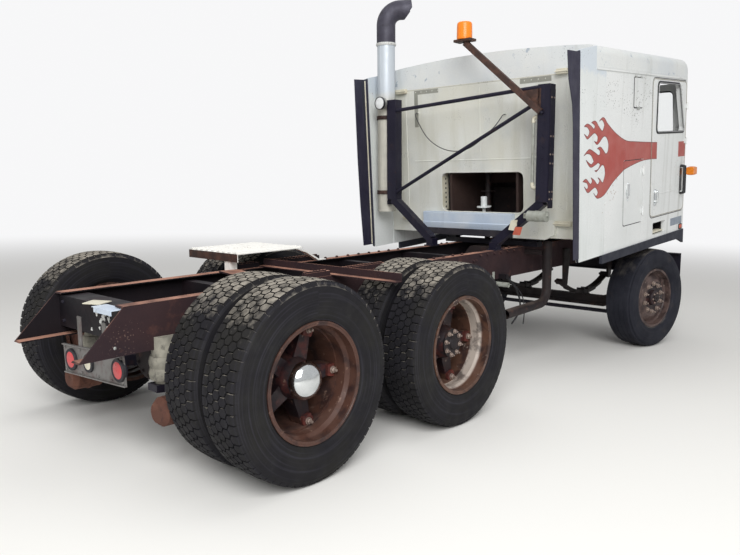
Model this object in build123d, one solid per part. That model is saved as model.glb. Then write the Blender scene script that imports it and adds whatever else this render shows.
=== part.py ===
from build123d import *
import math
import os

os.makedirs("parts", exist_ok=True)

# Lengths are millimetres and angles are degrees. X runs forward from the rearmost axle,
# Y to the left, Z up from the ground. Right-hand pieces are built and mirrored to the left.

# Overall layout
TANDEM = 1323.0                 # rearmost axle to second axle
WHEELBASE = 3498.0              # second axle to front axle
RAKE = 1.8                      # nose-up stance of the frame over its tyres
CAB_SETTLE = 3.25               # further nose-up lean of the cab on its worn rear mounts
STEER_REST = 11.0               # the front wheels are parked turned this far to the right
RUNNING_GAP = 0.3               # radial clearance of a turning piece on its shaft
PANEL_GAP = 7.0                 # gap round a door or hatch

# Tyres and rims
REAR_TYRE_R = 540.0
REAR_TYRE_W = 280.0
REAR_RIM_R = 311.0              # bead seat of the rear rims
REAR_FLANGE_R = 324.0
REAR_RIM_W = 236.0              # across the outside of the flanges
OUTER_TYRE_Y = 1065.0           # centre of the outer tyre of a pair
DUAL_SPACING = 330.0
FRONT_TYRE_R = 500.0
FRONT_TYRE_W = 285.0
FRONT_RIM_R = 286.0
FRONT_FLANGE_R = 298.5
FRONT_RIM_W = 230.0
FRONT_TYRE_Y = 1044.0
KINGPIN_Y = 930.0

# Frame rails, a pair of channels with their flanges turned inwards
RAIL_H = 258.0
RAIL_FLANGE = 80.0
RAIL_T = 8.0
RAIL_OUT = 395.0                # outer face of each web
RAIL_OVER_TYRE = 416.0          # top of the rails above the tyre's top
TAIL_TIP = 880.0                # lower tip of the slanted tail, behind the rearmost axle
RAIL_NOSE = 620.0               # rails reach this far ahead of the front axle

# Cab, in its own level frame
CAB_HALF = 1143.0
CAB_WALL = 40.0
CAB_BACK = -1511.0              # back wall, from the front axle
CAB_FRONT = 779.0               # front face, from the front axle
FAIRING_BACK = -1801.0
FAIRING_SEAM = -1321.0
FAIRING_T = 30.0
CAB_BOTTOM = 144.0              # lower edge of the side panels above the rails
CAB_FLOOR = 340.0
CAB_FLOOR_T = 50.0
ROOF_SEAM = 1704.0
ROOF_EDGE = 1914.0
ROOF_CROWN = 50.0
ROOF_ROUND = 80.0
CORNER_ROUND = 120.0

REAR_Z = REAR_TYRE_R
FRONT_Z = FRONT_TYRE_R
FRONT_X = TANDEM + WHEELBASE
RAIL_TOP = REAR_TYRE_R + RAIL_OVER_TYRE
RAIL_BOTTOM = RAIL_TOP - RAIL_H
RAIL_IN = RAIL_OUT - RAIL_T
BACK_X = FRONT_X + CAB_BACK
NOSE_X = FRONT_X + CAB_FRONT
BOTTOM_Z = RAIL_TOP + CAB_BOTTOM
FLOOR_Z = RAIL_TOP + CAB_FLOOR
SEAM_Z = RAIL_TOP + ROOF_SEAM
EDGE_Z = RAIL_TOP + ROOF_EDGE
FAR = 5000.0                    # past everything, for cutters
SEATED = (Align.CENTER, Align.CENTER, Align.MIN)

# Rails and what lies on them
WHEEL_PLATE_BOLTS = (TANDEM / 2 + 20, TANDEM / 2 + 200)   # holes for a coupling plate's angles
WHEEL_PLATE_BOLT_R = 9.0
WHEEL_PLATE_DROP = 60.0
TAIL_BOX_X = -610.0
TAIL_PANEL_SAG = 3.5            # the lamp panel hangs lower at its left end
TAIL_PANEL_T = 6.0
TAIL_PANEL_H = 175.0
TAIL_PANEL_HALF = 355.0
TAIL_PANEL_DROP = 116.0         # its middle below the rails
TAIL_LAMPS = ((-300.0, 57.0), (40.0, 45.0), (250.0, 57.0))   # (y, radius) along the panel
TAIL_STRAPS = (-150.0, 140.0)
DECK_X = (580.0, 1200.0)
DECK_Y = (225.0, 815.0)
DECK_RISE = 128.0
DECK_RIBS = 9
DECK_STRAP_RUN = 330.0
SKEW_PLATE_AT = (490.0, 0.0)
SKEW_PLATE_TURN = 13.0
ANGLE_X = (885.0, 950.0)
ANGLE_Y = (-960.0, 385.0)
# (side, start, end) of each length of toothed bar
TOOTHED_BARS = ((1, 652.0, 883.0), (1, 952.0, 1500.0), (-1, 652.0, 883.0), (-1, 952.0, 1450.0))

# Drive axles and their suspension
SPINDLE_R = 55.0
SPINDLE_END = 1010.0
HUB_FACE = 1085.0
BRAKE_Y = 560.0
HOUSING_R = 75.0
CHAMBER_R = 80.0
CHAMBER_L = 230.0
CHAMBER_AT = (-400.0, -505.0, 350.0)   # middle of the right-hand chamber from its axle, z from the ground
ARM_YS = (-340.0, -430.0)       # inner and outer face of the right-hand arm
ARM_PIVOT = (520.0, 560.0)      # ahead of the axle, above the ground
TAIL_ARM = -465.0
SPRING_SEAT_Z = 472.0
AIR_SPRING_X = -385.0
AIR_SPRING_R = 78.0
RIM_GAUGE = 9.0
SPOKES = 5
SPOKE_IN_R = 105.0

# Engine, front axle and steering
GEARBOX_X = FRONT_X - 1500.0
GEARBOX_OUT_Z = RAIL_BOTTOM + 110.0
ENGINE_X = (FRONT_X - 820.0, FRONT_X + 250.0)
ENGINE_HALF = 300.0
ENGINE_TOP = 540.0
STANDPIPE_TOP = 700.0
BEAM_Z = -95.0
BOSS_R = 48.0
BOSS_H = 75.0
EAR_T = 42.0
KNUCKLE_GAP = 6.0
KINGPIN_R = 22.0
SPRING_HALF = 540.0
SPRING_ARCH = 130.0
LEAF_T = 13.0
SPRING_Y = 355.0
FRONT_SPINDLE_R = 38.0
FRONT_SPINDLE_END = 1110.0
ARM_X = -185.0
ARM_Y = 95.0
ARM_DROP = -105.0

# Rack and stack
COLUMN_X = (FRONT_X - 1871.0, FRONT_X - 1775.0)
COLUMN_Y = (-880.0, -770.0)
COLUMN_Z = (RAIL_TOP + 444.0, RAIL_TOP + 1404.0)
STACK_X = FRONT_X - 1757.0
STACK_R = 88.0
STACK_Y = -COLUMN_Y[0] + STACK_R + 17.0
STACK_TOP = RAIL_TOP + 2010.0
CANISTER_R = 45.0
CANISTER_DROP = 125.0
BREATHER_X = 2910.0              # pale air pipe under the right rail
BREATHER_R = 21.0
HOSE_BRACKET = (3000.0, 3040.0)

# Cab openings, doors and pivot
PIVOT_X = FRONT_X + 600.0
PIVOT_Z = RAIL_TOP + 50.0
PIVOT_R = 22.0
PIVOT_Y = (-RAIL_OUT - 75.0, -RAIL_OUT - 30.0)
DOOR_X = (-279.0, 668.0)        # from the front axle
DOOR_Z = (354.0, 1690.0)        # above the rails
DOOR_ROUND = 70.0
DOOR_T = 45.0
WINDOW = ((-160.0, 1176.0), (615.0, 1176.0), (455.0, 1655.0), (-140.0, 1655.0))
WINDSHIELD_Y = (35.0, 1000.0)   # one pane's inner and outer edge
WINDSHIELD_Z = (1010.0, 1610.0)
GRILLE_HALF = 430.0
GRILLE_Z = (240.0, 760.0)
GRILLE_SLATS = 7
STEP_X = (-190.0, 150.0)        # step hole low in the side panel
STEP_Z = (30.0, 150.0)          # above the panel's lower edge
GRAB_X = 558.0                  # black grab handle on the door
GRAB_Z = (536.0, 827.0)
PILLAR_STRIP = 22.0             # the side panel's edge ahead of the door
DASH_HALF = 1000.0
STEERING_Y = 760.0
STEERING_R = 250.0
STEERING_SHAFT_R = 22.0
BUNK_DEPTH = 740.0
BUNK_RISE = 900.0
HINGE_OUT = 9.0                 # hinge axis outside the panel's face
HINGE_R = 8.0
HINGE_PIN_R = 4.0
HINGE_L = 50.0
HATCH_X = (-920.0, -483.0)
HATCH_Z = (350.0, 935.0)
HATCH_ROUND = 12.0
DOOR_HINGES = (RAIL_TOP + 560.0, RAIL_TOP + 1080.0, RAIL_TOP + 1440.0)
HATCH_HINGES = (RAIL_TOP + 450.0, RAIL_TOP + 830.0)
OPENING_Y = (-470.0, 460.0)
OPENING_Z = (500.0, 890.0)

# Cords, as (diameter, chosen points) in the frame of what carries them. The first and last points
# are the faces of their fittings, and a cut end hangs free.
WALL_CABLE = (9.0, [(3298, 717, 2434), (3258, 717, 2434), (3238, 703, 2396), (3236, 662, 2330),
                    (3229, 607, 2246), (3223, 540, 2172), (3218, 452, 2112), (3214, 352, 2068),
                    (3212, 243, 2044), (3213, 130, 2047), (3216, 24, 2080), (3221, -68, 2139),
                    (3227, -156, 2205), (3234, -228, 2268), (3240, -272, 2324), (3260, -285, 2357),
                    (3298, -285, 2357)])
HOSE_LOOSE = (16.0, [(3061, -455, 702), (3110, -456, 670), (3178, -460, 612), (3238, -462, 540),
                     (3274, -462, 460), (3284, -460, 378), (3263, -437, 315), (3231, -402, 244)])
HOSE_LONG = (10.0, [(3061, -425, 709), (3125, -428, 672), (3210, -432, 622), (3296, -437, 562),
                    (3360, -440, 488), (3390, -441, 400), (3396, -440, 312), (3380, -438, 225)])


def turned_up(x, z, angle):
    """Location that turns a level piece nose-up about a cross axis at x, z."""
    return Pos(x, 0, z) * Rot(0, -angle, 0) * Pos(-x, 0, -z)


FRAME_PIVOT = (TANDEM / 2, RAIL_TOP - 56)
CAB_PIVOT = (FRONT_X - 321, RAIL_TOP + 244)
RAIL = turned_up(*FRAME_PIVOT, RAKE)
CAB = turned_up(*CAB_PIVOT, RAKE + CAB_SETTLE)

nodes = {}


def add(name, *pieces, place=None):
    """Store a node, made of one or more solids, in its place."""
    solids = [s for piece in pieces for s in piece.solids()]
    shape = Compound(solids) if len(solids) > 1 else solids[0]
    nodes[name] = place * shape if place is not None else shape


def left(piece):
    """The left-hand twin of a right-hand piece."""
    return mirror(piece, about=Plane.XZ)


def both(piece):
    return [piece, left(piece)]


def block(x0, x1, y0, y1, z0, z1):
    """A straight-sided block between two corners."""
    return Pos((x0 + x1) / 2, (y0 + y1) / 2, (z0 + z1) / 2) * Box(abs(x1 - x0), abs(y1 - y0), abs(z1 - z0))


def side_plate(outline, y0, y1, radius=0.0):
    """Plate with an outline seen from the side, as (x, z) corners, between two y planes."""
    face = make_face(Plane.XZ * Polyline(*outline, close=True))
    if radius:
        face = fillet(face.vertices(), radius)
    return Pos(0, min(y0, y1), 0) * extrude(face, amount=abs(y1 - y0), dir=(0, 1, 0))


def cross_plate(outline, x0, x1, radius=0.0):
    """Plate with an outline seen from behind, as (y, z) corners, between two x planes."""
    face = make_face(Plane.YZ * Polyline(*outline, close=True))
    if radius:
        face = fillet(face.vertices(), radius)
    return Pos(min(x0, x1), 0, 0) * extrude(face, amount=abs(x1 - x0), dir=(1, 0, 0))


def rod(start, end, radius):
    """Round bar between two points."""
    start, end = Vector(*start), Vector(*end)
    return Plane(origin=start, z_dir=end - start) * Cylinder(
        radius, (end - start).length, align=(Align.CENTER, Align.CENTER, Align.MIN))


def flat_bar(start, end, wide_y, deep_x):
    """Rectangular bar between two points in a cross plane."""
    start, end = Vector(*start), Vector(*end)
    return Plane(origin=start, x_dir=(1, 0, 0), z_dir=end - start) * Box(
        deep_x, wide_y, (end - start).length, align=(Align.CENTER, Align.CENTER, Align.MIN))


def pipe(points, bends, radius, bore=0.0):
    """Tube along straight runs joined by round bends."""
    path = FilletPolyline(*points, radius=bends)
    start = Plane(origin=path @ 0, z_dir=path % 0)
    tube = sweep(start * Circle(radius), path=path)
    if bore:
        tube = tube - sweep(start * Circle(bore), path=path)
    return tube


def turned(profile, y=0.0):
    """Solid of revolution about a cross axis from (y, radius) corners."""
    face = make_face(Plane.YZ * Polyline(*profile, close=True))
    return Pos(0, y, 0) * revolve(face, axis=Axis.Y)


# Frame
def frame_rails():
    """Channels with slanted tails: the web runs to a low point behind the top flange."""
    c = RAIL_H / 2
    outline = [(0, -c), (RAIL_FLANGE, -c), (RAIL_FLANGE, -c + RAIL_T), (RAIL_T, -c + RAIL_T),
               (RAIL_T, c - RAIL_T), (RAIL_FLANGE, c - RAIL_T), (RAIL_FLANGE, c), (0, c)]
    face = make_face(Plane.YZ * Polyline(*outline, close=True))
    nose = FRONT_X + RAIL_NOSE
    channel = Pos(-TAIL_TIP, -RAIL_OUT, RAIL_BOTTOM + c) * extrude(face, amount=nose + TAIL_TIP, dir=(1, 0, 0))
    slant = side_plate([(-TAIL_TIP - 1, RAIL_BOTTOM), (-TAIL_TIP, RAIL_BOTTOM),
                        (-TAIL_TIP + RAIL_H, RAIL_TOP + 1), (-TAIL_TIP - 1, RAIL_TOP + 1)],
                       -RAIL_OUT - 1, -RAIL_OUT + RAIL_FLANGE + 1)
    channel -= slant
    for x in WHEEL_PLATE_BOLTS:
        hole = Rot(90, 0, 0) * Cylinder(WHEEL_PLATE_BOLT_R, 4 * RAIL_T)
        channel -= Pos(x, -RAIL_OUT, RAIL_TOP - WHEEL_PLATE_DROP) * hole
    add("frame_rails", *both(channel), place=RAIL)


def crossmembers():
    """Channel crossmembers between the webs, with the deep box that closes the tail."""
    pieces = []
    # (x, gap above the rail's underside, flange, drop of the top below the rail's top)
    for x, gap, flange, drop in ((TANDEM / 2 - 430, 38, 70, 30), (TANDEM / 2, 30, 90, 28),
                                 (TANDEM + 420, 38, 70, 30), (TANDEM + 1250, 83, 70, 30),
                                 (FRONT_X + 480, 58, 70, 50)):
        top, height = RAIL_TOP - drop, RAIL_H - drop - gap
        web = block(x, x + RAIL_T, -RAIL_IN, RAIL_IN, top - height, top)
        upper = block(x, x + flange, -RAIL_IN, RAIL_IN, top - RAIL_T, top)
        lower = block(x, x + flange, -RAIL_IN, RAIL_IN, top - height, top - height + RAIL_T)
        pieces.append(web + upper + lower)
    top, deep = RAIL_TOP - RAIL_T - 12, RAIL_H - 73
    box = block(TAIL_BOX_X, TAIL_BOX_X + 150, -RAIL_IN, RAIL_IN, top - deep, top)
    box -= block(TAIL_BOX_X + 6, TAIL_BOX_X + 151, -RAIL_IN - 1, RAIL_IN + 1, top - deep + RAIL_T, top - RAIL_T)
    pieces.append(box)
    x0, x1 = HOSE_BRACKET
    bracket = block(x0, x1, -RAIL_OUT - 80, -RAIL_OUT, RAIL_BOTTOM + 2, RAIL_BOTTOM + 42)
    for diameter, points in (HOSE_LOOSE, HOSE_LONG):
        start, onward = Vector(*points[0]), Vector(*points[1])
        back = (start - onward).normalized()
        bracket += rod(start, start + back * 36, diameter / 2 + 6)
    pieces.append(bracket)
    add("crossmembers", *pieces, place=RAIL)


def tail_panel():
    """Lamp panel hung askew below the tail box, with its three round lamps."""
    half, hang = TAIL_PANEL_HALF, RAIL_BOTTOM - TAIL_PANEL_DROP
    plate = block(0, TAIL_PANEL_T, -half, half, -TAIL_PANEL_H / 2, TAIL_PANEL_H / 2)
    lamps = []
    for y, radius in TAIL_LAMPS:
        plate -= Pos(0, y, 0) * Rot(0, 90, 0) * Cylinder(radius, 40)
        lamps.append(Pos(-14, y, 0) * Rot(0, 90, 0) * Cylinder(radius - RUNNING_GAP, 30, align=SEATED))
    at = Pos(TAIL_BOX_X - TAIL_PANEL_T, 0, hang) * Rot(-TAIL_PANEL_SAG, 0, 0)
    panel = at * plate
    for y in TAIL_STRAPS:
        panel += block(TAIL_BOX_X - TAIL_PANEL_T, TAIL_BOX_X, y - 22, y + 22, hang, RAIL_TOP - 120)
    add("tail_lamp_panel", panel, place=RAIL)
    add("tail_lamps", *[at * lamp for lamp in lamps], place=RAIL)


def deck_plate():
    """Ribbed plate left over the left rail, on a post and a bent strap."""
    x0, x1, y0, y1 = DECK_X[0], DECK_X[1], DECK_Y[0], DECK_Y[1]
    top, thick = RAIL_TOP + DECK_RISE, 6
    plate = block(x0, x1, y0, y1, top - thick, top)
    for i in range(DECK_RIBS):
        y = y0 + 30 + i * (y1 - y0 - 60) / (DECK_RIBS - 1)
        plate += block(x0, x1, y - 14, y + 14, top, top + 8)
    plate += block(x0, x0 + 6, y0, y1, top - 60, top)
    plate += block(x0 + 6, x0 + 70, RAIL_OUT - 70, RAIL_OUT - 10, RAIL_TOP, top - thick)
    run = DECK_STRAP_RUN
    strap = side_plate([(x1 - 90, top - thick), (x1 - 90, top - thick - 7), (x1 - 8, top - thick - 7),
                        (x1 + run * 0.35, RAIL_TOP + 75), (x1 + run * 0.75, RAIL_TOP), (x1 + run, RAIL_TOP),
                        (x1 + run, RAIL_TOP + 7), (x1 + run * 0.79, RAIL_TOP + 8),
                        (x1 + run * 0.38, RAIL_TOP + 84), (x1, top - thick)], RAIL_OUT - 79, RAIL_OUT - 37)
    add("deck_plate", plate + strap, place=RAIL)


def deck_angles():
    """What is left of a sliding plate's base: skewed cross plate, long angle and toothed bars."""
    pieces = []
    skew = Pos(*SKEW_PLATE_AT, RAIL_TOP) * Rot(0, 0, -SKEW_PLATE_TURN)
    pieces.append(skew * block(-70, 70, -RAIL_OUT - 5, RAIL_OUT - 75, 0, 12))
    x0, x1 = ANGLE_X
    bar = block(x0, x1, ANGLE_Y[0], ANGLE_Y[1], RAIL_TOP, RAIL_TOP + 7)
    bar += block(x1 - 7, x1, ANGLE_Y[0], ANGLE_Y[1], RAIL_TOP, RAIL_TOP + 55)
    pieces.append(bar)
    # (side, start, end) of each length of toothed bar
    for side, start, end in TOOTHED_BARS:
        y = side * (RAIL_OUT - 20)
        pieces.append(block(start, end, y - 14, y + 14, RAIL_TOP, RAIL_TOP + 34))
    add("deck_angles", *pieces, place=RAIL)


# Rear axles and suspension, level with the ground


def drive_axles():
    """Banjo housings with tapering tubes out to the wheel spindles."""
    half = [(0, 215), (40, 212), (120, 178), (190, 112), (260, HOUSING_R), (BRAKE_Y - 12, HOUSING_R),
            (BRAKE_Y - 12, 165), (BRAKE_Y, 165), (BRAKE_Y, 72), (BRAKE_Y + 25, SPINDLE_R),
            (SPINDLE_END, SPINDLE_R), (SPINDLE_END, 0), (0, 0)]
    housing = turned([(-y, r) for y, r in half])
    housing = housing + left(housing)
    cover = Pos(-215, 0, 0) * Rot(0, 90, 0) * Cylinder(150, 90)
    nose = Pos(150, 0, 0) * Rot(0, 90, 0) * Cone(150, 85, 260)
    axle = housing + cover + nose
    add("drive_axles", Pos(0, 0, REAR_Z) * axle, Pos(TANDEM, 0, REAR_Z) * axle)


def brake_chambers():
    """Round air chambers low behind each axle tube, on brackets from the tube."""
    r, half = CHAMBER_R, CHAMBER_L / 2
    profile = [(0, -half), (r * 0.7, -half), (r, -half + 30), (r, -6), (r * 1.08, -6), (r * 1.08, 6), (r, 6),
               (r, half - 45), (r * 0.55, half), (0, half)]
    can = revolve(make_face(Plane.XZ * Polyline(*profile, close=True)), axis=Axis.Z)
    can = Rot(0, 90, 0) * can
    pieces = []
    for x in (0, TANDEM):
        at = (x + CHAMBER_AT[0], CHAMBER_AT[1], CHAMBER_AT[2])
        front = at[0] + half
        arm = side_plate([(front - 4, at[2] - 60), (front + 20, at[2] - 60), (x + 30, REAR_Z - 110),
                          (x + 30, REAR_Z), (x - 110, REAR_Z), (front - 4, at[2] + 60)], at[1] - 10, at[1] + 10)
        arm -= Pos(x, 0, REAR_Z) * Rot(90, 0, 0) * Cylinder(HOUSING_R + RUNNING_GAP, 3000)
        pieces += both(Pos(*at) * can + arm)
    add("brake_chambers", *pieces)


def rear_suspension():
    """Forked hangers on the rails with long arms that pass under the axles to the air springs."""
    inner, outer = ARM_YS
    pieces = []
    for x in (0, TANDEM):
        px, pz = x + ARM_PIVOT[0], ARM_PIVOT[1]
        slope = [(px - 55, pz - 50), (px + 55, pz - 50), (px + 105, RAIL_TOP - 10), (px - 105, RAIL_TOP - 10)]
        hanger = side_plate(slope, outer - 28, outer - 8, radius=20)
        web = side_plate([(px - 90, RAIL_TOP - 160), (px + 90, RAIL_TOP - 160), (px + 105, RAIL_TOP - 30),
                          (px - 105, RAIL_TOP - 30)], outer - 9, -RAIL_OUT)
        ear = side_plate([(px - 55, pz - 50), (px + 55, pz - 50), (px + 80, RAIL_BOTTOM + 58),
                          (px - 80, RAIL_BOTTOM + 58)], inner + 8, inner + 24) - above_rails()
        pin = Pos(px, 0, pz) * rod((0, outer - 10, 0), (0, inner + 10, 0), 20)
        pieces += both(hanger + web)
        pieces += both(ear + pin)
        arm = side_plate([(px - 45, pz + 35), (px + 50, pz + 35), (px + 50, pz - 40), (px - 60, pz - 45),
                          (x + 110, REAR_Z - 150), (x - 120, REAR_Z - 150), (x - 250, SPRING_SEAT_Z - 62),
                          (x + TAIL_ARM, SPRING_SEAT_Z - 40), (x + TAIL_ARM, SPRING_SEAT_Z),
                          (x - 230, SPRING_SEAT_Z), (x - 105, REAR_Z - 80), (x - 105, REAR_Z),
                          (x + 105, REAR_Z), (x + 105, REAR_Z - 80)], outer, inner)
        arm -= Pos(x, 0, REAR_Z) * Rot(90, 0, 0) * Cylinder(HOUSING_R + RUNNING_GAP, 3000)
        arm -= Pos(px, 0, pz) * Rot(90, 0, 0) * Cylinder(20 + RUNNING_GAP, 3000)
        cap = side_plate([(x - 105, REAR_Z), (x + 105, REAR_Z), (x + 80, REAR_Z + HOUSING_R + 22),
                          (x - 80, REAR_Z + HOUSING_R + 22)], outer, inner)
        cap -= Pos(x, 0, REAR_Z) * Rot(90, 0, 0) * Cylinder(HOUSING_R + RUNNING_GAP, 3000)
        pieces += both(arm + cap)
    add("rear_suspension", *pieces)


def above_rails():
    """Everything above the underside of the rails, as a cutter."""
    return RAIL * block(-2000, 7000, -RAIL_OUT - 1, RAIL_OUT + 1, RAIL_BOTTOM, RAIL_TOP + 400)


def air_springs():
    """Air springs between the tails of the arms and the rails, cut to the rails' slope."""
    r = AIR_SPRING_R
    high = RAIL_BOTTOM - SPRING_SEAT_Z + 34
    profile = [(0, 0), (r * 0.72, 0), (r * 0.86, 42), (r * 0.80, 46), (r, 70), (r, 120), (r * 0.92, 140),
               (r * 0.92, high), (0, high)]
    pieces = []
    for x in (0, TANDEM):
        can = revolve(make_face(Plane.XZ * Polyline(*profile, close=True)), axis=Axis.Z)
        spring = Pos(x + AIR_SPRING_X, (ARM_YS[0] + ARM_YS[1]) / 2, SPRING_SEAT_Z) * can - above_rails()
        spring -= block(-2000, 7000, -2000, 2000, RAIL_TOP - 60, RAIL_TOP + 500)
        pieces += both(spring)
    add("air_springs", *pieces)


def driveshafts():
    """Propeller shafts with their universal joints, from gearbox to axles."""
    nose = 280
    start = (TANDEM + nose + 50, 0, REAR_Z + 8)
    out = RAIL * Pos(GEARBOX_X - 50, 0, GEARBOX_OUT_Z) * Rot(0, 90, 0)
    yoke = out * Cylinder(70, 55, align=(Align.CENTER, Align.CENTER, Align.MAX))
    end = (out * Pos(0, 0, -45)).position
    shaft = rod(start, (end.X, end.Y, end.Z), 45) + yoke
    shaft += rod((TANDEM + nose, 0, REAR_Z), (TANDEM + nose + 65, 0, REAR_Z), 70)
    link = rod((nose, 0, REAR_Z), (TANDEM - 260, 0, REAR_Z), 40)
    link += rod((nose, 0, REAR_Z), (nose + 55, 0, REAR_Z), 68)
    link += rod((TANDEM - 320, 0, REAR_Z), (TANDEM - 260, 0, REAR_Z), 68)
    add("driveshafts", shaft, link)


# Engine, front axle and steering


def engine():
    """Plain block of the engine and the gearbox behind it."""
    low = RAIL_BOTTOM - 10
    whole = block(*ENGINE_X, -ENGINE_HALF, ENGINE_HALF, low, RAIL_TOP + ENGINE_TOP)
    for x in (ENGINE_X[0] + 100, ENGINE_X[1] - 220):
        for y0, y1 in ((-RAIL_IN, -ENGINE_HALF), (ENGINE_HALF, RAIL_IN)):
            whole += block(x, x + 120, y0, y1, RAIL_BOTTOM + 70, RAIL_BOTTOM + 180)
    whole += cross_plate([(-190, RAIL_BOTTOM - 20), (190, RAIL_BOTTOM - 20), (210, RAIL_BOTTOM + 150),
                          (130, RAIL_TOP - 15), (-130, RAIL_TOP - 15), (-210, RAIL_BOTTOM + 150)],
                         GEARBOX_X, ENGINE_X[0], radius=40)
    whole += Pos(GEARBOX_X - 20, 0, GEARBOX_OUT_Z) * Rot(0, 90, 0) * Cylinder(80, 60)
    x, y = GEARBOX_X + 290, 120
    whole += rod((x, y, RAIL_TOP - 30), (x, y, RAIL_TOP + STANDPIPE_TOP), 28)
    whole += Pos(x, y, RAIL_TOP + STANDPIPE_TOP - 190) * Cylinder(70, 8)
    add("engine_block", whole, place=RAIL)


def front_axle():
    """Dropped beam of I section with the kingpins in its ends."""
    rise = [(0, BEAM_Z - 55), (620, BEAM_Z - 55), (840, -50), (KINGPIN_Y, -50), (KINGPIN_Y, 50),
            (800, 50), (590, BEAM_Z + 55), (0, BEAM_Z + 55)]
    beam = cross_plate([(-y, z) for y, z in rise], -48, 48)
    for x in (-49, 20):
        beam -= cross_plate([(-y, z) for y, z in ((-1, BEAM_Z - 32), (600, BEAM_Z - 32), (800, -28), (800, 28),
                                                  (580, BEAM_Z + 32), (-1, BEAM_Z + 32))], x, x + 29)
    beam += Pos(0, -KINGPIN_Y, 0) * Cylinder(BOSS_R, 2 * BOSS_H)
    beam += Pos(0, -KINGPIN_Y, 0) * Cylinder(KINGPIN_R, 2 * (BOSS_H + KNUCKLE_GAP + EAR_T))
    beam += block(-70, 70, -405, -305, BEAM_Z + 50, BEAM_Z + 62)
    axle = beam + left(beam)
    add("front_axle", Pos(FRONT_X, 0, FRONT_Z) * axle)


def arc_leaf(half, sag, z, thick):
    """One spring leaf as a bent strip seen from the side, low in the middle."""
    outer = ThreePointArc((-half, z + sag), (0, z), (half, z + sag))
    inner = ThreePointArc((half, z + sag + thick), (0, z + thick), (-half, z + sag + thick))
    ends = [Line(outer @ 1, inner @ 0), Line(inner @ 1, outer @ 0)]
    face = make_face([Plane.XZ * c for c in (outer, ends[0], inner, ends[1])])
    return extrude(face, amount=40, both=True)


def front_springs():
    """Leaf packs over the axle with rolled eyes, hung from brackets on the rails."""
    base = BEAM_Z + 62
    pack = None
    for i, share in enumerate((0.45, 0.72, 1.0)):
        half = SPRING_HALF * share
        leaf = arc_leaf(half, SPRING_ARCH * share * share, base + i * LEAF_T, LEAF_T)
        pack = leaf if pack is None else pack + leaf
    eye_z = base + 2 * LEAF_T + SPRING_ARCH + 12
    for x in (-SPRING_HALF, SPRING_HALF):
        pack += Pos(x, 0, eye_z) * Rot(90, 0, 0) * Cylinder(30, 80)
    for x in (-60, 40):
        pack += block(x, x + 20, -44, 44, base, base + 3 * LEAF_T + 20)
    spring = Pos(FRONT_X, -SPRING_Y, FRONT_Z) * pack
    z_eye = FRONT_Z + eye_z
    pieces = []
    for x in (FRONT_X - SPRING_HALF, FRONT_X + SPRING_HALF):
        plate = side_plate([(x - 34, z_eye - 34), (x + 34, z_eye - 34), (x + 70, RAIL_BOTTOM + 285),
                            (x - 70, RAIL_BOTTOM + 285)], -RAIL_OUT - 25, -RAIL_OUT, radius=15)
        plate += rod((x, -RAIL_OUT - 20, z_eye), (x, -SPRING_Y + 60, z_eye), 14)
        pieces += both(plate)
        spring -= rod((x, -900, z_eye), (x, 0, z_eye), 14 + RUNNING_GAP)
    add("front_springs", *both(spring), *pieces)


def knuckle():
    """Right-hand steering knuckle about its kingpin: yoke, spindle, backing plate and arm."""
    ear_low = BOSS_H + KNUCKLE_GAP
    yoke = None
    for z in (ear_low, -ear_low - EAR_T):
        ear = Pos(0, 0, z + EAR_T / 2) * Cylinder(BOSS_R, EAR_T)
        ear += block(-BOSS_R, BOSS_R, -BOSS_R - 52, 0, z, z + EAR_T)
        ear -= Pos(0, 0, z + EAR_T / 2) * Cylinder(KINGPIN_R + RUNNING_GAP, EAR_T + 20)
        yoke = ear if yoke is None else yoke + ear
    yoke += block(-BOSS_R, BOSS_R, -BOSS_R - 52, -BOSS_R - KNUCKLE_GAP, -ear_low - EAR_T, ear_low + EAR_T)
    spindle_y = KINGPIN_Y - FRONT_SPINDLE_END
    yoke += rod((0, -BOSS_R - 40, 0), (0, spindle_y, 0), FRONT_SPINDLE_R)
    arm = rod((0, -BOSS_R - 10, ARM_DROP - 10), (ARM_X, ARM_Y, ARM_DROP - 30), 17)
    arm += Pos(ARM_X, ARM_Y, ARM_DROP - 30) * Cylinder(24, 34)
    return yoke + arm


def steered(piece):
    """A right-hand piece built straight ahead about its kingpin, at its parked steering angle."""
    return Pos(FRONT_X, -KINGPIN_Y, FRONT_Z) * Rot(0, 0, -STEER_REST) * piece


def steered_left(piece):
    return Pos(FRONT_X, KINGPIN_Y, FRONT_Z) * Rot(0, 0, -STEER_REST) * left(piece)


def steering():
    """Both knuckles and the tie rod between their arms."""
    right = knuckle()
    add("knuckle_right", steered(right))
    add("knuckle_left", steered_left(right))
    turn = math.radians(-STEER_REST)
    ends = []
    for side in (-1, 1):
        ax, ay = ARM_X, -side * ARM_Y
        ends.append((FRONT_X + ax * math.cos(turn) - ay * math.sin(turn),
                     side * KINGPIN_Y + ax * math.sin(turn) + ay * math.cos(turn)))
    z = FRONT_Z + ARM_DROP - 30 - 34 / 2 - 24 - RUNNING_GAP
    bar = rod((ends[0][0], ends[0][1], z), (ends[1][0], ends[1][1], z), 20)
    for x, y in ends:
        bar += Pos(x, y, z) * Cylinder(27, 48)
    add("tie_rod", bar)
    return ends


# Wheels, built about their own axle with the outer side to the right
def tyre_profile(radius, width, bead, flange, rim_width):
    """Half outline of a tyre's section as (y, radius) corners, with crown, shoulder and bead."""
    half = width / 2
    seat = rim_width / 2 - RIM_GAUGE - RUNNING_GAP
    side = radius - bead
    return [(0, radius), (half * 0.78, radius - 6), (half * 0.93, radius - 26),
            (half * 0.99, radius - side * 0.42), (half, radius - side * 0.52),
            (half * 0.98, flange + side * 0.16), (seat, flange + RUNNING_GAP * 4), (seat, bead)]


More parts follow.
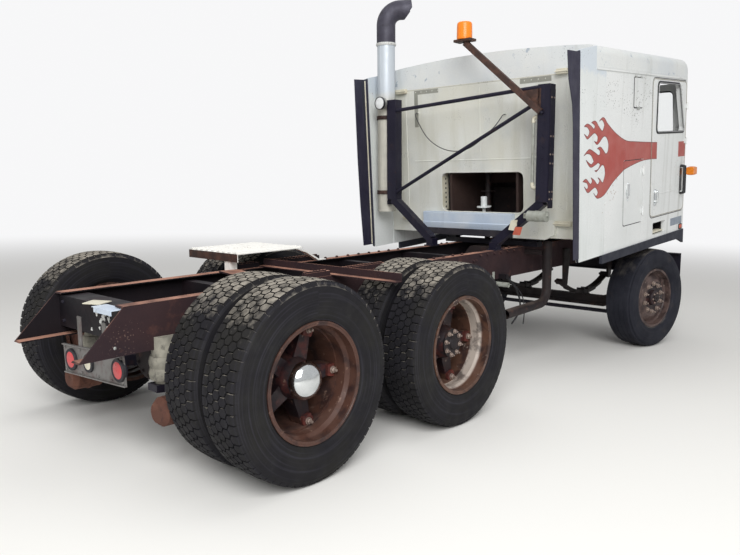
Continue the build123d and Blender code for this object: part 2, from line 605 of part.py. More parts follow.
def tyre(radius, width, bead, flange, rim_width, y):
    """Tyre as a ring with an open inside."""
    outer = tyre_profile(radius, width, bead, flange, rim_width)
    deep = width / 2 - 26
    seat = rim_width / 2 - RIM_GAUGE - 30
    inner = [(0, radius - 34), (deep * 0.8, radius - 40), (deep * 0.95, radius - 90), (deep, flange + 45),
             (seat, bead)]
    ring = [(-y_, r) for y_, r in outer] + [(-y_, r) for y_, r in inner[::-1]]
    half = turned(ring)
    return Pos(0, y, 0) * (half + left(half))


def rim(bead, flange, width, y, well=24.0):
    """Rim barrel with two flanges and a gutter, as a turned ring."""
    h, gauge = width / 2, RIM_GAUGE
    profile = [(-h, flange), (-h, bead - gauge), (-h * 0.55, bead - gauge), (-h * 0.35, bead - well),
               (h * 0.35, bead - well), (h * 0.55, bead - gauge), (h, bead - gauge), (h, flange),
               (h - gauge, flange), (h - gauge, bead - RUNNING_GAP), (-h + gauge, bead - RUNNING_GAP),
               (-h + gauge, flange)]
    return turned(profile, y)


def rear_wheel():
    """Cast hub with five hollow-backed spokes, brake drum and two demountable rims."""
    outer_y, inner_y = -OUTER_TYRE_Y, -OUTER_TYRE_Y + DUAL_SPACING
    band_r = REAR_RIM_R - 24
    wheel = rim(REAR_RIM_R, REAR_FLANGE_R, REAR_RIM_W, outer_y)
    wheel += rim(REAR_RIM_R, REAR_FLANGE_R, REAR_RIM_W, inner_y)
    wheel += turned([(outer_y + 20, band_r + 1), (inner_y - 20, band_r + 1), (inner_y - 20, band_r - 9),
                     (outer_y + 20, band_r - 9)])
    wheel += turned([(-HUB_FACE, 0), (-HUB_FACE, 88), (-HUB_FACE + 18, 96), (-HUB_FACE + 60, 112), (-900, 138),
                     (-700, 130), (-640, 110), (-600, 78), (-600, SPINDLE_R + RUNNING_GAP),
                     (-SPINDLE_END - 8, SPINDLE_R + RUNNING_GAP), (-SPINDLE_END - 8, 0)])
    root_y = (outer_y + inner_y) / 2 - 60
    for i in range(SPOKES):
        spoke = loft([Plane(origin=(0, root_y, SPOKE_IN_R), z_dir=(0, 0, 1)) * Rectangle(96, 120),
                      Plane(origin=(0, root_y - 10, band_r - 4), z_dir=(0, 0, 1)) * Rectangle(64, 84)])
        wheel += Rot(0, 90 + i * 360 / SPOKES, 0) * spoke
    drum = turned([(-BRAKE_Y - 18, 192), (-BRAKE_Y - 18, 212), (-790, 212), (-790, 100), (-775, 100),
                   (-775, 192)])
    return wheel + drum


def chrome_cap(radius=92.0):
    """Domed cover pressed over the hub end."""
    return turned([(-HUB_FACE, 0), (-HUB_FACE, radius), (-HUB_FACE - 12, radius),
                   (-HUB_FACE - 30, radius * 0.86), (-HUB_FACE - 46, radius * 0.58),
                   (-HUB_FACE - 55, radius * 0.25), (-HUB_FACE - 55, 0)])


def front_wheel():
    """Disc wheel with a dished centre, hub and oil cap, about the wheel's own axle."""
    y = -FRONT_TYRE_Y + KINGPIN_Y
    face = y - 30
    hub_in = -BOSS_R - 64
    wheel = rim(FRONT_RIM_R, FRONT_FLANGE_R, FRONT_RIM_W, y)
    disc = turned([(face - 20, 270), (face - 20, 250), (face - 58, 190), (face - 58, 80), (face - 44, 80),
                   (face - 44, 184), (face - 6, 246), (face - 6, 270)])
    hub = turned([(hub_in, FRONT_SPINDLE_R + RUNNING_GAP), (hub_in, 92), (face - 44, 130), (face - 52, 78),
                  (face - 84, 74), (face - 96, 58), (face - 96, 0), (face - 90, 0),
                  (face - 90, FRONT_SPINDLE_R + RUNNING_GAP)])
    drum = turned([(hub_in + 90, 196), (hub_in + 90, 210), (hub_in - 24, 210), (hub_in - 24, 90),
                   (hub_in - 12, 90), (hub_in - 12, 196)])
    return wheel + disc + hub + drum


def wheels():
    """All six wheel positions, twin tyres at the back and singles in front."""
    rear = rear_wheel()
    sizes = (REAR_TYRE_R, REAR_TYRE_W, REAR_RIM_R, REAR_FLANGE_R, REAR_RIM_W)
    pair = [tyre(*sizes, -OUTER_TYRE_Y), tyre(*sizes, -OUTER_TYRE_Y + DUAL_SPACING)]
    for row, x in (("rear", 0.0), ("mid", TANDEM)):
        wheel = rear + chrome_cap() if row == "rear" else rear
        for side in ("right", "left"):
            place = Pos(x, 0, REAR_Z)
            add(f"{row}_wheel_{side}", wheel if side == "right" else left(wheel), place=place)
            add(f"{row}_tyres_{side}", *[t if side == "right" else left(t) for t in pair], place=place)
    front = front_wheel()
    ring = tyre(FRONT_TYRE_R, FRONT_TYRE_W, FRONT_RIM_R, FRONT_FLANGE_R, FRONT_RIM_W, -FRONT_TYRE_Y + KINGPIN_Y)
    for side, place in (("right", steered), ("left", steered_left)):
        add(f"front_wheel_{side}", place(front))
        add(f"front_tyre_{side}", place(ring))


# Rack behind the cab, with the exhaust stack


def rack():
    """Two channel columns on slanted legs, tied across by bars, with the beacon's arm."""
    x0, x1 = COLUMN_X
    y0, y1 = COLUMN_Y
    z0, z1 = COLUMN_Z
    column = block(x0, x1, y0, y1, z0, z1) - block(x0 + 8, x1 + 1, y0 + 8, y1 - 8, z0 - 1, z1 + 1)
    xm, ym = (x0 + x1) / 2, (y0 + y1) / 2
    column += block(x0, x1, y0, y1, z0 - 10, z0)
    leg = flat_bar((xm, ym, z0 - 5), (xm, -RAIL_OUT + 40, RAIL_TOP + 60), 70, 80)
    foot = block(xm - 70, xm + 70, -RAIL_OUT, -RAIL_OUT + 80, RAIL_TOP, RAIL_TOP + 10)
    foot += block(xm - 45, xm + 45, -RAIL_OUT + 5, -RAIL_OUT + 75, RAIL_TOP, RAIL_TOP + 70)
    column = column + leg + foot
    frame = column + left(column)
    frame += rod((x0 + 20, y0 + 20, z1 - 14), (x0 + 20, -y0 - 20, z1 - 110), 17)
    frame += rod((x0 + 20, y0 + 20, z1 - 90), (x0 + 20, -y0 - 20, z0 + 20), 17)
    arm = rod((x0 - 12, ym, z1 - 240), (x0 - 12, -40, z1 + 430), 14)
    arm += block(x0 - 52, x0 + 28, -90, 10, z1 + 432, z1 + 446)
    handle = pipe([(x0 + 40, y1 - 4, z0 + 110), (x0 + 40, y1 + 55, z0 + 110), (x0 + 40, y1 + 55, z1 - 260),
                   (x0 + 40, y1 - 4, z1 - 260)], 30, 11)
    frame += arm + handle
    add("rack", frame, place=RAIL)
    beacon = Cylinder(72, 24, align=SEATED) + Pos(0, 0, 95) * Cone(64, 56, 142)
    beacon += Pos(0, 0, 172) * Cone(56, 40, 12)
    add("beacon", Pos(x0 - 12, -40, z1 + 446) * beacon, place=RAIL)


def exhaust():
    """Stack on the left of the rack with its turned-out top, and its clamps."""
    base = RAIL_TOP + 310
    axis = Pos(STACK_X, STACK_Y, 0)
    tall = STACK_TOP - base
    stack = axis * Pos(0, 0, base) * Cylinder(STACK_R, tall, align=SEATED)
    for z in (COLUMN_Z[0] + 60, COLUMN_Z[1] - 160):
        band = axis * Pos(0, 0, z) * Cylinder(STACK_R + 8, 36)
        stack += band + block(COLUMN_X[1] - 60, STACK_X, -COLUMN_Y[0], -COLUMN_Y[0] + 22, z - 18, z + 18)
    stack -= axis * Pos(0, 0, base - 1) * Cylinder(STACK_R - 4, tall + 2, align=SEATED)
    add("exhaust_stack", stack, place=RAIL)
    path = FilletPolyline((0, 0, 0), (0, 0, 330), (250, 0, 345), radius=150)
    start = Plane(origin=path @ 0, z_dir=path % 0)
    elbow = sweep(start * Circle(STACK_R + 5), path=path)
    elbow -= sweep(start * Circle(STACK_R + RUNNING_GAP), path=path)
    mouth = Box(160, 400, 500, align=(Align.MIN, Align.CENTER, Align.CENTER))
    elbow -= Pos(250, 0, 345) * Rot(0, 35, 0) * mouth
    add("stack_elbow", Pos(STACK_X, STACK_Y, STACK_TOP - 60) * Rot(0, 0, -45) * elbow, place=RAIL)


def rack_fittings():
    """Work lamp, the pale air canister at the foot of the right column and the pipe under the rail."""
    x0, x1 = COLUMN_X
    y0, y1 = COLUMN_Y
    z0, z1 = COLUMN_Z
    lamp = Cylinder(58, 46) + Pos(0, 0, 32) * Cone(50, 30, 18)
    lamp = Pos(x0 - 40, -y0 + 40, z1 - 30) * Rot(0, 90, 0) * lamp
    lamp += block(x0 - 10, x0 + 30, -y0, -y0 + 20, z1 - 50, z1 - 10)
    add("work_lamp", lamp, place=RAIL)
    z = z0 - CANISTER_DROP
    can = Pos(x0 - 45, (y0 + y1) / 2 + 5, z) * Rot(90, 0, 0) * Cylinder(CANISTER_R, 170)
    can += block(x0 - 14, x0 + 8, y0 + 75, y1 + 100, z - 22, z + 22)
    low = RAIL_BOTTOM - 33
    pipe_out = rod((BREATHER_X, -RAIL_OUT - 6, low), (BREATHER_X, -RAIL_OUT - 160, low), BREATHER_R)
    pipe_out -= rod((BREATHER_X, -RAIL_OUT - 30, low), (BREATHER_X, -RAIL_OUT - 161, low), BREATHER_R - 3)
    tab = block(BREATHER_X - 15, BREATHER_X + 15, -RAIL_OUT - 6, -RAIL_OUT, low - 15, RAIL_BOTTOM + 70)
    add("air_canister", can, pipe_out + tab, place=RAIL)


def down_pipe():
    """Bent dark pipe hanging outboard of the right rail and running back under it."""
    x, y = FRONT_X - 1345.0, -620.0
    low = RAIL_BOTTOM - 250
    tube = pipe([(x, y, RAIL_TOP + 60), (x, y, low), (x - 720, y, low - 15)], 130, 42, 38)
    bracket = block(x - 30, x + 30, y + 39, -RAIL_OUT, RAIL_TOP - 70, RAIL_TOP - 30)
    add("down_pipe", tube + bracket, place=RAIL)


def bumper():
    """Channel bumper across the nose on two stays from the rails."""
    front = NOSE_X - 80
    z0, z1 = RAIL_BOTTOM - 170, RAIL_TOP - 190
    bar = block(front - 75, front, -CAB_HALF, CAB_HALF, z0, z1)
    bar -= block(front - 76, front - 7, -CAB_HALF - 1, CAB_HALF + 1, z0 + 7, z1 - 7)
    nose = FRONT_X + RAIL_NOSE
    stay = side_plate([(nose - 62, RAIL_BOTTOM + 14), (nose - 62, RAIL_BOTTOM + 160), (front - 7, z1 - 8),
                       (front - 7, z0 + 8), (nose + 9, z0 + 70), (nose + 9, RAIL_BOTTOM + 14)],
                      -RAIL_IN, -RAIL_IN + 12)
    bar += stay + left(stay)
    add("bumper", bar, place=RAIL)


# Cab


def cab_mounts():
    """Front pivot pins on the rails and the rear rest beam with its pads."""
    x = FRONT_X + RAIL_NOSE - 150
    pins = side_plate([(x, PIVOT_Z - 90), (x, PIVOT_Z + 40), (PIVOT_X + 40, PIVOT_Z + 40),
                       (PIVOT_X + 40, PIVOT_Z - 40)], -RAIL_OUT - 14, -RAIL_OUT, radius=25)
    pins += rod((PIVOT_X, -RAIL_OUT, PIVOT_Z), (PIVOT_X, PIVOT_Y[0] - 8, PIVOT_Z), PIVOT_R)
    mounts = both(RAIL * pins)
    x = BACK_X + 150
    beam = RAIL * (block(x, x + 90, -RAIL_OUT - 130, RAIL_OUT + 130, RAIL_TOP, RAIL_TOP + 45))
    pads = []
    for y in (-RAIL_OUT - 60, RAIL_OUT + 60):
        pad = CAB * block(x, x + 80, y - 50, y + 50, FLOOR_Z - CAB_FLOOR_T - 95, FLOOR_Z - CAB_FLOOR_T)
        pads.append(pad)
    rear = beam + pads[0] + pads[1]
    add("cab_mounts", *mounts, rear)


def cab_body(inset, back=None):
    """Closed body of the cab: side view, plan and crowned cross-section run together."""
    half, edge = CAB_HALF - inset, EDGE_Z - inset
    crown = edge + ROOF_CROWN
    round_ = ROOF_ROUND - inset / 2
    low = BOTTOM_Z - 200
    run = half - round_
    arc_top = ThreePointArc((run, edge), (0, crown), (-run, edge))
    corner = math.sqrt(0.5) * round_
    mid_r = (run + corner, edge - round_ + corner)
    right = ThreePointArc((half, edge - round_), mid_r, (run, edge))
    leftc = ThreePointArc((-run, edge), (-mid_r[0], mid_r[1]), (-half, edge - round_))
    sides = [Line((-half, edge - round_), (-half, low)), Line((-half, low), (half, low)),
             Line((half, low), (half, edge - round_))]
    outline = [Plane.YZ * c for c in (right, arc_top, leftc, *sides)]
    x0 = (BACK_X if back is None else back) + inset
    tunnel = Pos(x0, 0, 0) * extrude(make_face(outline), amount=NOSE_X - x0 + 10, dir=(1, 0, 0))
    x1 = NOSE_X - inset
    side = side_plate([(x0, low), (x1, low), (x1, RAIL_TOP + 950), (x1 - 95, EDGE_Z - 120),
                       (x1 - 200, crown + 1), (x0, crown + 1)], -half - 1, half + 1)
    plan = make_face(Plane.XY * Polyline((x0, -half), (x1, -half), (x1, half), (x0, half), close=True))
    front_corners = plan.vertices().sort_by(Axis.X)[2:]
    plan = fillet(front_corners, CORNER_ROUND - inset)
    column = Pos(0, 0, low) * extrude(plan, amount=crown - low + 10, dir=(0, 0, 1))
    return tunnel & side & column


def hinges(edge_x, heights, leaf, sink):
    """Hinge barrels for a panel's front edge, and the pins and leaves on the fixed side of the gap."""
    x, y = edge_x + PANEL_GAP / 2, -CAB_HALF - HINGE_OUT
    leaf_y = (-CAB_HALF - HINGE_OUT / 2, -CAB_HALF)
    root_y = (leaf_y[0], -CAB_HALF + sink)
    lug = 12.0
    moving, fixed = [], []
    for z in heights:
        z0, z1 = z - HINGE_L / 2, z + HINGE_L / 2
        barrel = Pos(x, y, z) * Cylinder(HINGE_R, HINGE_L) + block(x - 45, x, *leaf_y, z0, z1)
        moving.append(barrel - Pos(x, y, z) * Cylinder(HINGE_PIN_R + RUNNING_GAP, HINGE_L + 2))
        knuckle_ = Pos(x, y, z) * Cylinder(HINGE_PIN_R, HINGE_L + 2 * lug)
        for low in (z0 - lug - 1, z1 + 1):
            knuckle_ += Pos(x, y, low) * Cylinder(HINGE_R, lug, align=SEATED)
            knuckle_ += block(x, x + leaf, *root_y, low, low + lug)
        knuckle_ += block(x + 15, x + leaf, *root_y, z0 - 1, z1 + 1)
        fixed.append(knuckle_)
    return moving, fixed


def panel_outline(span, rise, gap):
    """Corners of a door or hatch, from its x from the front axle and its z above the rails."""
    x0, x1 = FRONT_X + span[0] - gap, FRONT_X + span[1] + gap
    z0, z1 = RAIL_TOP + rise[0] - gap, RAIL_TOP + rise[1] + gap
    return [(x0, z0), (x1, z0), (x1, z1), (x0, z1)]


def side_hole(outline, radius):
    """Cutter through the right-hand side panel."""
    return side_plate(outline, -CAB_HALF - 50, -CAB_HALF + 80, radius=radius)


def cab_shell():
    """Roof, sides and front, split at the seams that show; returns the hinge barrels of door and hatch."""
    skin = cab_body(0) - cab_body(CAB_WALL)
    seam_x = FRONT_X + FAIRING_SEAM
    pillar_x = FRONT_X + DOOR_X[1] + PANEL_GAP + PILLAR_STRIP
    roof = skin & block(BACK_X - 1, NOSE_X + 1, -FAR, FAR, SEAM_Z, FAR)
    add("cab_roof", roof, place=CAB)

    side = skin & block(seam_x, pillar_x, -CAB_HALF - 1, -CAB_HALF + CAB_WALL, BOTTOM_Z, SEAM_Z)
    side -= side_hole(panel_outline(DOOR_X, DOOR_Z, PANEL_GAP), DOOR_ROUND + PANEL_GAP)
    side -= side_hole(panel_outline(HATCH_X, HATCH_Z, PANEL_GAP), HATCH_ROUND + PANEL_GAP)
    x0, x1 = FRONT_X + STEP_X[0], FRONT_X + STEP_X[1]
    z0, z1 = BOTTOM_Z + STEP_Z[0], BOTTOM_Z + STEP_Z[1]
    side -= side_hole([(x0, z0), (x1, z0), (x1, z1), (x0, z1)], 15)
    door_barrels, door_pins = hinges(FRONT_X + DOOR_X[1], DOOR_HINGES, 24, 12)
    hatch_barrels, hatch_pins = hinges(FRONT_X + HATCH_X[1], HATCH_HINGES, 45, 6)
    for pin in door_pins + hatch_pins:
        side += pin
    add("cab_sides", *both(side), place=CAB)

    front = skin & block(pillar_x, NOSE_X + 1, -FAR, FAR, BOTTOM_Z - 90, SEAM_Z)
    for hole in windscreen_outlines(0):
        front -= hole
    z0, z1 = RAIL_TOP + GRILLE_Z[0], RAIL_TOP + GRILLE_Z[1]
    front -= cross_plate([(-GRILLE_HALF, z0), (GRILLE_HALF, z0), (GRILLE_HALF, z1), (-GRILLE_HALF, z1)],
                         NOSE_X - 100, NOSE_X + 50, radius=30)
    for i in range(GRILLE_SLATS):
        z = z0 + 50 + i * (z1 - z0 - 100) / (GRILLE_SLATS - 1)
        front += block(NOSE_X - 32, NOSE_X - 8, -GRILLE_HALF - 1, GRILLE_HALF + 1, z - 14, z + 14)
    add("cab_front", front, place=CAB)
    return door_barrels, hatch_barrels


def windscreen_outlines(inset):
    """The two windscreen openings, or with an inset the panes that fill them, as cutters."""
    y0, y1 = WINDSHIELD_Y[0] + inset, WINDSHIELD_Y[1] - inset
    z0, z1 = RAIL_TOP + WINDSHIELD_Z[0] + inset, RAIL_TOP + WINDSHIELD_Z[1] - inset
    pane = cross_plate([(y0, z0), (y1, z0), (y1, z1), (y0, z1)], NOSE_X - 300, NOSE_X + 50, radius=60 - inset)
    return [left(pane), pane]


def back_wall():
    """Back wall between the sides, with the big rounded opening, the sill under it and the cable's fittings."""
    inner = CAB_HALF - CAB_WALL
    wall = block(BACK_X, BACK_X + CAB_WALL, -inner, inner, FLOOR_Z - CAB_FLOOR_T, SEAM_Z)
    wall += cross_plate([(-790, FLOOR_Z - 10), (-700, FLOOR_Z - 60), (560, FLOOR_Z - 60), (640, FLOOR_Z + 10),
                         (640, FLOOR_Z + 110), (-790, FLOOR_Z + 110)], BACK_X - 45, BACK_X)
    y0, y1 = OPENING_Y
    z0, z1 = RAIL_TOP + OPENING_Z[0], RAIL_TOP + OPENING_Z[1]
    wall -= cross_plate([(y0, z0), (y1, z0), (y1, z1), (y0, z1)], BACK_X - 60, BACK_X + 60, radius=75)
    diameter, points = WALL_CABLE
    for x, y, z in (points[0], points[-1]):
        wall += rod((x, y, z), (BACK_X, y, z), diameter / 2 + 6)
    add("cab_back_wall", wall, place=CAB)


def cab_floor():
    """Floor with its engine tunnel, the step up to the berth, and the pivot arms under the front."""
    inner = CAB_HALF - CAB_WALL
    back, front = BACK_X + CAB_WALL, FRONT_X + 640
    bunk_x, bunk_z = back + BUNK_DEPTH, RAIL_TOP + BUNK_RISE
    wide, high = ENGINE_HALF + 60, RAIL_TOP + ENGINE_TOP + 220
    sheet = 25
    floor = block(back, front, -inner, inner, FLOOR_Z - CAB_FLOOR_T, FLOOR_Z)
    floor += block(back, front, -wide - sheet, wide + sheet, FLOOR_Z - CAB_FLOOR_T, high)
    floor += block(back, bunk_x, -wide - sheet, wide + sheet, FLOOR_Z, bunk_z)
    floor -= block(back - 1, front + 1, -wide, wide, FLOOR_Z - CAB_FLOOR_T - 1, high - sheet)
    floor -= block(back - 1, bunk_x - sheet, -wide, wide, FLOOR_Z, bunk_z + 1)
    arm = side_plate([(PIVOT_X - 50, PIVOT_Z - 45), (PIVOT_X + 50, PIVOT_Z - 45), (PIVOT_X + 40, FLOOR_Z + 60),
                      (PIVOT_X - 160, FLOOR_Z + 60)], *PIVOT_Y, radius=20)
    arm -= rod((PIVOT_X, -FAR, PIVOT_Z), (PIVOT_X, 0, PIVOT_Z), PIVOT_R + RUNNING_GAP)
    arm = CAB.inverse() * RAIL * arm
    floor += arm + left(arm)
    floor -= block(front + 1, NOSE_X + 100, -FAR, FAR, FLOOR_Z - 1, FLOOR_Z + 200)
    add("cab_floor", floor, place=CAB)


def fairings():
    """Fairings that reach back past the wall, with their rubber edges and wheel-arch lips."""
    top, seam_x, tail_x = EDGE_Z - 70, FRONT_X + FAIRING_SEAM, FRONT_X + FAIRING_BACK
    fairing = side_plate([(tail_x, BOTTOM_Z), (seam_x, BOTTOM_Z), (seam_x, SEAM_Z), (BACK_X, SEAM_Z),
                          (BACK_X, top + 50), (tail_x, top)], -CAB_HALF, -CAB_HALF + FAIRING_T)
    fairing += side_plate([(BACK_X, BOTTOM_Z), (seam_x, BOTTOM_Z), (seam_x, SEAM_Z), (BACK_X, SEAM_Z)],
                          -CAB_HALF + FAIRING_T, -CAB_HALF + CAB_WALL)
    add("side_fairings", *both(fairing), place=CAB)
    flap = side_plate([(tail_x - 20, BOTTOM_Z + 10), (tail_x, BOTTOM_Z), (tail_x, top - 5),
                       (tail_x - 95, top - 25)], -CAB_HALF + 6, -CAB_HALF + 18)
    lip = side_plate([(seam_x - 60, BOTTOM_Z - 75), (FRONT_X - 100, BOTTOM_Z - 80),
                      (FRONT_X + 500, BOTTOM_Z - 90), (FRONT_X + 670, BOTTOM_Z - 150),
                      (FRONT_X + 670, BOTTOM_Z), (seam_x - 60, BOTTOM_Z)], -CAB_HALF - 12, -CAB_HALF + 14)
    add("rubber_edges", *both(flap), *both(lip), place=CAB)


def windscreen():
    """Two panes in the middle of the front wall's thickness."""
    sheet = cab_body(CAB_WALL / 2 - 3) - cab_body(CAB_WALL / 2 + 3)
    add("windscreen", *[sheet & pane for pane in windscreen_outlines(1)], place=CAB)


def interior():
    """Seats, berth, dashboard and steering wheel."""
    inner = CAB_HALF - CAB_WALL
    x = FRONT_X - 80
    seat = block(x - 250, x + 250, -1000, -520, FLOOR_Z + 300, FLOOR_Z + 420)
    seat += block(x - 180, x + 180, -900, -620, FLOOR_Z, FLOOR_Z + 300)
    seat += block(x - 250, x - 150, -960, -560, FLOOR_Z + 400, FLOOR_Z + 426)
    seat += side_plate([(x - 250, FLOOR_Z + 425), (x - 130, FLOOR_Z + 425), (x - 250, FLOOR_Z + 980),
                        (x - 350, FLOOR_Z + 980)], -990, -530, radius=30)
    add("seats", *both(seat), place=CAB)
    back, bunk_z = BACK_X + CAB_WALL, RAIL_TOP + BUNK_RISE
    bunk = block(back, back + BUNK_DEPTH, -inner, inner, bunk_z, bunk_z + 25)
    bunk += block(back, back + BUNK_DEPTH - 30, -inner + 20, inner - 20, bunk_z + 25, bunk_z + 145)
    add("bunk_boards", bunk, place=CAB)

    hub = Vector(FRONT_X + 230, STEERING_Y, RAIL_TOP + 1030)
    foot = Vector(FRONT_X + 500, STEERING_Y, RAIL_TOP + 850)
    past = foot + (foot - hub) * 0.002
    face = NOSE_X - CAB_WALL
    dash = side_plate([(FRONT_X + 430, RAIL_TOP + 780), (face, RAIL_TOP + 780), (face, RAIL_TOP + 940),
                       (FRONT_X + 480, RAIL_TOP + 1000)], -DASH_HALF, DASH_HALF)
    dash -= rod(hub, foot, STEERING_SHAFT_R + RUNNING_GAP)
    dash -= rod(foot, past, STEERING_SHAFT_R + RUNNING_GAP)
    add("dashboard", dash, place=CAB)
    wheel = Torus(STEERING_R, 15)
    for turn in (0, 90):
        wheel += Rot(0, 0, turn) * Box(2 * STEERING_R - 10, 40, 10)
    wheel = Plane(origin=hub, z_dir=hub - foot) * wheel + rod(hub, foot, STEERING_SHAFT_R)
    add("steering_wheel", wheel, place=CAB)


def side_lamps():
    """Turn lamps on short arms at the front corners."""
    lamp = Pos(NOSE_X - 45, -CAB_HALF - 42, RAIL_TOP + 760) * Box(46, 60, 70)
    lamp += block(NOSE_X - 58, NOSE_X - 40, -CAB_HALF - 20, -CAB_HALF + 60, RAIL_TOP + 750, RAIL_TOP + 770)
    lamp -= cab_body(-RUNNING_GAP)
    add("side_lamps", *both(lamp), place=CAB)


def doors(door_barrels, hatch_barrels):
    """Doors hinged at their front edge, and the locker hatches behind them."""
    door = side_plate(panel_outline(DOOR_X, DOOR_Z, 0), -CAB_HALF, -CAB_HALF + DOOR_T, radius=DOOR_ROUND)
    door -= side_hole([(FRONT_X + x, RAIL_TOP + z) for x, z in WINDOW], 45)
    x, out = FRONT_X + DOOR_X[0] + 130, -CAB_HALF - 22
    z0, z1 = RAIL_TOP + 505, RAIL_TOP + 605
    door += rod((x, out, z0), (x, out, z1), 9)
    for z in (z0, z1 - 15):
        door += block(x - 10, x + 10, out - 3, -CAB_HALF, z, z + 15)
    x, out = FRONT_X + GRAB_X, -CAB_HALF - 42
    z0, z1 = RAIL_TOP + GRAB_Z[0] + 14, RAIL_TOP + GRAB_Z[1] - 14
    door += pipe([(x, -CAB_HALF + 6, z0), (x, out, z0), (x, out, z1), (x, -CAB_HALF + 6, z1)], 28, 14)
    for barrel in door_barrels:
        door += barrel
    hatch = side_plate(panel_outline(HATCH_X, HATCH_Z, 0), -CAB_HALF, -CAB_HALF + 35, radius=HATCH_ROUND)
    hatch += Pos(FRONT_X + HATCH_X[0] + 90, -CAB_HALF - 6, RAIL_TOP + 670) * Box(40, 14, 110)
    for barrel in hatch_barrels:
        hatch += barrel
    for name, panel in (("door", door), ("hatch", hatch)):
        add(f"{name}_right", panel, place=CAB)
        add(f"{name}_left", left(panel), place=CAB)


# Cords


def cord(name, diameter, points, place):
    """Plain tube along a hanging cord's route, with each bend as round as its two runs allow."""
    spots = [Vector(*p) for p in points]
    runs = [b - a for a, b in zip(spots, spots[1:])]
    radii = []
    for before, after in zip(runs, runs[1:]):
        half_turn = math.radians(before.get_angle(after) / 2)
        radii.append(0.45 * min(before.length, after.length) / math.tan(half_turn))
    path = FilletPolyline(*points, radius=radii)
    tube = sweep(Plane(origin=path @ 0, z_dir=path % 0) * Circle(diameter / 2), path=path)
    share = tube.volume / (math.pi * diameter ** 2 / 4 * path.length)
    print(f"{name}: length {path.length:.0f}, volume over section {share:.4f}")
    print("  radii", [round(r) for r in radii])
    add(name, tube, place=place)


frame_rails()
crossmembers()
tail_panel()
deck_plate()
deck_angles()
drive_axles()
brake_chambers()
rear_suspension()
air_springs()
driveshafts()
engine()
front_axle()
front_springs()
tie_ends = steering()
wheels()
rack()
exhaust()
rack_fittings()
down_pipe()
bumper()
cab_mounts()
panel_barrels = cab_shell()
back_wall()
cab_floor()
fairings()
windscreen()
interior()
side_lamps()
doors(*panel_barrels)
cord("wall_cable", *WALL_CABLE, CAB)
cord("hose_loose", *HOSE_LOOSE, RAIL)
cord("hose_long", *HOSE_LONG, RAIL)

# The origin is the middle of the footprint, on the ground
whole = Compound(list(nodes.values())).bounding_box()
ORIGIN = Vector((whole.min.X + whole.max.X) / 2, (whole.min.Y + whole.max.Y) / 2, whole.min.Z)

for name, shape in nodes.items():
    export_step(Pos(-ORIGIN.X, -ORIGIN.Y, -ORIGIN.Z) * shape, f"parts/{name}.step")
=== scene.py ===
import logging
import math
from collections.abc import Iterable, Sequence
from dataclasses import dataclass
from enum import Enum

import bmesh
import bpy
import numpy as np
from mathutils import Matrix, Vector
from mathutils.geometry import delaunay_2d_cdt


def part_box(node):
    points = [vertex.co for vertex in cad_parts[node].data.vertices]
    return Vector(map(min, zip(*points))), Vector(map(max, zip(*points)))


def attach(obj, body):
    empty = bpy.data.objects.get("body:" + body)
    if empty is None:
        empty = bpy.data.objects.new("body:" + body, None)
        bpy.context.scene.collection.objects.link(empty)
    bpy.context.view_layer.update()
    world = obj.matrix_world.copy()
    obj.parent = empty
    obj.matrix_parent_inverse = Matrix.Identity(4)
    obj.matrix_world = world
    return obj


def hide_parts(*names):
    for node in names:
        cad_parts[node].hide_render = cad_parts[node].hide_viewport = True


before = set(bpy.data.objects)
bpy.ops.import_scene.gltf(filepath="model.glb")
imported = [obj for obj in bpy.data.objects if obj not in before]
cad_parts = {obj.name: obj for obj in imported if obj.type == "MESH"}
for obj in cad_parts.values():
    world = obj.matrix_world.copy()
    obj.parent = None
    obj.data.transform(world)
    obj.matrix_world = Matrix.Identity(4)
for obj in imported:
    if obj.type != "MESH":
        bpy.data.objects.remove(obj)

# Shapes are drawn in millimetres, as the tractor was measured: X forward from the rearmost axle,
# Y to the left, Z up from the ground. Each is then moved to its place in metres.

Pair = tuple[float, float]
Triple = tuple[float, float, float]
Quad = tuple[float, float, float, float]

log = logging.getLogger("tractor")
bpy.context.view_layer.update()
AXLE_X = sum(corner.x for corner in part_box("rear_wheel_right")) / 2
SIDES = (("right", -1), ("left", 1))
TANDEM = 1323.0
FRONT_X = 4821.0
REAR_Z = 540.0
FRONT_Z = 500.0
KINGPIN_Y = 930.0
STEER_REST = 11.0
RAIL_TOP = 956.0
RAIL_OUT = 395.0
CAB_HALF = 1143.0
BACK_X = 3310.0
NOSE_X = 5600.0


class Datum(Enum):
    """Frames that the tractor is drawn in: pivot x, pivot z in mm and nose-up angle in degrees."""

    GROUND = (0.0, 0.0, 0.0)
    RAIL = (661.5, 900.0, 1.8)
    CAB = (4500.0, 1200.0, 5.05)


@dataclass(frozen=True)
class Seat:
    """Where a drawing sits: its datum, the point of its own origin, its turn about Z and its hand."""

    datum: Datum = Datum.GROUND
    origin: Triple = (0.0, 0.0, 0.0)
    turn: float = 0.0
    mirrored: bool = False

    def place(self, points: np.ndarray) -> np.ndarray:
        """Mirror the points if asked, turn them about Z, move them to the origin, and tilt with the datum.

        Args:
            points: an (n, 3) array in the drawing's own millimetres.

        Returns:
            An (n, 3) array in scene metres.
        """
        x, y, z = np.asarray(points, float).reshape(-1, 3).T
        if self.mirrored:
            y = -y
        a = math.radians(self.turn)
        x, y = x * math.cos(a) - y * math.sin(a), x * math.sin(a) + y * math.cos(a)
        x, y, z = x + self.origin[0], y + self.origin[1], z + self.origin[2]
        pivot_x, pivot_z, degrees = self.datum.value
        a = math.radians(degrees)
        dx, dz = x - pivot_x, z - pivot_z
        x = pivot_x + dx * math.cos(a) - dz * math.sin(a)
        z = pivot_z + dx * math.sin(a) + dz * math.cos(a)
        return np.column_stack([x / 1000 + AXLE_X, y / 1000, z / 1000])


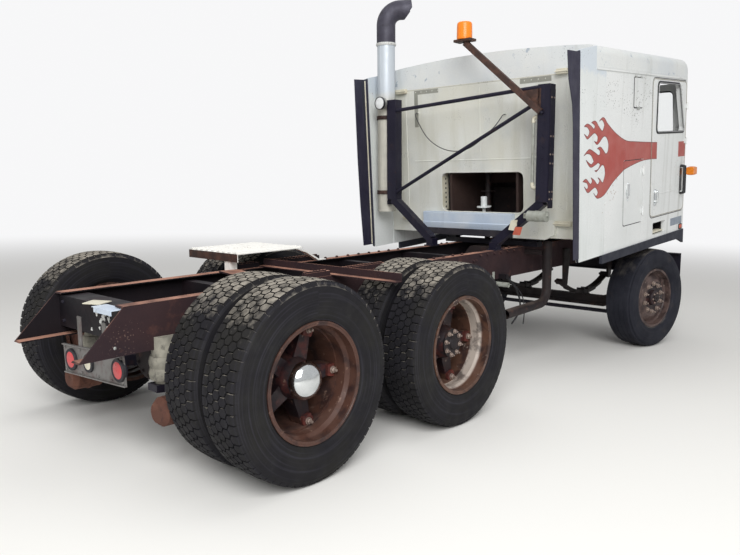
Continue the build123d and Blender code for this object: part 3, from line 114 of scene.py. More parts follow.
ON_CAB = Seat(Datum.CAB)
ON_RAIL = Seat(Datum.RAIL)


# Finishes


def linear(colour: str) -> Quad:
    """An sRGB hex colour as Blender's linear colour, with full alpha.

    Args:
        colour: six hex digits after a hash.

    Returns:
        Linear red, green, blue and alpha.
    """
    srgb = [int(colour[i:i + 2], 16) / 255 for i in (1, 3, 5)]
    return tuple(c / 12.92 if c <= 0.04045 else ((c + 0.055) / 1.055) ** 2.4 for c in srgb) + (1.0,)


def per_mm(size: float) -> float:
    """The texture scale on metre coordinates that gives a feature about that many millimetres."""
    return 1000.0 / size


def add_node(tree: bpy.types.NodeTree, kind: str, inputs: dict | None = None,
             **settings: object) -> bpy.types.Node:
    """Add a node, set its properties, and fill or link its inputs.

    Args:
        tree: the material's node tree.
        kind: Blender's name of the node type.
        inputs: socket name or number to a value or to another node's output.
        settings: properties of the node itself.

    Returns:
        The new node.
    """
    node = tree.nodes.new(kind)
    for key, value in settings.items():
        setattr(node, key, value)
    for key, value in (inputs or {}).items():
        if isinstance(value, bpy.types.NodeSocket):
            tree.links.new(value, node.inputs[key])
        else:
            node.inputs[key].default_value = value
    return node


def arithmetic(tree: bpy.types.NodeTree, operation: str, *values: object) -> bpy.types.NodeSocket:
    """The result of one step of arithmetic on numbers or sockets."""
    return add_node(tree, "ShaderNodeMath", dict(enumerate(values)), operation=operation).outputs[0]


class Pattern(Enum):
    """Ways in which a surface changes over the years, and masks for painted shade and light."""

    CLOUD = "soft patches"
    STREAK = "runs down a wall"
    SPECK = "small round chips, gathered in patches"
    DUST = "what settles on upward faces"
    RING = "scuffs round a tyre's wall"
    RADIUS = "everything further than a distance from an axle"
    # Painted shade: faces that look inwards, darkened where shade falls between the rails
    INWARD_SHADE = "faces that look towards the middle of the tractor"
    HEIGHT = "everything above a height, with a ragged edge"


@dataclass(frozen=True)
class Layer:
    """One coat of change: pattern, colour, feature size in mm, where it starts and is full, and its strength.

    A seed moves the pattern, rise strengthens it by that much a metre of height, a centre is an axle's x
    and z, and ragged is how far noise moves the edge of a height, in metres.
    """

    pattern: Pattern
    colour: str
    size: float
    low: float
    high: float
    amount: float = 1.0
    seed: float = 0.0
    rise: float = 0.0
    centre: Pair = (0.0, 0.0)
    ragged: float = 0.22

    def mask(self, tree: bpy.types.NodeTree, coords: bpy.types.NodeSocket) -> bpy.types.NodeSocket:
        """The layer's strength over the surface.

        Clouds are noise, streaks are noise stretched along Z, specks are a coarse noise less a cell distance,
        dust is the normal's Z times noise, rings are noise stretched round the tyre's own map, a radius is
        the distance from the axle in XZ, a height is Z plus a little noise, and inward shade, a painted
        shade, is the normal's Y times Y.

        Args:
            tree: the material's node tree.
            coords: the object coordinates.

        Returns:
            A socket from 0 to the layer's amount.
        """
        shift = (self.seed * 3.7, self.seed * 1.9, self.seed * 2.3)
        if self.pattern is Pattern.RING:
            surface = add_node(tree, "ShaderNodeTexCoord").outputs["UV"]
            vector = add_node(tree, "ShaderNodeMapping",
                              {"Vector": surface, "Location": shift, "Scale": (3, 40, 1)})
            scale = 1.0
        else:
            stretch = (1, 1, 0.05) if self.pattern is Pattern.STREAK else (1, 1, 1)
            vector = add_node(tree, "ShaderNodeMapping",
                              {"Vector": coords, "Location": shift, "Scale": stretch})
            scale = per_mm(self.size)
        kind = "ShaderNodeTexVoronoi" if self.pattern is Pattern.SPECK else "ShaderNodeTexNoise"
        wave = add_node(tree, kind, {"Vector": vector.outputs[0], "Scale": scale})
        if kind == "ShaderNodeTexNoise":
            wave.inputs["Detail"].default_value = 6.0
            wave.inputs["Roughness"].default_value = 0.6
        value = wave.outputs[0]
        if self.pattern is Pattern.SPECK:
            patch = add_node(tree, "ShaderNodeTexNoise", {"Vector": vector.outputs[0], "Scale": scale / 14})
            value = arithmetic(tree, "SUBTRACT", patch.outputs["Fac"], value)
        elif self.pattern is Pattern.DUST:
            normal = add_node(tree, "ShaderNodeNewGeometry").outputs["Normal"]
            up = add_node(tree, "ShaderNodeSeparateXYZ", {0: normal}).outputs["Z"]
            value = arithmetic(tree, "MULTIPLY", up, value)
        elif self.pattern is Pattern.RADIUS:
            centred = add_node(tree, "ShaderNodeMapping", {
                "Vector": coords, "Location": (-self.centre[0] / 1000 - AXLE_X, 0, -self.centre[1] / 1000),
                "Scale": (1, 0, 1)})
            value = add_node(tree, "ShaderNodeVectorMath", {0: centred.outputs[0]},
                             operation="LENGTH").outputs["Value"]
        elif self.pattern is Pattern.INWARD_SHADE:
            normal = add_node(tree, "ShaderNodeNewGeometry").outputs["Normal"]
            across = add_node(tree, "ShaderNodeSeparateXYZ", {0: normal}).outputs["Y"]
            place = add_node(tree, "ShaderNodeSeparateXYZ", {0: coords}).outputs["Y"]
            value = arithmetic(tree, "MULTIPLY", across, place)
        elif self.pattern is Pattern.HEIGHT:
            z = add_node(tree, "ShaderNodeSeparateXYZ", {0: coords}).outputs["Z"]
            value = arithmetic(tree, "MULTIPLY_ADD", value, self.ragged, z)
        if self.rise:
            z = add_node(tree, "ShaderNodeSeparateXYZ", {0: coords}).outputs["Z"]
            value = arithmetic(tree, "MULTIPLY_ADD", z, self.rise, value)
        return add_node(tree, "ShaderNodeMapRange", {
            "Value": value, "From Min": self.low, "From Max": self.high, "To Min": 0.0,
            "To Max": self.amount}).outputs[0]


@dataclass(frozen=True)
class Finish:
    """A weathered surface: its base colour, gloss, fine grain in mm, and the layers that the years put on it,
    with painted light and shade among them.

    The slot names the record's own slot for pieces in this finish; it is not used.
    """

    name: str
    base: str
    roughness: float = 0.5
    metallic: float = 0.0
    spread: float = 0.12
    grain: float = 3.0
    relief: float = 0.15
    layers: tuple[Layer, ...] = ()
    specular: float = 0.5
    slot: str = ""

    def material(self) -> bpy.types.Material:
        """The finish as a Blender material, made the first time it is asked for.

        Returns:
            The material.
        """
        found = bpy.data.materials.get(self.name)
        if found:
            return found
        made = bpy.data.materials.new(self.name)
        made.use_nodes = True
        self.paint(made.node_tree, made.node_tree.nodes["Principled BSDF"])
        return made

    def paint(self, tree: bpy.types.NodeTree, shader: bpy.types.Node) -> None:
        """Lay the coats over the base colour, then roughen and grain the whole.

        Args:
            tree: the material's node tree.
            shader: its principled shader.
        """
        coords = add_node(tree, "ShaderNodeTexCoord").outputs["Object"]
        fine = add_node(tree, "ShaderNodeTexNoise",
                        {"Vector": coords, "Scale": per_mm(self.grain), "Detail": 3.0}).outputs["Fac"]
        tone = add_node(tree, "ShaderNodeMapRange",
                        {"Value": fine, "From Min": 0.3, "From Max": 0.7, "To Min": 0.93, "To Max": 1.05})
        colour = add_node(tree, "ShaderNodeVectorMath", {0: linear(self.base)[:3], 1: tone.outputs[0]},
                          operation="MULTIPLY").outputs[0]
        for layer in self.layers:
            colour = add_node(tree, "ShaderNodeMix",
                              {0: layer.mask(tree, coords), 6: colour, 7: linear(layer.colour)},
                              data_type="RGBA").outputs[2]
        tree.links.new(colour, shader.inputs["Base Color"])
        shader.inputs["Metallic"].default_value = self.metallic
        shader.inputs["Specular IOR Level"].default_value = self.specular
        patchy = add_node(tree, "ShaderNodeTexNoise",
                          {"Vector": coords, "Scale": per_mm(self.grain * 30), "Detail": 5.0}).outputs["Fac"]
        gloss = add_node(tree, "ShaderNodeMapRange", {
            "Value": patchy, "From Min": 0.3, "From Max": 0.7,
            "To Min": max(self.roughness - self.spread, 0.03),
            "To Max": min(self.roughness + self.spread, 1.0)})
        tree.links.new(gloss.outputs[0], shader.inputs["Roughness"])
        bump = add_node(tree, "ShaderNodeBump",
                        {"Height": fine, "Strength": 0.6, "Distance": self.relief / 1000})
        tree.links.new(bump.outputs[0], shader.inputs["Normal"])


@dataclass(frozen=True)
class Clear(Finish):
    """A see-through finish, such as glass or a moulded lens, with fine ribs if asked."""

    see_through: float = 1.0
    ribs: float = 0.0

    def paint(self, tree: bpy.types.NodeTree, shader: bpy.types.Node) -> None:
        """Set the glass up, with dust that dulls it and ribs as a band wave of the given width.

        Args:
            tree: the material's node tree.
            shader: its principled shader.
        """
        super().paint(tree, shader)
        shader.inputs["Transmission Weight"].default_value = self.see_through
        shader.inputs["IOR"].default_value = 1.5
        if self.ribs:
            coords = add_node(tree, "ShaderNodeTexCoord").outputs["Object"]
            band = add_node(tree, "ShaderNodeTexWave", {"Vector": coords, "Scale": per_mm(self.ribs) / 20},
                            bands_direction="Z")
            bump = add_node(tree, "ShaderNodeBump",
                            {"Height": band.outputs["Fac"], "Strength": 0.8, "Distance": 0.002})
            tree.links.new(bump.outputs[0], shader.inputs["Normal"])


@dataclass(frozen=True)
class Woven(Finish):
    """Upholstery with a weave that follows the piece's own map, and a soft sheen."""

    thread: float = 4.0

    def paint(self, tree: bpy.types.NodeTree, shader: bpy.types.Node) -> None:
        """Cross two band waves on the map, a thread apart, for the weave's relief.

        Args:
            tree: the material's node tree.
            shader: its principled shader.
        """
        super().paint(tree, shader)
        surface = add_node(tree, "ShaderNodeTexCoord").outputs["UV"]
        waves = [add_node(tree, "ShaderNodeTexWave", {"Vector": surface, "Scale": per_mm(self.thread) / 20},
                          bands_direction=way).outputs["Fac"] for way in ("X", "Y")]
        height = arithmetic(tree, "MULTIPLY", *waves)
        bump = add_node(tree, "ShaderNodeBump", {"Height": height, "Strength": 0.5, "Distance": 0.001})
        tree.links.new(bump.outputs[0], shader.inputs["Normal"])
        shader.inputs["Sheen Weight"].default_value = 0.3


CLOUD, STREAK, SPECK, DUST = Pattern.CLOUD, Pattern.STREAK, Pattern.SPECK, Pattern.DUST
RING, RADIUS, HEIGHT, INWARD_SHADE = Pattern.RING, Pattern.RADIUS, Pattern.HEIGHT, Pattern.INWARD_SHADE

# Chalked white enamel: off-white, with grey runs, dark specks of lost paint and a few rust freckles
WHITE = Finish("chalked_white_enamel", "#e6e8e7", 0.42, grain=6, relief=0.05, layers=(
    Layer(CLOUD, "#d9dcdb", 900, 0.42, 0.68, 0.75), Layer(STREAK, "#a9aaa3", 110, 0.53, 0.76, 0.55),
    Layer(CLOUD, "#c2c2b9", 160, 0.60, 0.80, 0.35, 1),
    Layer(SPECK, "#605c57", 24, 0.74, 0.81, 0.75, rise=0.15),
    Layer(SPECK, "#8a5f45", 40, 0.50, 0.56, 0.6, 2)), slot="white_paint")
# The same enamel on the roof, where sun and rain have lifted it from a blue-grey primer
ROOF_WHITE = Finish("flaking_roof_enamel", "#e1e3e1", 0.5, grain=6, relief=0.08, layers=(
    Layer(CLOUD, "#d0d6da", 700, 0.40, 0.66, 0.8), Layer(CLOUD, "#8e9dae", 90, 0.64, 0.69, 0.7, 3),
    Layer(SPECK, "#5c5f64", 18, 0.44, 0.52, 0.75), Layer(STREAK, "#b4b4ab", 150, 0.56, 0.78, 0.5)),
                    slot="white_paint")
# The back wall: yellowed where the exhaust warmed it, washed with long faint runs
WALL_WHITE = Finish("weathered_wall_enamel", "#e2e3dd", 0.5, grain=6, relief=0.05, layers=(
    Layer(CLOUD, "#d8d6c6", 800, 0.40, 0.66, 0.7, 4), Layer(STREAK, "#c4c2b0", 150, 0.48, 0.74, 0.55),
    Layer(CLOUD, "#c3c9cb", 420, 0.54, 0.74, 0.5, 5), Layer(SPECK, "#4c4946", 12, 0.46, 0.52, 0.75)),
                    slot="white_paint")
# Faded red enamel of the flames and stripe
RED = Finish("faded_red_enamel", "#a84a43", 0.5, grain=5, relief=0.05, layers=(
    Layer(CLOUD, "#b0625a", 260, 0.40, 0.66, 0.8), Layer(STREAK, "#a05852", 70, 0.50, 0.72, 0.5),
    Layer(SPECK, "#55332d", 14, 0.44, 0.50, 0.7)), slot="red_paint")
# Dark line painted round the flames
PINLINE = Finish("dark_pinline_paint", "#74393a", 0.5,
                 layers=(Layer(CLOUD, "#8a4a48", 120, 0.4, 0.7, 0.7),), slot="red_paint")
# Rolled channel that has lost most of its red-brown paint to rust, with painted shade on the faces that look
# inwards
OXIDE = Finish("rusted_channel_paint", "#38282a", 0.8, grain=4, relief=0.3, layers=(
    Layer(CLOUD, "#2a2126", 420, 0.42, 0.66, 0.85), Layer(CLOUD, "#5b3d36", 120, 0.60, 0.74, 0.6, 1),
    # Painted shade on the faces that look inwards
    Layer(SPECK, "#8f776c", 14, 0.46, 0.52, 0.35, 2), Layer(INWARD_SHADE, "#131015", 200, -0.05, -0.30, 0.9),
    # Pale pink on upward faces: dust, and partly a painted highlight
    Layer(DUST, "#b48673", 260, 0.28, 0.55, 0.95)), specular=0.2, slot="frame_paint")
# Black chassis enamel, bluish where the sky is in it, brown where rust comes through
BLACK = Finish("worn_black_chassis_enamel", "#191722", 0.5, grain=4, relief=0.15, layers=(
    Layer(CLOUD, "#24212c", 380, 0.42, 0.66, 0.8), Layer(CLOUD, "#3b2828", 110, 0.62, 0.74, 0.6, 1),
    Layer(STREAK, "#2c2a34", 60, 0.54, 0.76, 0.5), Layer(DUST, "#4b484b", 300, 0.38, 0.65, 0.4)),
               specular=0.3, slot="black_metal")
# Castings under old oil and road dirt
IRON = Finish("oily_cast_iron", "#2c2424", 0.62, grain=3, relief=0.4, layers=(
    Layer(CLOUD, "#1c181b", 240, 0.42, 0.62, 0.85), Layer(CLOUD, "#523730", 90, 0.58, 0.72, 0.7, 1),
    Layer(DUST, "#6a5f58", 220, 0.32, 0.62, 0.55)), specular=0.3, slot="bare_iron")
# Pressed steel rusted through: red-brown, darker where it holds oil
RUST = Finish("open_rust", "#5a3d34", 0.85, grain=3, relief=0.4, layers=(
    Layer(CLOUD, "#745043", 140, 0.44, 0.66, 0.8), Layer(CLOUD, "#3b2b2a", 60, 0.55, 0.68, 0.8, 1)),
              specular=0.2)
# Chrome gone slightly dull, with pinhead pits
CHROME = Finish("pitted_chrome", "#d9dcdd", 0.14, 1.0, 0.08, 5, 0.05, layers=(
    Layer(SPECK, "#6d5a4c", 9, 0.44, 0.50, 0.5), Layer(CLOUD, "#b9bec0", 90, 0.45, 0.7, 0.6)), slot="chrome")
# Aluminised steel tube, dulled and streaked with rust below
STACK = Finish("aluminised_tube", "#cfccc0", 0.45, 0.2, 0.12, 3, 0.1, layers=(
    Layer(CLOUD, "#b4b2a8", 260, 0.42, 0.66, 0.7), Layer(STREAK, "#9a928a", 40, 0.56, 0.76, 0.6),
    Layer(CLOUD, "#7d5b49", 70, 0.68, 0.76, 0.6, 2), Layer(HEIGHT, "#c4cfdc", 300, 2.50, 2.62, 0.75)),
               slot="bare_iron")
# Bare sheet: a dull silver sheen, gone grey and black where dirt sits
ALUMINIUM = Finish("dusty_sheet_aluminium", "#b9bab6", 0.45, 0.7, 0.12, 3, 0.1, layers=(
    Layer(CLOUD, "#8f8f8b", 120, 0.45, 0.68, 0.7), Layer(CLOUD, "#4d4a47", 50, 0.62, 0.72, 0.7, 3)),
                   slot="aluminium")
# Bent tube smoked by the exhaust: dark slate with paler wiped patches
ELBOW = Finish("smoked_steel_elbow", "#3f3d49", 0.55, 0.3, layers=(
    Layer(CLOUD, "#54535f", 150, 0.45, 0.66, 0.8), Layer(CLOUD, "#2b2930", 80, 0.55, 0.7, 0.8, 1)))
# Ribbed plate bleached nearly white, with pinpoints of rust
DECK = Finish("sun_bleached_deck_plate", "#efeee9", 0.7, layers=(
    Layer(CLOUD, "#dcd6cc", 120, 0.55, 0.72, 0.6), Layer(SPECK, "#8a6c5c", 22, 0.44, 0.50, 0.5)), slot="deck")
# Extruded rubber, greyed by sun and dust; the pale grey on upward faces is dust and partly a painted
# highlight
RUBBER = Finish("sunned_rubber", "#292b35", 0.7, grain=3, relief=0.15, layers=(
    Layer(CLOUD, "#33353f", 260, 0.42, 0.68, 0.8), Layer(DUST, "#6a6c74", 200, 0.25, 0.55, 0.8)),
                specular=0.3)
# Extruded rubber: near black, a little dusty
GASKET = Finish("window_gasket_rubber", "#1d1d21", 0.6,
                layers=(Layer(CLOUD, "#35353a", 60, 0.45, 0.7, 0.6),), slot="rubber")
# Moulded tyre rubber: near black walls with faint rings, and dust and a painted highlight that lighten the
# top of the tread
TYRE_REAR = Finish("weathered_tyre_rubber", "#19181c", 0.75, grain=3, relief=0.25, layers=(
    Layer(CLOUD, "#23221f", 300, 0.42, 0.64, 0.7), Layer(RING, "#33323a", 1, 0.50, 0.70, 0.7),
    Layer(CLOUD, "#30302f", 120, 0.60, 0.76, 0.4, 2),
    Layer(DUST, "#a39c90", 60, 0.62, 0.90, 0.85, rise=0.35)), specular=0.2, slot="tyre")
# The same rubber gone blue-grey, with brown mud dried on it
TYRE_FRONT = Finish("greyed_tyre_rubber", "#1d1e26", 0.78, grain=3, relief=0.25, layers=(
    Layer(CLOUD, "#292a32", 300, 0.42, 0.64, 0.8), Layer(RING, "#35353c", 1, 0.52, 0.72, 0.6),
    Layer(CLOUD, "#433d38", 150, 0.60, 0.76, 0.4, 2), Layer(DUST, "#8a847c", 160, 0.28, 0.58, 0.6)),
                    specular=0.2, slot="tyre")
# Moulded polycarbonate: a flat bright orange
BEACON = Clear("orange_beacon_lens", "#ff8a1c", 0.3, see_through=0.0, slot="lens_amber")
# Moulded acrylic: amber, ribbed 9 mm apart
AMBER = Clear("amber_moulded_lens", "#f08a22", 0.25, see_through=0.12, ribs=9.0, slot="lens_amber")
# Moulded acrylic faded to a pinkish red, ribbed 7 mm apart
LAMP_RED = Clear("red_moulded_lens", "#c94345", 0.35, see_through=0.0, ribs=7.0, slot="lens_red")
# Pressed lamp glass, clear and ribbed 8 mm apart
LAMP_CLEAR = Clear("clear_lamp_lens", "#e6e9e6", 0.12, see_through=0.9, ribs=8.0, slot="glass")
# Pressed glass over a white reflector, so that it looks frosted
LAMP_WHITE = Clear("frosted_lamp_lens", "#f1f3f3", 0.2, see_through=0.1, ribs=8.0, slot="glass")
# Float glass with hardly any tint
GLASS = Clear("dusty_windscreen_glass", "#fbfdfc", 0.04, spread=0.02, see_through=1.0)
# Woven cotton ticking: beige-grey and stained
TICKING = Woven("mattress_ticking", "#7d766a", 0.85, layers=(Layer(CLOUD, "#5c554c", 240, 0.45, 0.7, 0.7),),
                slot="vinyl")
# Woven seat cloth: dark and worn
SEAT_CLOTH = Woven("worn_seat_cloth", "#4a4346", 0.85,
                   layers=(Layer(CLOUD, "#2f2a2d", 160, 0.45, 0.7, 0.8),), slot="vinyl")
# Brown paint brushed on plywood
BOARD = Finish("brown_painted_board", "#4b2f28", 0.7,
               layers=(Layer(CLOUD, "#5f4034", 300, 0.45, 0.7, 0.7),), slot="board")
# Padded vinyl liner, brown and matt
LINER = Finish("padded_cab_liner", "#3d2c27", 0.75, layers=(Layer(CLOUD, "#2f2220", 400, 0.42, 0.7, 0.7),))
# Moulded ABS with a fine grain, greyed by dust on top
PLASTIC = Finish("grained_black_plastic", "#1e1e20", 0.5, grain=1.5, relief=0.1, layers=(
    Layer(DUST, "#5d5a55", 160, 0.3, 0.6, 0.5), Layer(CLOUD, "#29292c", 80, 0.45, 0.7, 0.6)),
                 slot="dark_plastic")
# Reflecting tape faded to salmon
ORANGE_CARD = Finish("faded_reflector_tape", "#c0604a", 0.5,
                     layers=(Layer(CLOUD, "#a6503f", 60, 0.45, 0.7, 0.8),), slot="lens_amber")
# Zinc plate: soft silver with grey patches
PALE_METAL = Finish("zinc_plated_steel", "#b9bcb8", 0.4, 0.6,
                    layers=(Layer(CLOUD, "#8f8a80", 50, 0.5, 0.7, 0.8),), slot="aluminium")
# Sprayed tank paint: dull warm grey
CANISTER = Finish("dull_grey_tank_paint", "#a3a69e", 0.55, layers=(
    Layer(CLOUD, "#85867c", 90, 0.45, 0.7, 0.8), Layer(CLOUD, "#6b6250", 40, 0.6, 0.72, 0.7, 1)),
                  slot="aluminium")
# Primer laid bare: flat grey
PATCH_GREY = Finish("bare_primer_patch", "#9c9c92", 0.65,
                    layers=(Layer(CLOUD, "#85867e", 80, 0.45, 0.7, 0.7),), slot="aluminium")
# Anodised plate: flat blue-grey
PLATE_GREY = Finish("blank_grey_plate", "#8f98a3", 0.5,
                    layers=(Layer(CLOUD, "#7b8390", 60, 0.45, 0.7, 0.8),), slot="aluminium")

# The fairings' panels: the cab's white, with clusters of dark chips along the top, and a painted sky
# reflection in a pale blue band along the top edge
FAIRING = Finish("chipped_fairing_enamel", "#e2e5e4", 0.45, grain=6, relief=0.06, layers=(
    Layer(CLOUD, "#d4d9d7", 800, 0.42, 0.68, 0.75, 2), Layer(STREAK, "#adb0a9", 110, 0.54, 0.76, 0.5, 1),
    # Painted sky reflection: a pale blue band along the top
    Layer(HEIGHT, "#c3ceda", 60, 2.60, 2.66, 0.6),
    Layer(SPECK, "#63666b", 24, 0.70, 0.76, 0.75, 3, rise=0.13),
    Layer(SPECK, "#8a5f45", 40, 0.50, 0.56, 0.5, 2)))
# Thin aluminium plate that rust from its bolts has stained
LAMP_PANEL = Finish("stained_aluminium_panel", "#7a7876", 0.5, 0.35, 0.12, 3, 0.1, layers=(
    Layer(CLOUD, "#6d5f5d", 90, 0.48, 0.66, 0.8), Layer(CLOUD, "#4a3431", 60, 0.60, 0.70, 0.8, 1)),
                    slot="aluminium")
# Red oxide primer on cast iron: dark red-brown, oily in places
CLAMP = Finish("oxide_painted_clamp", "#4c2521", 0.6, grain=3, relief=0.3, layers=(
    Layer(CLOUD, "#6b3129", 50, 0.45, 0.66, 0.8), Layer(CLOUD, "#241a1c", 40, 0.56, 0.70, 0.8, 1)),
               specular=0.4, slot="bare_iron")
# Steel nuts: grey-brown rust with bright edges
NUT = Finish("rusted_nut_steel", "#8a7a72", 0.5, 0.3, 0.12, 3, 0.2, layers=(
    Layer(CLOUD, "#a8988c", 30, 0.45, 0.66, 0.8), Layer(CLOUD, "#4a3a38", 25, 0.60, 0.72, 0.6, 1)),
             slot="bare_iron")
# Vinyl-sheathed wire, dulled by dust
CABLE = Finish("grey_wire_sheath", "#3a3a3c", 0.55, grain=2,
               layers=(Layer(CLOUD, "#56565a", 60, 0.45, 0.7, 0.7),))
# Extruded rubber hose: black, a little dusty
HOSE = Finish("black_air_hose", "#1c1b1f", 0.6, grain=2,
              layers=(Layer(CLOUD, "#35343a", 50, 0.45, 0.7, 0.7),))
# Brushed cream enamel, stained brown where it drips
CREAM = Finish("cream_painted_steel", "#dcd7c4", 0.5, layers=(
    Layer(CLOUD, "#c4bda6", 80, 0.45, 0.68, 0.8), Layer(CLOUD, "#8a7860", 40, 0.66, 0.74, 0.6, 1)),
               slot="aluminium")
# White enamel of the sill and the tail box's folded cover, streaked and stained, with a painted bluish sky
# reflection
SKY_TINTED_WHITE = Finish("white_enamel_painted_sky_reflection", "#bccadc", 0.5, grain=6, relief=0.05, layers=(
    Layer(CLOUD, "#d2dae2", 260, 0.42, 0.66, 0.8), Layer(STREAK, "#97a3b2", 70, 0.56, 0.76, 0.6),
    Layer(CLOUD, "#7c7875", 60, 0.66, 0.74, 0.6, 2)), slot="white_paint")
# Steel rusted to an even dark brown
BROWN_METAL = Finish("brown_rusted_lamp_base", "#38251f", 0.65, grain=3, relief=0.3, layers=(
    Layer(CLOUD, "#5c3d31", 60, 0.45, 0.66, 0.8), Layer(CLOUD, "#241d1e", 40, 0.56, 0.70, 0.7, 1)),
                     slot="black_metal")
# Rust that has eaten the clamp bands' plating
CLAMP_BAND = Finish("rusted_clamp_band", "#3b2a26", 0.7, 0.1, grain=3, relief=0.3, layers=(
    Layer(CLOUD, "#5c4238", 60, 0.45, 0.66, 0.8),), slot="bare_iron")
# Rack enamel: black that the sky turns navy
RACK_NAVY = Finish("worn_navy_rack_enamel", "#141224", 0.5, grain=4, relief=0.15, layers=(
    Layer(CLOUD, "#1f1c2d", 380, 0.42, 0.66, 0.8), Layer(CLOUD, "#2e2225", 110, 0.58, 0.70, 0.7, 1),
    Layer(STREAK, "#2c2938", 60, 0.54, 0.76, 0.5), Layer(DUST, "#45424b", 300, 0.40, 0.66, 0.3)),
                   specular=0.3, slot="black_metal")
# Sun-aged black rubber of the fairings' long flaps, with a painted indigo sky reflection
FLAP = Finish("flap_rubber_painted_indigo_reflection", "#211f33", 0.55, grain=3, relief=0.15, layers=(
    Layer(CLOUD, "#2c2a3e", 300, 0.42, 0.66, 0.8), Layer(STREAK, "#3d3b4c", 60, 0.56, 0.76, 0.6)),
              slot="rubber")
# Rubber seal that has gone pale with dust and old wax
DOOR_SEAL = Finish("dusty_door_seal", "#8f8a7e", 0.7, layers=(
    Layer(CLOUD, "#b1ab9c", 60, 0.42, 0.66, 0.8), Layer(CLOUD, "#4a4642", 40, 0.58, 0.70, 0.8, 1)),
                   slot="rubber")
# Underbody tar brushed along the wall's foot
TAR = Finish("brushed_underbody_tar", "#25222a", 0.8, grain=4, relief=0.4, layers=(
    Layer(CLOUD, "#3a3538", 90, 0.48, 0.68, 0.8), Layer(CLOUD, "#8b8f94", 50, 0.66, 0.74, 0.5, 1)),
             slot="black_metal")
# Crossmember paint, black and hardly rusted
BOX_BLACK = Finish("black_crossmember_paint", "#141116", 0.6, grain=4, relief=0.2, layers=(
    Layer(CLOUD, "#241b1f", 200, 0.45, 0.68, 0.8), Layer(DUST, "#3b3338", 260, 0.42, 0.68, 0.5)),
                   specular=0.25)
# White paint flaking off, with grey showing through
FLAKE = Finish("flaked_white_paint", "#d2d3d0", 0.6, layers=(Layer(CLOUD, "#8d8b88", 20, 0.52, 0.66, 0.7),),
               slot="white_paint")
# Sealant smeared by hand: off-white, speckled with dirt
SEALANT = Finish("dirty_seam_sealant", "#cfcdc2", 0.6,
                 layers=(Layer(SPECK, "#4c4843", 10, 0.30, 0.38, 0.9),), slot="white_paint")
# Moulded bellows rubber under cream dust
SPRING_CREAM = Finish("cream_dusted_rubber", "#7f7c72", 0.7, grain=3, relief=0.2, layers=(
    Layer(CLOUD, "#a5a193", 90, 0.42, 0.66, 0.7), Layer(CLOUD, "#3d3a38", 60, 0.56, 0.70, 0.8, 1)),
                      specular=0.3, slot="rubber")
# Dipped vinyl: smooth black
GRIP = Finish("black_dipped_grip", "#19191c", 0.45, grain=2,
              layers=(Layer(CLOUD, "#2b2b2f", 50, 0.45, 0.7, 0.7),), slot="rubber")
# Brushed stainless strip: soft silver
STEEL_TRIM = Finish("brushed_steel_trim", "#c9cbcb", 0.35, 0.7,
                    layers=(Layer(CLOUD, "#a5a6a5", 80, 0.45, 0.7, 0.7),), slot="chrome")


def wheel_finish(name: str, rim: str, rim_low: str, centre: Pair, from_radius: float,
                 ring: float = 0.0) -> Finish:
    """Rusted rim round a dark greasy hub, parted by the distance from the axle.

    Args:
        name: the material's name.
        rim: colour of the rim.
        rim_low: colour of the pale deposit on it.
        centre: x and z of the axle, in mm.
        from_radius: where the rim starts, in mm.
        ring: radius in mm of a pale ring worn into the rim, if it has one.

    Returns:
        The finish.
    """
    start, worn = from_radius / 1000, ring / 1000
    pale = () if not ring else (Layer(RADIUS, "#b9aea4", 40, worn, worn + 0.003, 0.85, centre=centre),
                                Layer(RADIUS, rim, 40, worn + 0.012, worn + 0.018, centre=centre))
    return Finish(name, "#2a2024", 0.5, spread=0.2, grain=3, relief=0.4, layers=(
        Layer(CLOUD, "#1a161b", 130, 0.42, 0.60, 0.85), Layer(CLOUD, "#552a26", 80, 0.50, 0.64, 0.8, 1),
        Layer(RADIUS, rim, 40, start, start + 0.012, centre=centre), *pale,
        Layer(CLOUD, "#241a1c", 110, 0.47, 0.60, 0.75, 6),
        Layer(CLOUD, rim_low, 45, 0.62, 0.70, 0.6, 4), Layer(DUST, "#6b554c", 90, 0.32, 0.66, 0.35)),
                  specular=0.35, slot="wheel_paint")


# Castings and rolled rims: dark grease at the hub, red-brown rust on the rim
WHEEL_REAR = wheel_finish("rusted_wheel_rear", "#4f352c", "#8d7264", (0, REAR_Z), 228)
WHEEL_MID = wheel_finish("rusted_wheel_middle", "#5a4034", "#b3a296", (TANDEM, REAR_Z), 228, 283)
WHEEL_FRONT = wheel_finish("rusted_wheel_front", "#5a4a46", "#8e7f76", (FRONT_X, FRONT_Z), 150)


# Shapes


@dataclass
class Shape:
    """Points in mm with the faces on them, and a map value for each point if the finish needs one."""

    points: np.ndarray
    faces: list[Sequence[int]]
    chart: np.ndarray | None = None

    def at(self, offset: Sequence[float]) -> "Shape":
        """The shape moved by an offset.

        Args:
            offset: how far it moves, in mm.

        Returns:
            The moved shape.
        """
        return Shape(self.points + np.asarray(offset, float), self.faces, self.chart)

    def turned(self, axis: str, degrees: float) -> "Shape":
        """The shape turned about an axis through its origin."""
        turn = np.array(Matrix.Rotation(math.radians(degrees), 3, axis))
        return Shape(self.points @ turn.T, self.faces, self.chart)

    def scaled(self, factors: Sequence[float]) -> "Shape":
        """The shape scaled along its axes."""
        return Shape(self.points * np.asarray(factors, float), self.faces, self.chart)


def join(shapes: Iterable[Shape]) -> Shape:
    """Put shapes into one, with each one's face numbers raised by the points before it.

    Args:
        shapes: the shapes to join.

    Returns:
        One shape. It keeps its chart only if every shape has one.
    """
    shapes = list(shapes)
    starts = np.cumsum([0] + [len(s.points) for s in shapes[:-1]])
    faces = [tuple(i + int(start) for i in face) for s, start in zip(shapes, starts) for face in s.faces]
    charts = [s.chart for s in shapes]
    chart = None if any(c is None for c in charts) else np.concatenate(charts)
    return Shape(np.concatenate([s.points for s in shapes]), faces, chart)


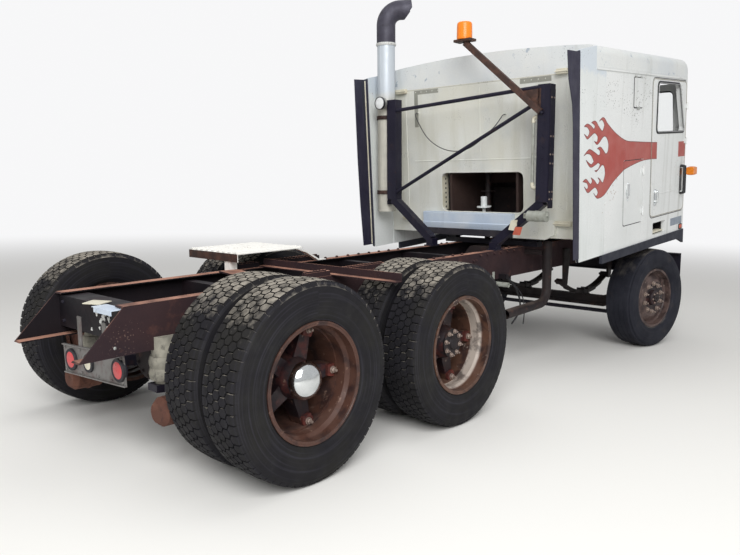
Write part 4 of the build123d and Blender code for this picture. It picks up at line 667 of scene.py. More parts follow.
def grid(points: np.ndarray, close_u: bool = False, close_v: bool = False, chart: bool = False) -> Shape:
    """A surface from a grid of points: each face joins a point to the next along u, along both and along v.

    Args:
        points: an (nu, nv, 3) array.
        close_u: whether the last row meets the first.
        close_v: whether the last column meets the first.
        chart: whether to map the grid's own u and v.

    Returns:
        The surface.
    """
    nu, nv = points.shape[:2]
    index = np.arange(nu * nv).reshape(nu, nv)
    if close_u:
        index = np.vstack([index, index[:1]])
    if close_v:
        index = np.hstack([index, index[:, :1]])
    faces = np.stack([index[:-1, :-1], index[1:, :-1], index[1:, 1:], index[:-1, 1:]], -1).reshape(-1, 4)
    uv = None
    if chart:
        u, v = np.meshgrid(np.linspace(0, 1, nu), np.linspace(0, 1, nv), indexing="ij")
        uv = np.stack([u, v], -1).reshape(-1, 2)
    return Shape(points.reshape(-1, 3), [tuple(f) for f in faces.tolist()], uv)


def lathe(profile: Sequence[Pair], segments: int = 48) -> Shape:
    """Turn a closed profile about the Y axis: x = r sin t, y = along, z = r cos t for t round the circle.

    Args:
        profile: (along, radius) corners. Points on the axis close the ends.
        segments: steps round the circle.

    Returns:
        The turned shape.
    """
    along, radius = np.array(profile, float).T
    t = np.arange(segments)[:, None] * 2 * np.pi / segments
    points = np.stack([radius * np.sin(t), np.broadcast_to(along, (segments, len(along))),
                       radius * np.cos(t)], -1)
    return grid(points, close_u=True, close_v=bool(radius[0] > 0 and radius[-1] > 0))


def prism(outline: Sequence[Pair], low: float, high: float, axis: str = "y") -> Shape:
    """A flat plate: an outline in the two other axes, drawn between two planes of the named axis.

    Args:
        outline: corners in the order x, y, z without the named axis.
        low: the first plane.
        high: the second plane.
        axis: x, y or z.

    Returns:
        The plate.
    """
    flat = np.array(outline, float)
    n, k = len(flat), "xyz".index(axis)
    ring = [np.insert(flat, k, level, axis=1) for level in (low, high)]
    step = np.arange(n)
    sides = np.stack([step, (step + 1) % n, (step + 1) % n + n, step + n], 1)
    faces = [tuple(range(n))[::-1], tuple(range(n, 2 * n))] + [tuple(f) for f in sides.tolist()]
    return Shape(np.concatenate(ring), faces)


def block(low: Sequence[float], high: Sequence[float], edge: float = 2.0) -> Shape:
    """A block with its edges eased: each corner becomes three points, inset along two axes in turn.

    Args:
        low: lowest corner.
        high: highest corner.
        edge: width of the eased edge.

    Returns:
        The block, its faces found as the hull of its points.
    """
    low, high = np.asarray(low, float), np.asarray(high, float)
    signs = np.array(np.meshgrid((-1, 1), (-1, 1), (-1, 1))).reshape(3, -1).T
    half, middle = (high - low) / 2, (high + low) / 2
    edge = min(edge, half.min() * 0.6)
    points = np.concatenate([middle + signs * (half - edge * (1 - np.eye(3)[k])) for k in range(3)])
    return hull(points)


def opened(shape: Shape) -> bmesh.types.BMesh:
    """A working mesh with the shape's points and faces.

    Args:
        shape: the shape.

    Returns:
        A mesh that bmesh's own tools can change.
    """
    mesh = bpy.data.meshes.new("opened")
    mesh.from_pydata(shape.points.tolist(), [], shape.faces)
    work = bmesh.new()
    work.from_mesh(mesh)
    bpy.data.meshes.remove(mesh)
    return work


def closed_up(work: bmesh.types.BMesh) -> Shape:
    """Take the shape out of a working mesh, and free the mesh.

    Args:
        work: the working mesh.

    Returns:
        Its points and faces.
    """
    mesh = bpy.data.meshes.new("closed_up")
    work.to_mesh(mesh)
    work.free()
    points = np.empty(3 * len(mesh.vertices), np.float32)
    mesh.vertices.foreach_get("co", points)
    shape = Shape(points.reshape(-1, 3).astype(float), [tuple(face.vertices) for face in mesh.polygons])
    bpy.data.meshes.remove(mesh)
    return shape


def hull(points: np.ndarray) -> Shape:
    """The convex shape round a cloud of points, with its flat parts joined into single faces.

    Args:
        points: an (n, 3) array.

    Returns:
        The shape, its faces as large as they can be.
    """
    work = opened(Shape(points, []))
    bmesh.ops.convex_hull(work, input=work.verts[:])
    bmesh.ops.dissolve_limit(work, angle_limit=0.001, verts=work.verts[:], edges=work.edges[:])
    return closed_up(work)


def rounded(corners: Sequence[Pair], radius: float, steps: int = 6) -> np.ndarray:
    """Round the corners of a flat outline with quadratic curves that start a radius before each corner.

    Args:
        corners: the outline's corners.
        radius: distance from the corner to where its curve starts.
        steps: points on each curve.

    Returns:
        An (n, 2) array of the rounded outline.
    """
    here = np.array(corners, float)
    before, after = np.roll(here, 1, 0) - here, np.roll(here, -1, 0) - here
    start = here + before / np.linalg.norm(before, axis=1, keepdims=True) * radius
    end = here + after / np.linalg.norm(after, axis=1, keepdims=True) * radius
    t = np.linspace(0, 1, steps)[None, :, None]
    return ((1 - t) ** 2 * start[:, None] + 2 * t * (1 - t) * here[:, None]
            + t ** 2 * end[:, None]).reshape(-1, 2)


def smooth_path(points: Sequence[Sequence[float]], steps: int = 6, closed: bool = False) -> np.ndarray:
    """A Catmull-Rom curve through points: each span blends its four neighbours by cubic weights.

    Args:
        points: the points that it passes through, in two or three dimensions.
        steps: points on each span.
        closed: whether the curve returns to its start.

    Returns:
        The points of the curve.
    """
    p = np.array(points, float)
    if closed:
        a, b, c, d = np.roll(p, 1, 0), p, np.roll(p, -1, 0), np.roll(p, -2, 0)
    else:
        padded = np.concatenate([p[:1], p, p[-1:]])
        a, b, c, d = padded[:-3], padded[1:-2], padded[2:-1], padded[3:]
    t = np.linspace(0, 1, steps, endpoint=False)[None, :, None]
    a, b, c, d = a[:, None], b[:, None], c[:, None], d[:, None]
    curve = 0.5 * (2 * b + (c - a) * t + (2 * a - 5 * b + 4 * c - d) * t ** 2
                   + (3 * b - a - 3 * c + d) * t ** 3)
    curve = curve.reshape(-1, p.shape[1])
    return curve if closed else np.concatenate([curve, p[-1:]])


def sweep(path: np.ndarray, profile: np.ndarray, up: Sequence[float], closed: bool = False) -> Shape:
    """Carry a closed profile along a path, with its first axis along tangent x up and its second along up.

    Args:
        path: an (n, 3) array.
        profile: an (m, 2) array round the section.
        up: a direction that is never along the path.
        closed: whether the path returns to its start.

    Returns:
        The swept shape, capped at its ends if the path is open.
    """
    path = np.asarray(path, float)
    tangent = np.roll(path, -1, 0) - np.roll(path, 1, 0) if closed else np.gradient(path, axis=0)
    tangent /= np.linalg.norm(tangent, axis=1, keepdims=True)
    side = np.cross(tangent, np.asarray(up, float))
    side /= np.linalg.norm(side, axis=1, keepdims=True)
    top = np.cross(side, tangent)
    points = path[:, None] + side[:, None] * profile[None, :, :1] + top[:, None] * profile[None, :, 1:]
    shape = grid(points, close_u=closed, close_v=True)
    if not closed:
        m, n = len(profile), len(path)
        shape.faces += [tuple(range(m)), tuple(range((n - 1) * m, n * m))[::-1]]
    return shape


def ring_profile(radius: float, sides: int = 10) -> np.ndarray:
    """Points round a circle, for the section of a tube."""
    t = np.arange(sides) * 2 * np.pi / sides
    return radius * np.column_stack([np.cos(t), np.sin(t)])


def flat_profile(width: float, height: float, edge: float = 1.0) -> np.ndarray:
    """Section of a flat strip that stands height high, with its two outer edges eased.

    Args:
        width: of the strip.
        height: how far it stands up.
        edge: width of the eased edges.

    Returns:
        Six corners.
    """
    w = width / 2
    return np.array([(-w, 0), (w, 0), (w, height - edge), (w - edge, height), (edge - w, height),
                     (-w, height - edge)])


def tube(points: Sequence[Sequence[float]], radius: float, up: Sequence[float] = (0, 0, 1),
         steps: int = 6) -> Shape:
    """A round bar along a smooth path through points."""
    return sweep(smooth_path(points, steps), ring_profile(radius), up)


def stamp(shape: Shape, places: np.ndarray | Sequence[Sequence[float]],
          along: Sequence[float] | np.ndarray) -> Shape:
    """Copy a shape drawn on the Z axis to many places, its Z turned to a direction at each.

    Args:
        shape: the shape to copy.
        places: an (n, 3) array.
        along: one direction, or one for each place.

    Returns:
        All copies as one shape.
    """
    places = np.asarray(places, float).reshape(-1, 3)
    z = np.broadcast_to(np.asarray(along, float), places.shape)
    z = z / np.linalg.norm(z, axis=1, keepdims=True)
    other = np.where(np.abs(z[:, 2:]) > 0.9, [[1.0, 0, 0]], [[0, 0, 1.0]])
    x = np.cross(other, z)
    x /= np.linalg.norm(x, axis=1, keepdims=True)
    y = np.cross(z, x)
    turns = np.stack([x, y, z], -1)
    points = np.einsum("nij,mj->nmi", turns, shape.points) + places[:, None]
    count = len(shape.points)
    faces = [tuple(i + k * count for i in face) for k in range(len(places)) for face in shape.faces]
    return Shape(points.reshape(-1, 3), faces)


def on_z(shape: Shape) -> Shape:
    """A shape turned on the Y axis, laid along Z instead."""
    return Shape(shape.points[:, [2, 0, 1]], shape.faces)


def bolt(size: float, stub: float = 0.4) -> Shape:
    """A washer, a six-sided nut with a chamfered top, and the end of its stud, standing on Z.

    Args:
        size: the thread's diameter.
        stub: how far the stud stands out of the nut, in diameters.

    Returns:
        The bolt, some forty faces.
    """
    washer = lathe([(0, 0), (0, size * 1.1), (size * 0.16, size * 1.1), (size * 0.16, 0)], 14)
    nut = lathe([(size * 0.16, 0), (size * 0.16, size * 0.92), (size * 0.8, size * 0.92),
                 (size * 0.95, size * 0.74), (size * 0.95, 0)], 6)
    stud = lathe([(size * 0.9, 0), (size * 0.9, size * 0.45), (size * (0.95 + stub), size * 0.4),
                  (size * (0.95 + stub), 0)], 8)
    return on_z(join([washer, nut, stud]))


def lathe_washer(outer: float, inner: float) -> Shape:
    """A flat ring that stands a little out of a surface, on Z."""
    return on_z(lathe([(0, inner), (0, outer), (1.6, outer - 1), (1.6, inner + 1)], 16))


def dome(radius: float, height: float, segments: int = 10) -> Shape:
    """A rivet's head: an ellipse's quarter turned on Z.

    Args:
        radius: of its foot.
        height: of its crown.
        segments: steps round it.

    Returns:
        The head, standing on Z.
    """
    t = np.linspace(0, np.pi / 2, 4)
    return on_z(lathe([(0, 0)] + [(height * math.sin(a), radius * math.cos(a))
                                  for a in t[:-1]] + [(height, 0)], segments))


def lamp_lens(radius: float, rise: float, back: float, points: int = 8) -> Shape:
    """A domed lens: a quarter of an ellipse turned on the Y axis.

    Args:
        radius: of its rim, in mm.
        rise: height of the dome.
        back: how far its flat back lies behind the rim.
        points: corners along the quarter.

    Returns:
        The lens, which bulges along Y.
    """
    turn = np.linspace(0, np.pi / 2, points)
    bulge = [(rise * math.cos(a), radius * math.sin(a)) for a in turn]
    return lathe([*bulge, (-back, radius), (-back, 0)], 40)


def make_piece(name: str, shape: Shape, finish: Finish, seat: Seat, body: str, sharp: float = 32.0,
               stands_for: Sequence[str] = ()) -> bpy.types.Object:
    """Put a shape into the scene as a piece of the tractor.

    Args:
        name: the piece's name.
        shape: its points and faces.
        finish: its finish.
        seat: where its drawing sits.
        body: the body that it moves with.
        sharp: edges that turn more than this many degrees stay sharp.
        stands_for: CAD nodes that it replaces.

    Returns:
        The new object.
    """
    mesh = bpy.data.meshes.new(name)
    mesh.from_pydata(seat.place(shape.points).tolist(), [], shape.faces)
    if shape.chart is not None:
        corner = np.zeros(len(mesh.loops), np.int32)
        mesh.loops.foreach_get("vertex_index", corner)
        chart = shape.chart[corner].astype(np.float32)
        mesh.uv_layers.new(name="chart").data.foreach_set("uv", chart.ravel())
    work = bmesh.new()
    work.from_mesh(mesh)
    bmesh.ops.remove_doubles(work, verts=work.verts[:], dist=2e-6)
    bmesh.ops.recalc_face_normals(work, faces=work.faces[:])
    work.to_mesh(mesh)
    work.free()
    mesh.polygons.foreach_set("use_smooth", np.ones(len(mesh.polygons), bool))
    mesh.set_sharp_from_angle(angle=math.radians(sharp))
    mesh.materials.append(finish.material())
    piece = bpy.data.objects.new(name, mesh)
    bpy.context.scene.collection.objects.link(piece)
    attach(piece, body)
    if stands_for:
        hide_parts(*stands_for)
    log.info("%s: %d faces on %s", name, len(mesh.polygons), body)
    return piece


def make_all(rows: Iterable[tuple], seat: Seat, body: str, side: str = "") -> None:
    """Put a table of shapes into the scene, all on one body.

    Args:
        rows: for each piece its name, its shape, its finish and, if need be, its slot, which is not used.
        seat: where the drawings sit.
        body: the body that they move with.
        side: end of each name, if the pieces have a side.
    """
    for name, shape, finish, *slot in rows:
        make_piece(name + side, shape, finish, seat, body)


def thickened(sheet: Shape, step: Sequence[float]) -> Shape:
    """Give a sheet a second side, and walls along its open edges.

    Args:
        sheet: the sheet.
        step: from the first side to the second.

    Returns:
        A closed shape.
    """
    n = len(sheet.points)
    edges = {(a, b) for face in sheet.faces for a, b in zip(face, (*face[1:], face[0]))}
    walls = [(a, b, b + n, a + n) for a, b in edges if (b, a) not in edges]
    backs = [tuple(i + n for i in face[::-1]) for face in sheet.faces]
    return Shape(np.concatenate([sheet.points, sheet.points + np.asarray(step, float)]),
                 sheet.faces + backs + walls)


def cut_to(sheet: Shape, planes: Sequence[tuple[Sequence[float], Sequence[float]]]) -> Shape:
    """Keep the part of a sheet that lies behind every plane.

    Args:
        sheet: the sheet, in one flat face or many.
        planes: for each plane a point on it and the direction that is cut away.

    Returns:
        What is left, in triangles and quads.
    """
    work = opened(sheet)
    bmesh.ops.triangulate(work, faces=[f for f in work.faces if len(f.verts) > 4], ngon_method="EAR_CLIP")
    for point, away in planes:
        parts = work.verts[:] + work.edges[:] + work.faces[:]
        bmesh.ops.bisect_plane(work, geom=parts, dist=1e-4, plane_co=point, plane_no=away, clear_outer=True)
    return closed_up(work)


def half_round(half: float, height: float, segments: int) -> np.ndarray:
    """Half an ellipse as a section, from one foot over the top to the other."""
    t = np.linspace(0, np.pi, segments + 1)
    return np.column_stack([half * np.cos(t), height * np.sin(t)])


def spread(*coordinates: float | np.ndarray) -> np.ndarray:
    """Points from their coordinates, where a single number serves for all of them."""
    return np.column_stack(np.broadcast_arrays(*coordinates))


def on_side(outline: np.ndarray | Sequence[Sequence[float]], out: float = 0.0) -> np.ndarray:
    """An (x, z) outline as points on the right-hand side panel, a distance out from it."""
    flat = np.asarray(outline, float)
    return spread(flat[:, 0], -CAB_HALF - out, flat[:, 1])


def filled(outline: np.ndarray) -> Shape:
    """The inside of an (x, z) outline on the right-hand side panel, cut into triangles.

    Args:
        outline: its corners, in order.

    Returns:
        The sheet, a hair off the panel.
    """
    spots, _, faces, *_ = delaunay_2d_cdt([Vector(p) for p in outline], [], [list(range(len(outline)))], 1,
                                          1e-3)
    return Shape(on_side(np.array([tuple(p) for p in spots]), 0.1), [tuple(f) for f in faces])


def plate(outline: Sequence[Sequence[float]], out: float, radius: float = 6.0, raised: float = 0.1) -> Shape:
    """A thin plate with rounded corners on the right-hand side panel, from an (x, z) outline."""
    return prism(rounded(outline, radius), -CAB_HALF - raised, -CAB_HALF - raised - out, "y")


def corners(x0: float, x1: float, z0: float, z1: float) -> list[Pair]:
    """The four corners of a rectangle, in order."""
    return [(x0, z0), (x1, z0), (x1, z1), (x0, z1)]


def cushion(low: Sequence[float], high: Sequence[float], puff: float = 0.32, channels: int = 0) -> Shape:
    """A crowned pad: a sphere's grid raised to a power under one, so that its faces swell.

    Each coordinate is sign(s) * |s| ** puff for a direction s on the sphere; sewn channels sink as the
    top nears evenly spaced lines across it.

    Args:
        low: lowest corner of the space that it fills.
        high: highest corner.
        puff: how square it is, from 0 for a box to 1 for an egg.
        channels: number of sewn lines along x.

    Returns:
        The pad, with its chart.
    """
    low, high = np.asarray(low, float), np.asarray(high, float)
    turn, rise = np.meshgrid(np.linspace(-np.pi, np.pi, 96, endpoint=False),
                             np.linspace(-np.pi / 2, np.pi / 2, 49),
                             indexing="ij")
    s = np.stack([np.cos(rise) * np.cos(turn), np.cos(rise) * np.sin(turn), np.sin(rise)], -1)
    s /= np.abs(s).max(-1, keepdims=True) ** 0.5
    form = np.sign(s) * np.abs(s) ** puff
    form /= np.abs(form).max((0, 1))
    crown = 1 - 0.16 * (form[..., 0] ** 2 + form[..., 1] ** 2) * np.abs(form[..., 2]) ** 4
    form[..., 2] *= crown
    if channels:
        near = np.abs((form[..., 1] * 0.5 + 0.5) * (channels + 1) % 1.0 - 0.5) * 2
        sunk = 0.12 * np.exp(-((1 - near) / 0.12) ** 2) * (np.abs(form[..., 1]) < 0.92)
        form[..., 2] -= np.sign(form[..., 2]) * sunk
    shape = grid((low + high) / 2 + form * (high - low) / 2, close_u=True, chart=True)
    shape.chart = shape.points[:, :2] / 1000
    return shape


@dataclass(frozen=True)
class Studio:
    """Camera at the photograph's place, a pale floor and soft light from above and behind the camera.

    Places and sizes are in metres, angles in radians, the lens in mm and each lamp's power in watts.
    """

    place: Triple = (-4.80148, -3.7318, 1.5088)
    yaw: float = 0.7330
    pitch: float = -0.1179
    roll: float = 0.0135
    lens: float = 34.10
    sensor: float = 36.0
    lamps: tuple[tuple[str, Triple, float, float], ...] = (
        ("key", (-7.5, -7.0, 7.0), 7.0, 1150.0), ("sky", (0.5, 1.0, 10.0), 9.0, 200.0))
    aim: Triple = (0.2, 0.0, 1.2)
    white: str = "#fdfdfe"
    floor_colour: str = "#efeeea"
    floor_half: float = 60.0
    fade: Pair = (6.0, 22.0)

    def build(self) -> None:
        """Make the camera first, then the light and the floor."""
        self.camera()
        self.world()
        for row in self.lamps:
            self.lamp(*row)
        self.floor()
        bpy.context.scene.view_settings.view_transform = "Standard"

    def camera(self) -> None:
        """Point the camera: forward from yaw and pitch, right and up from it, both turned by the roll."""
        flat = math.cos(self.pitch)
        forward = Vector((math.cos(self.yaw) * flat, math.sin(self.yaw) * flat, math.sin(self.pitch)))
        right = forward.cross(Vector((0, 0, 1))).normalized()
        up = right.cross(forward)
        c, s = math.cos(self.roll), math.sin(self.roll)
        right, up = c * right + s * up, -s * right + c * up
        data = bpy.data.cameras.new("photo_camera")
        data.lens, data.sensor_width, data.sensor_fit = self.lens, self.sensor, "HORIZONTAL"
        data.clip_end = 200.0
        camera = bpy.data.objects.new("photo_camera", data)
        camera.matrix_world = Matrix.Translation(self.place) @ Matrix((right, up,
                                                                       -forward)).transposed().to_4x4()
        bpy.context.scene.collection.objects.link(camera)
        bpy.context.scene.camera = camera

    def world(self) -> None:
        """An even pale sky, white where the camera, a gloss or a glass looks at it."""
        world = bpy.data.worlds.new("pale_sky")
        bpy.context.scene.world = world
        world.use_nodes = True
        tree = world.node_tree
        ray = add_node(tree, "ShaderNodeLightPath")
        seen = add_node(tree, "ShaderNodeMath",
                        {0: ray.outputs["Is Camera Ray"], 1: ray.outputs["Is Transmission Ray"]},
                        operation="MAXIMUM")
        shine = add_node(tree, "ShaderNodeMath", {0: ray.outputs["Is Glossy Ray"], 1: 0.5},
                         operation="MULTIPLY")
        white = add_node(tree, "ShaderNodeMath", {0: seen.outputs[0], 1: shine.outputs[0]},
                         operation="MAXIMUM")
        strength = add_node(tree, "ShaderNodeMapRange",
                            {"Value": white.outputs[0], "To Min": 0.42, "To Max": 0.95})
        sky = tree.nodes["Background"]
        sky.inputs["Color"].default_value = linear(self.white)
        tree.links.new(strength.outputs[0], sky.inputs["Strength"])

    def lamp(self, name: str, place: Sequence[float], size: float, power: float) -> None:
        """A square soft lamp aimed at the tractor's middle.

        Args:
            name: the lamp's name.
            place: where it hangs, in metres.
            size: its side in metres.
            power: its power in watts.
        """
        data = bpy.data.lights.new(name, "AREA")
        data.size, data.energy = size, power
        lamp = bpy.data.objects.new(name, data)
        lamp.location = place
        lamp.rotation_euler = (Vector(self.aim) - Vector(place)).to_track_quat("-Z", "Y").to_euler()
        bpy.context.scene.collection.objects.link(lamp)

    def floor(self) -> None:
        """A wide pale sheet that keeps the shadow, and fades to the sky's white far from the tractor."""
        mesh = bpy.data.meshes.new("floor")
        far = self.floor_half
        mesh.from_pydata([(-far, -far, 0), (far, -far, 0), (far, far, 0), (-far, far, 0)], [], [(0, 1, 2, 3)])
        made = bpy.data.materials.new("pale_floor")
        made.use_nodes = True
        tree = made.node_tree
        shader = tree.nodes["Principled BSDF"]
        shader.inputs["Base Color"].default_value = linear(self.floor_colour)
        shader.inputs["Roughness"].default_value = 0.9
        coords = add_node(tree, "ShaderNodeTexCoord").outputs["Object"]
        away = add_node(tree, "ShaderNodeVectorMath", {0: coords}, operation="LENGTH").outputs["Value"]
        fade = add_node(tree, "ShaderNodeMapRange",
                        {"Value": away, "From Min": self.fade[0], "From Max": self.fade[1]},
                        interpolation_type="SMOOTHSTEP")
        ray = add_node(tree, "ShaderNodeLightPath").outputs["Is Camera Ray"]
        share = add_node(tree, "ShaderNodeMath", {0: fade.outputs[0], 1: ray}, operation="MULTIPLY")
        glow = add_node(tree, "ShaderNodeEmission", {"Color": linear(self.white), "Strength": 0.95})
        mixed = add_node(tree, "ShaderNodeMixShader",
                         {0: share.outputs[0], 1: shader.outputs[0], 2: glow.outputs[0]})
        tree.links.new(mixed.outputs[0], tree.nodes["Material Output"].inputs["Surface"])
        mesh.materials.append(made)
        floor = bpy.data.objects.new("floor", mesh)
        bpy.context.scene.collection.objects.link(floor)


@dataclass(frozen=True)
class Cord:
    name: str
    node: str
    route: tuple[Triple, ...]
    diameter: float
    length: float
    seat: Seat
    body: str
    finish: Finish
    far_end: str
    stiffness: str

    def build(self) -> bpy.types.Object:
        """Make the cord as one smooth NURBS curve with a round section.

        Returns:
            The new curve.
        """
        data = bpy.data.curves.new(self.name, "CURVE")
        data.dimensions = "3D"
        spline = data.splines.new("NURBS")
        places = self.seat.place(np.array(self.route))
        spline.points.add(len(places) - 1)
        spline.points.foreach_set("co", np.column_stack([places, np.ones(len(places))]).ravel())
        spline.order_u = 3
        spline.use_endpoint_u = True
        data.resolution_u = 8
        data.bevel_depth = self.diameter / 2000
        data.bevel_resolution = 3
        data.use_fill_caps = True
        data.materials.append(self.finish.material())
        cord = bpy.data.objects.new(self.name, data)
        bpy.context.scene.collection.objects.link(cord)
        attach(cord, self.body)
        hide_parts(self.node)
        log.info("%s: cord of %.2f m on %s", self.name, self.length / 1000, self.body)
        return cord


CORDS = (
    Cord("wall_cable_sheath", "wall_cable", (
        (3298, 717, 2434), (3258, 717, 2434), (3238, 703, 2396), (3236, 662, 2330), (3229, 607, 2246),
        (3223, 540, 2172), (3218, 452, 2112), (3214, 352, 2068), (3212, 243, 2044), (3213, 130, 2047),
        (3216, 24, 2080), (3221, -68, 2139), (3227, -156, 2205), (3234, -228, 2268), (3240, -272, 2324),
        (3260, -285, 2357), (3298, -285, 2357)), 9.0, 1369, ON_CAB, "cab", CABLE, "object", "limp"),
    Cord("loose_hose", "hose_loose", (
        (3061, -455, 702), (3110, -456, 670), (3178, -460, 612), (3238, -462, 540), (3274, -462, 460),
        (3284, -460, 378), (3263, -437, 315), (3231, -402, 244)), 16.0, 565, ON_RAIL, "chassis", HOSE,
         "bare", "stiff"),
    Cord("long_hose", "hose_long", (
        (3061, -425, 709), (3125, -428, 672), (3210, -432, 622), (3296, -437, 562), (3360, -440, 488),
        (3390, -441, 400), (3396, -440, 312), (3380, -438, 225)), 10.0, 643, ON_RAIL, "chassis", HOSE,
         "bare", "stiff"),
)


@dataclass(frozen=True)
class Dresser:
    """Gives each CAD node its finish through its own material slots. A node's side is left off its name."""

    finishes: tuple[tuple[Finish, str], ...] = (
        (WHITE, "cab_front cab_sides door hatch"), (ROOF_WHITE, "cab_roof"), (WALL_WHITE, "cab_back_wall"),
        (FAIRING, "side_fairings"), (GLASS, "windscreen"), (LINER, "cab_floor"), (RUBBER, "rubber_edges"),
        (PLASTIC, "dashboard steering_wheel"), (AMBER, "beacon side_lamps"), (RACK_NAVY, "rack"),
        (STACK, "exhaust_stack"), (ELBOW, "stack_elbow"), (CANISTER, "air_canister"),
        (OXIDE, "deck_angles frame_rails"), (BOX_BLACK, "crossmembers"), (DECK, "deck_plate"),
        (LAMP_PANEL, "tail_lamp_panel"), (RUST, "brake_chambers"),
        (IRON, "down_pipe drive_axles driveshafts engine_block front_axle front_springs knuckle"),
        (BLACK, "bumper cab_mounts rear_suspension tail_lamps tie_rod work_lamp"),
        (SPRING_CREAM, "air_springs"), (WHEEL_REAR, "rear_wheel"), (WHEEL_MID, "mid_wheel"),
        (WHEEL_FRONT, "front_wheel"))

    def build(self) -> None:
        """Lay the finishes on the nodes that the table names."""
        by_node = {name: finish for finish, names in self.finishes for name in names.split()}
        for name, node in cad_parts.items():
            finish = by_node.get(name.removesuffix("_right").removesuffix("_left"))
            if finish is None:
                continue
            for place in node.material_slots:
                place.link = "OBJECT"
                place.material = finish.material()
            log.info("%s: %s", name, finish.name)


@dataclass(frozen=True)
class Tyre:
    """A tyre about the Y axis: a tread of block columns, walls from a profile, and a closed inside."""

    radius: float
    half_tread: float
    crown: float
    grooves: tuple[float, ...]
    zigzag: float
    groove: Pair
    notch: Pair
    pitches: int
    wall: tuple[Pair, ...]
    inside: tuple[Pair, ...]

    def shape(self) -> Shape:
        """Build the whole tyre as one grid round the axle by across the tread.

        Round the axle each pitch has the edges of two notches, half a pitch apart. Across the tread each
        groove has four lines, whose place swings by the zigzag: y = centre + swing * wave, where the wave
        runs between -1 and 1 over each pitch. A point's depth is the groove's on the two inner lines and the
        notch's on a column's lines at that column's own notch. Its radius is
        tyre radius - crown * (y / half) ** 2 - depth.

        Returns:
            The tyre, with its chart: turn round the axle, and radius.
        """
        pitch = 2 * np.pi * self.radius / self.pitches
        w, deep_notch = self.notch
        starts = np.array([-w, -w * 0.6, w * 0.6, w])
        local = np.concatenate([starts, [pitch * 0.25], starts + pitch / 2, [pitch * 0.75]])
        at_first = np.array([0, 1, 1, 0, 0, 0, 0, 0, 0, 0], float)
        at_second = np.roll(at_first, 5)
        wave = np.interp(local, [-pitch / 2, 0, pitch / 2, pitch], [-1, 1, -1, 1])
        around = (np.arange(self.pitches)[:, None] * pitch + local).ravel() / self.radius
        first, second, wave = (np.tile(a, self.pitches) for a in (at_first, at_second, wave))
        lines, depths = [], []
        half_groove, deep = self.groove
        stops = sorted([-g for g in self.grooves] + list(self.grooves))
        side = np.ones_like(around)

        def line(y: np.ndarray, depth: np.ndarray) -> None:
            """Keep one line across the tread."""
            lines.append(y)
            depths.append(depth)

        line(-(self.half_tread + 9) * side, side * 22)
        line(-self.half_tread * side, deep_notch * first)
        for k, centre in enumerate(stops):
            swing = self.zigzag * wave * (1 if k in (0, 2) else -1) * (-1)
            before, after = (first, second) if k % 2 == 0 else (second, first)
            for offset, depth in ((-half_groove * 1.4, deep_notch * before), (-half_groove, deep * side),
                                  (half_groove, deep * side), (half_groove * 1.4, deep_notch * after)):
                line(centre + swing + offset, depth)
        line(self.half_tread * side, deep_notch * (first if len(stops) % 2 == 0 else second))
        line((self.half_tread + 9) * side, side * 22)
        y = np.stack(lines, 1)
        r = self.radius - self.crown * (np.clip(y, -self.half_tread, self.half_tread) / self.half_tread) ** 2
        r = r - np.stack(depths, 1)
        ring = np.array(list(self.wall) + list(self.inside), float)
        mirrored = ring[::-1] * (-1, 1)
        rest = np.concatenate([ring, mirrored])
        y = np.hstack([y, np.broadcast_to(rest[:, 0], (len(around), len(rest)))])
        r = np.hstack([r, np.broadcast_to(rest[:, 1], (len(around), len(rest)))])
        angle = around[:, None]
        points = np.stack([r * np.sin(angle), y, r * np.cos(angle)], -1)
        shape = grid(points, close_u=True, close_v=True)
        turn = np.broadcast_to(angle / (2 * np.pi), r.shape)
        shape.chart = np.stack([turn, r / self.radius], -1).reshape(-1, 2)
        return shape


@dataclass(frozen=True)
class Tyres:
    """Twin block-tread tyres on the drive axles and ribbed singles in front."""

    drive: Tyre = Tyre(540.0, 118.0, 7.0, (23.0, 70.0), 7.0, (3.6, 13.0), (4.5, 9.0), 64,
                 ((133, 505), (137.5, 480), (139.6, 450), (140, 425), (139, 400), (136.5, 375), (131, 352),
                  (125, 340), (121, 337), (118, 330), (109, 325.4), (108.6, 312)),
                 ((79, 312), (114, 369), (108, 450), (91, 500), (30, 506)))
    steer: Tyre = Tyre(500.0, 116.0, 7.0, (28.0, 74.0), 1.5, (2.6, 3.0), (1.6, 0.5), 40,
                 ((132, 474), (138, 446), (141, 415), (142.4, 388), (141.5, 360), (139, 335), (133, 318),
                  (126, 311), (120, 305), (106, 299.8), (105.6, 287)),
                 ((76, 287), (116, 344), (110, 410), (93, 460), (30, 466)))
    twin_y: Pair = (-1065.0, -735.0)
    steer_y: float = -114.0

    def build(self) -> None:
        """Put each tyre in its CAD node's place."""
        drive = self.drive.shape()
        pair = join([drive.at((0, y, 0)) for y in self.twin_y])
        outer = drive.at((0, self.twin_y[0], 0))
        single = self.steer.shape().at((0, self.steer_y, 0))
        for side, sign in SIDES:
            for row, x in (("rear", 0.0), ("mid", TANDEM)):
                seat = Seat(origin=(x, 0, REAR_Z), mirrored=sign > 0)
                # The inner tyre of the left rear pair is gone
                shape = outer if (row, side) == ("rear", "left") else pair
                make_piece(f"{row}_tyre_pair_{side}", shape, TYRE_REAR, seat, f"{row}_wheels_{side}", 30,
                           (f"{row}_tyres_{side}",))
            seat = Seat(origin=(FRONT_X, sign * KINGPIN_Y, FRONT_Z), turn=-STEER_REST, mirrored=sign > 0)
            make_piece(f"steer_tyre_{side}", single, TYRE_FRONT, seat, f"front_wheel_{side}", 30,
                       (f"front_tyre_{side}",))


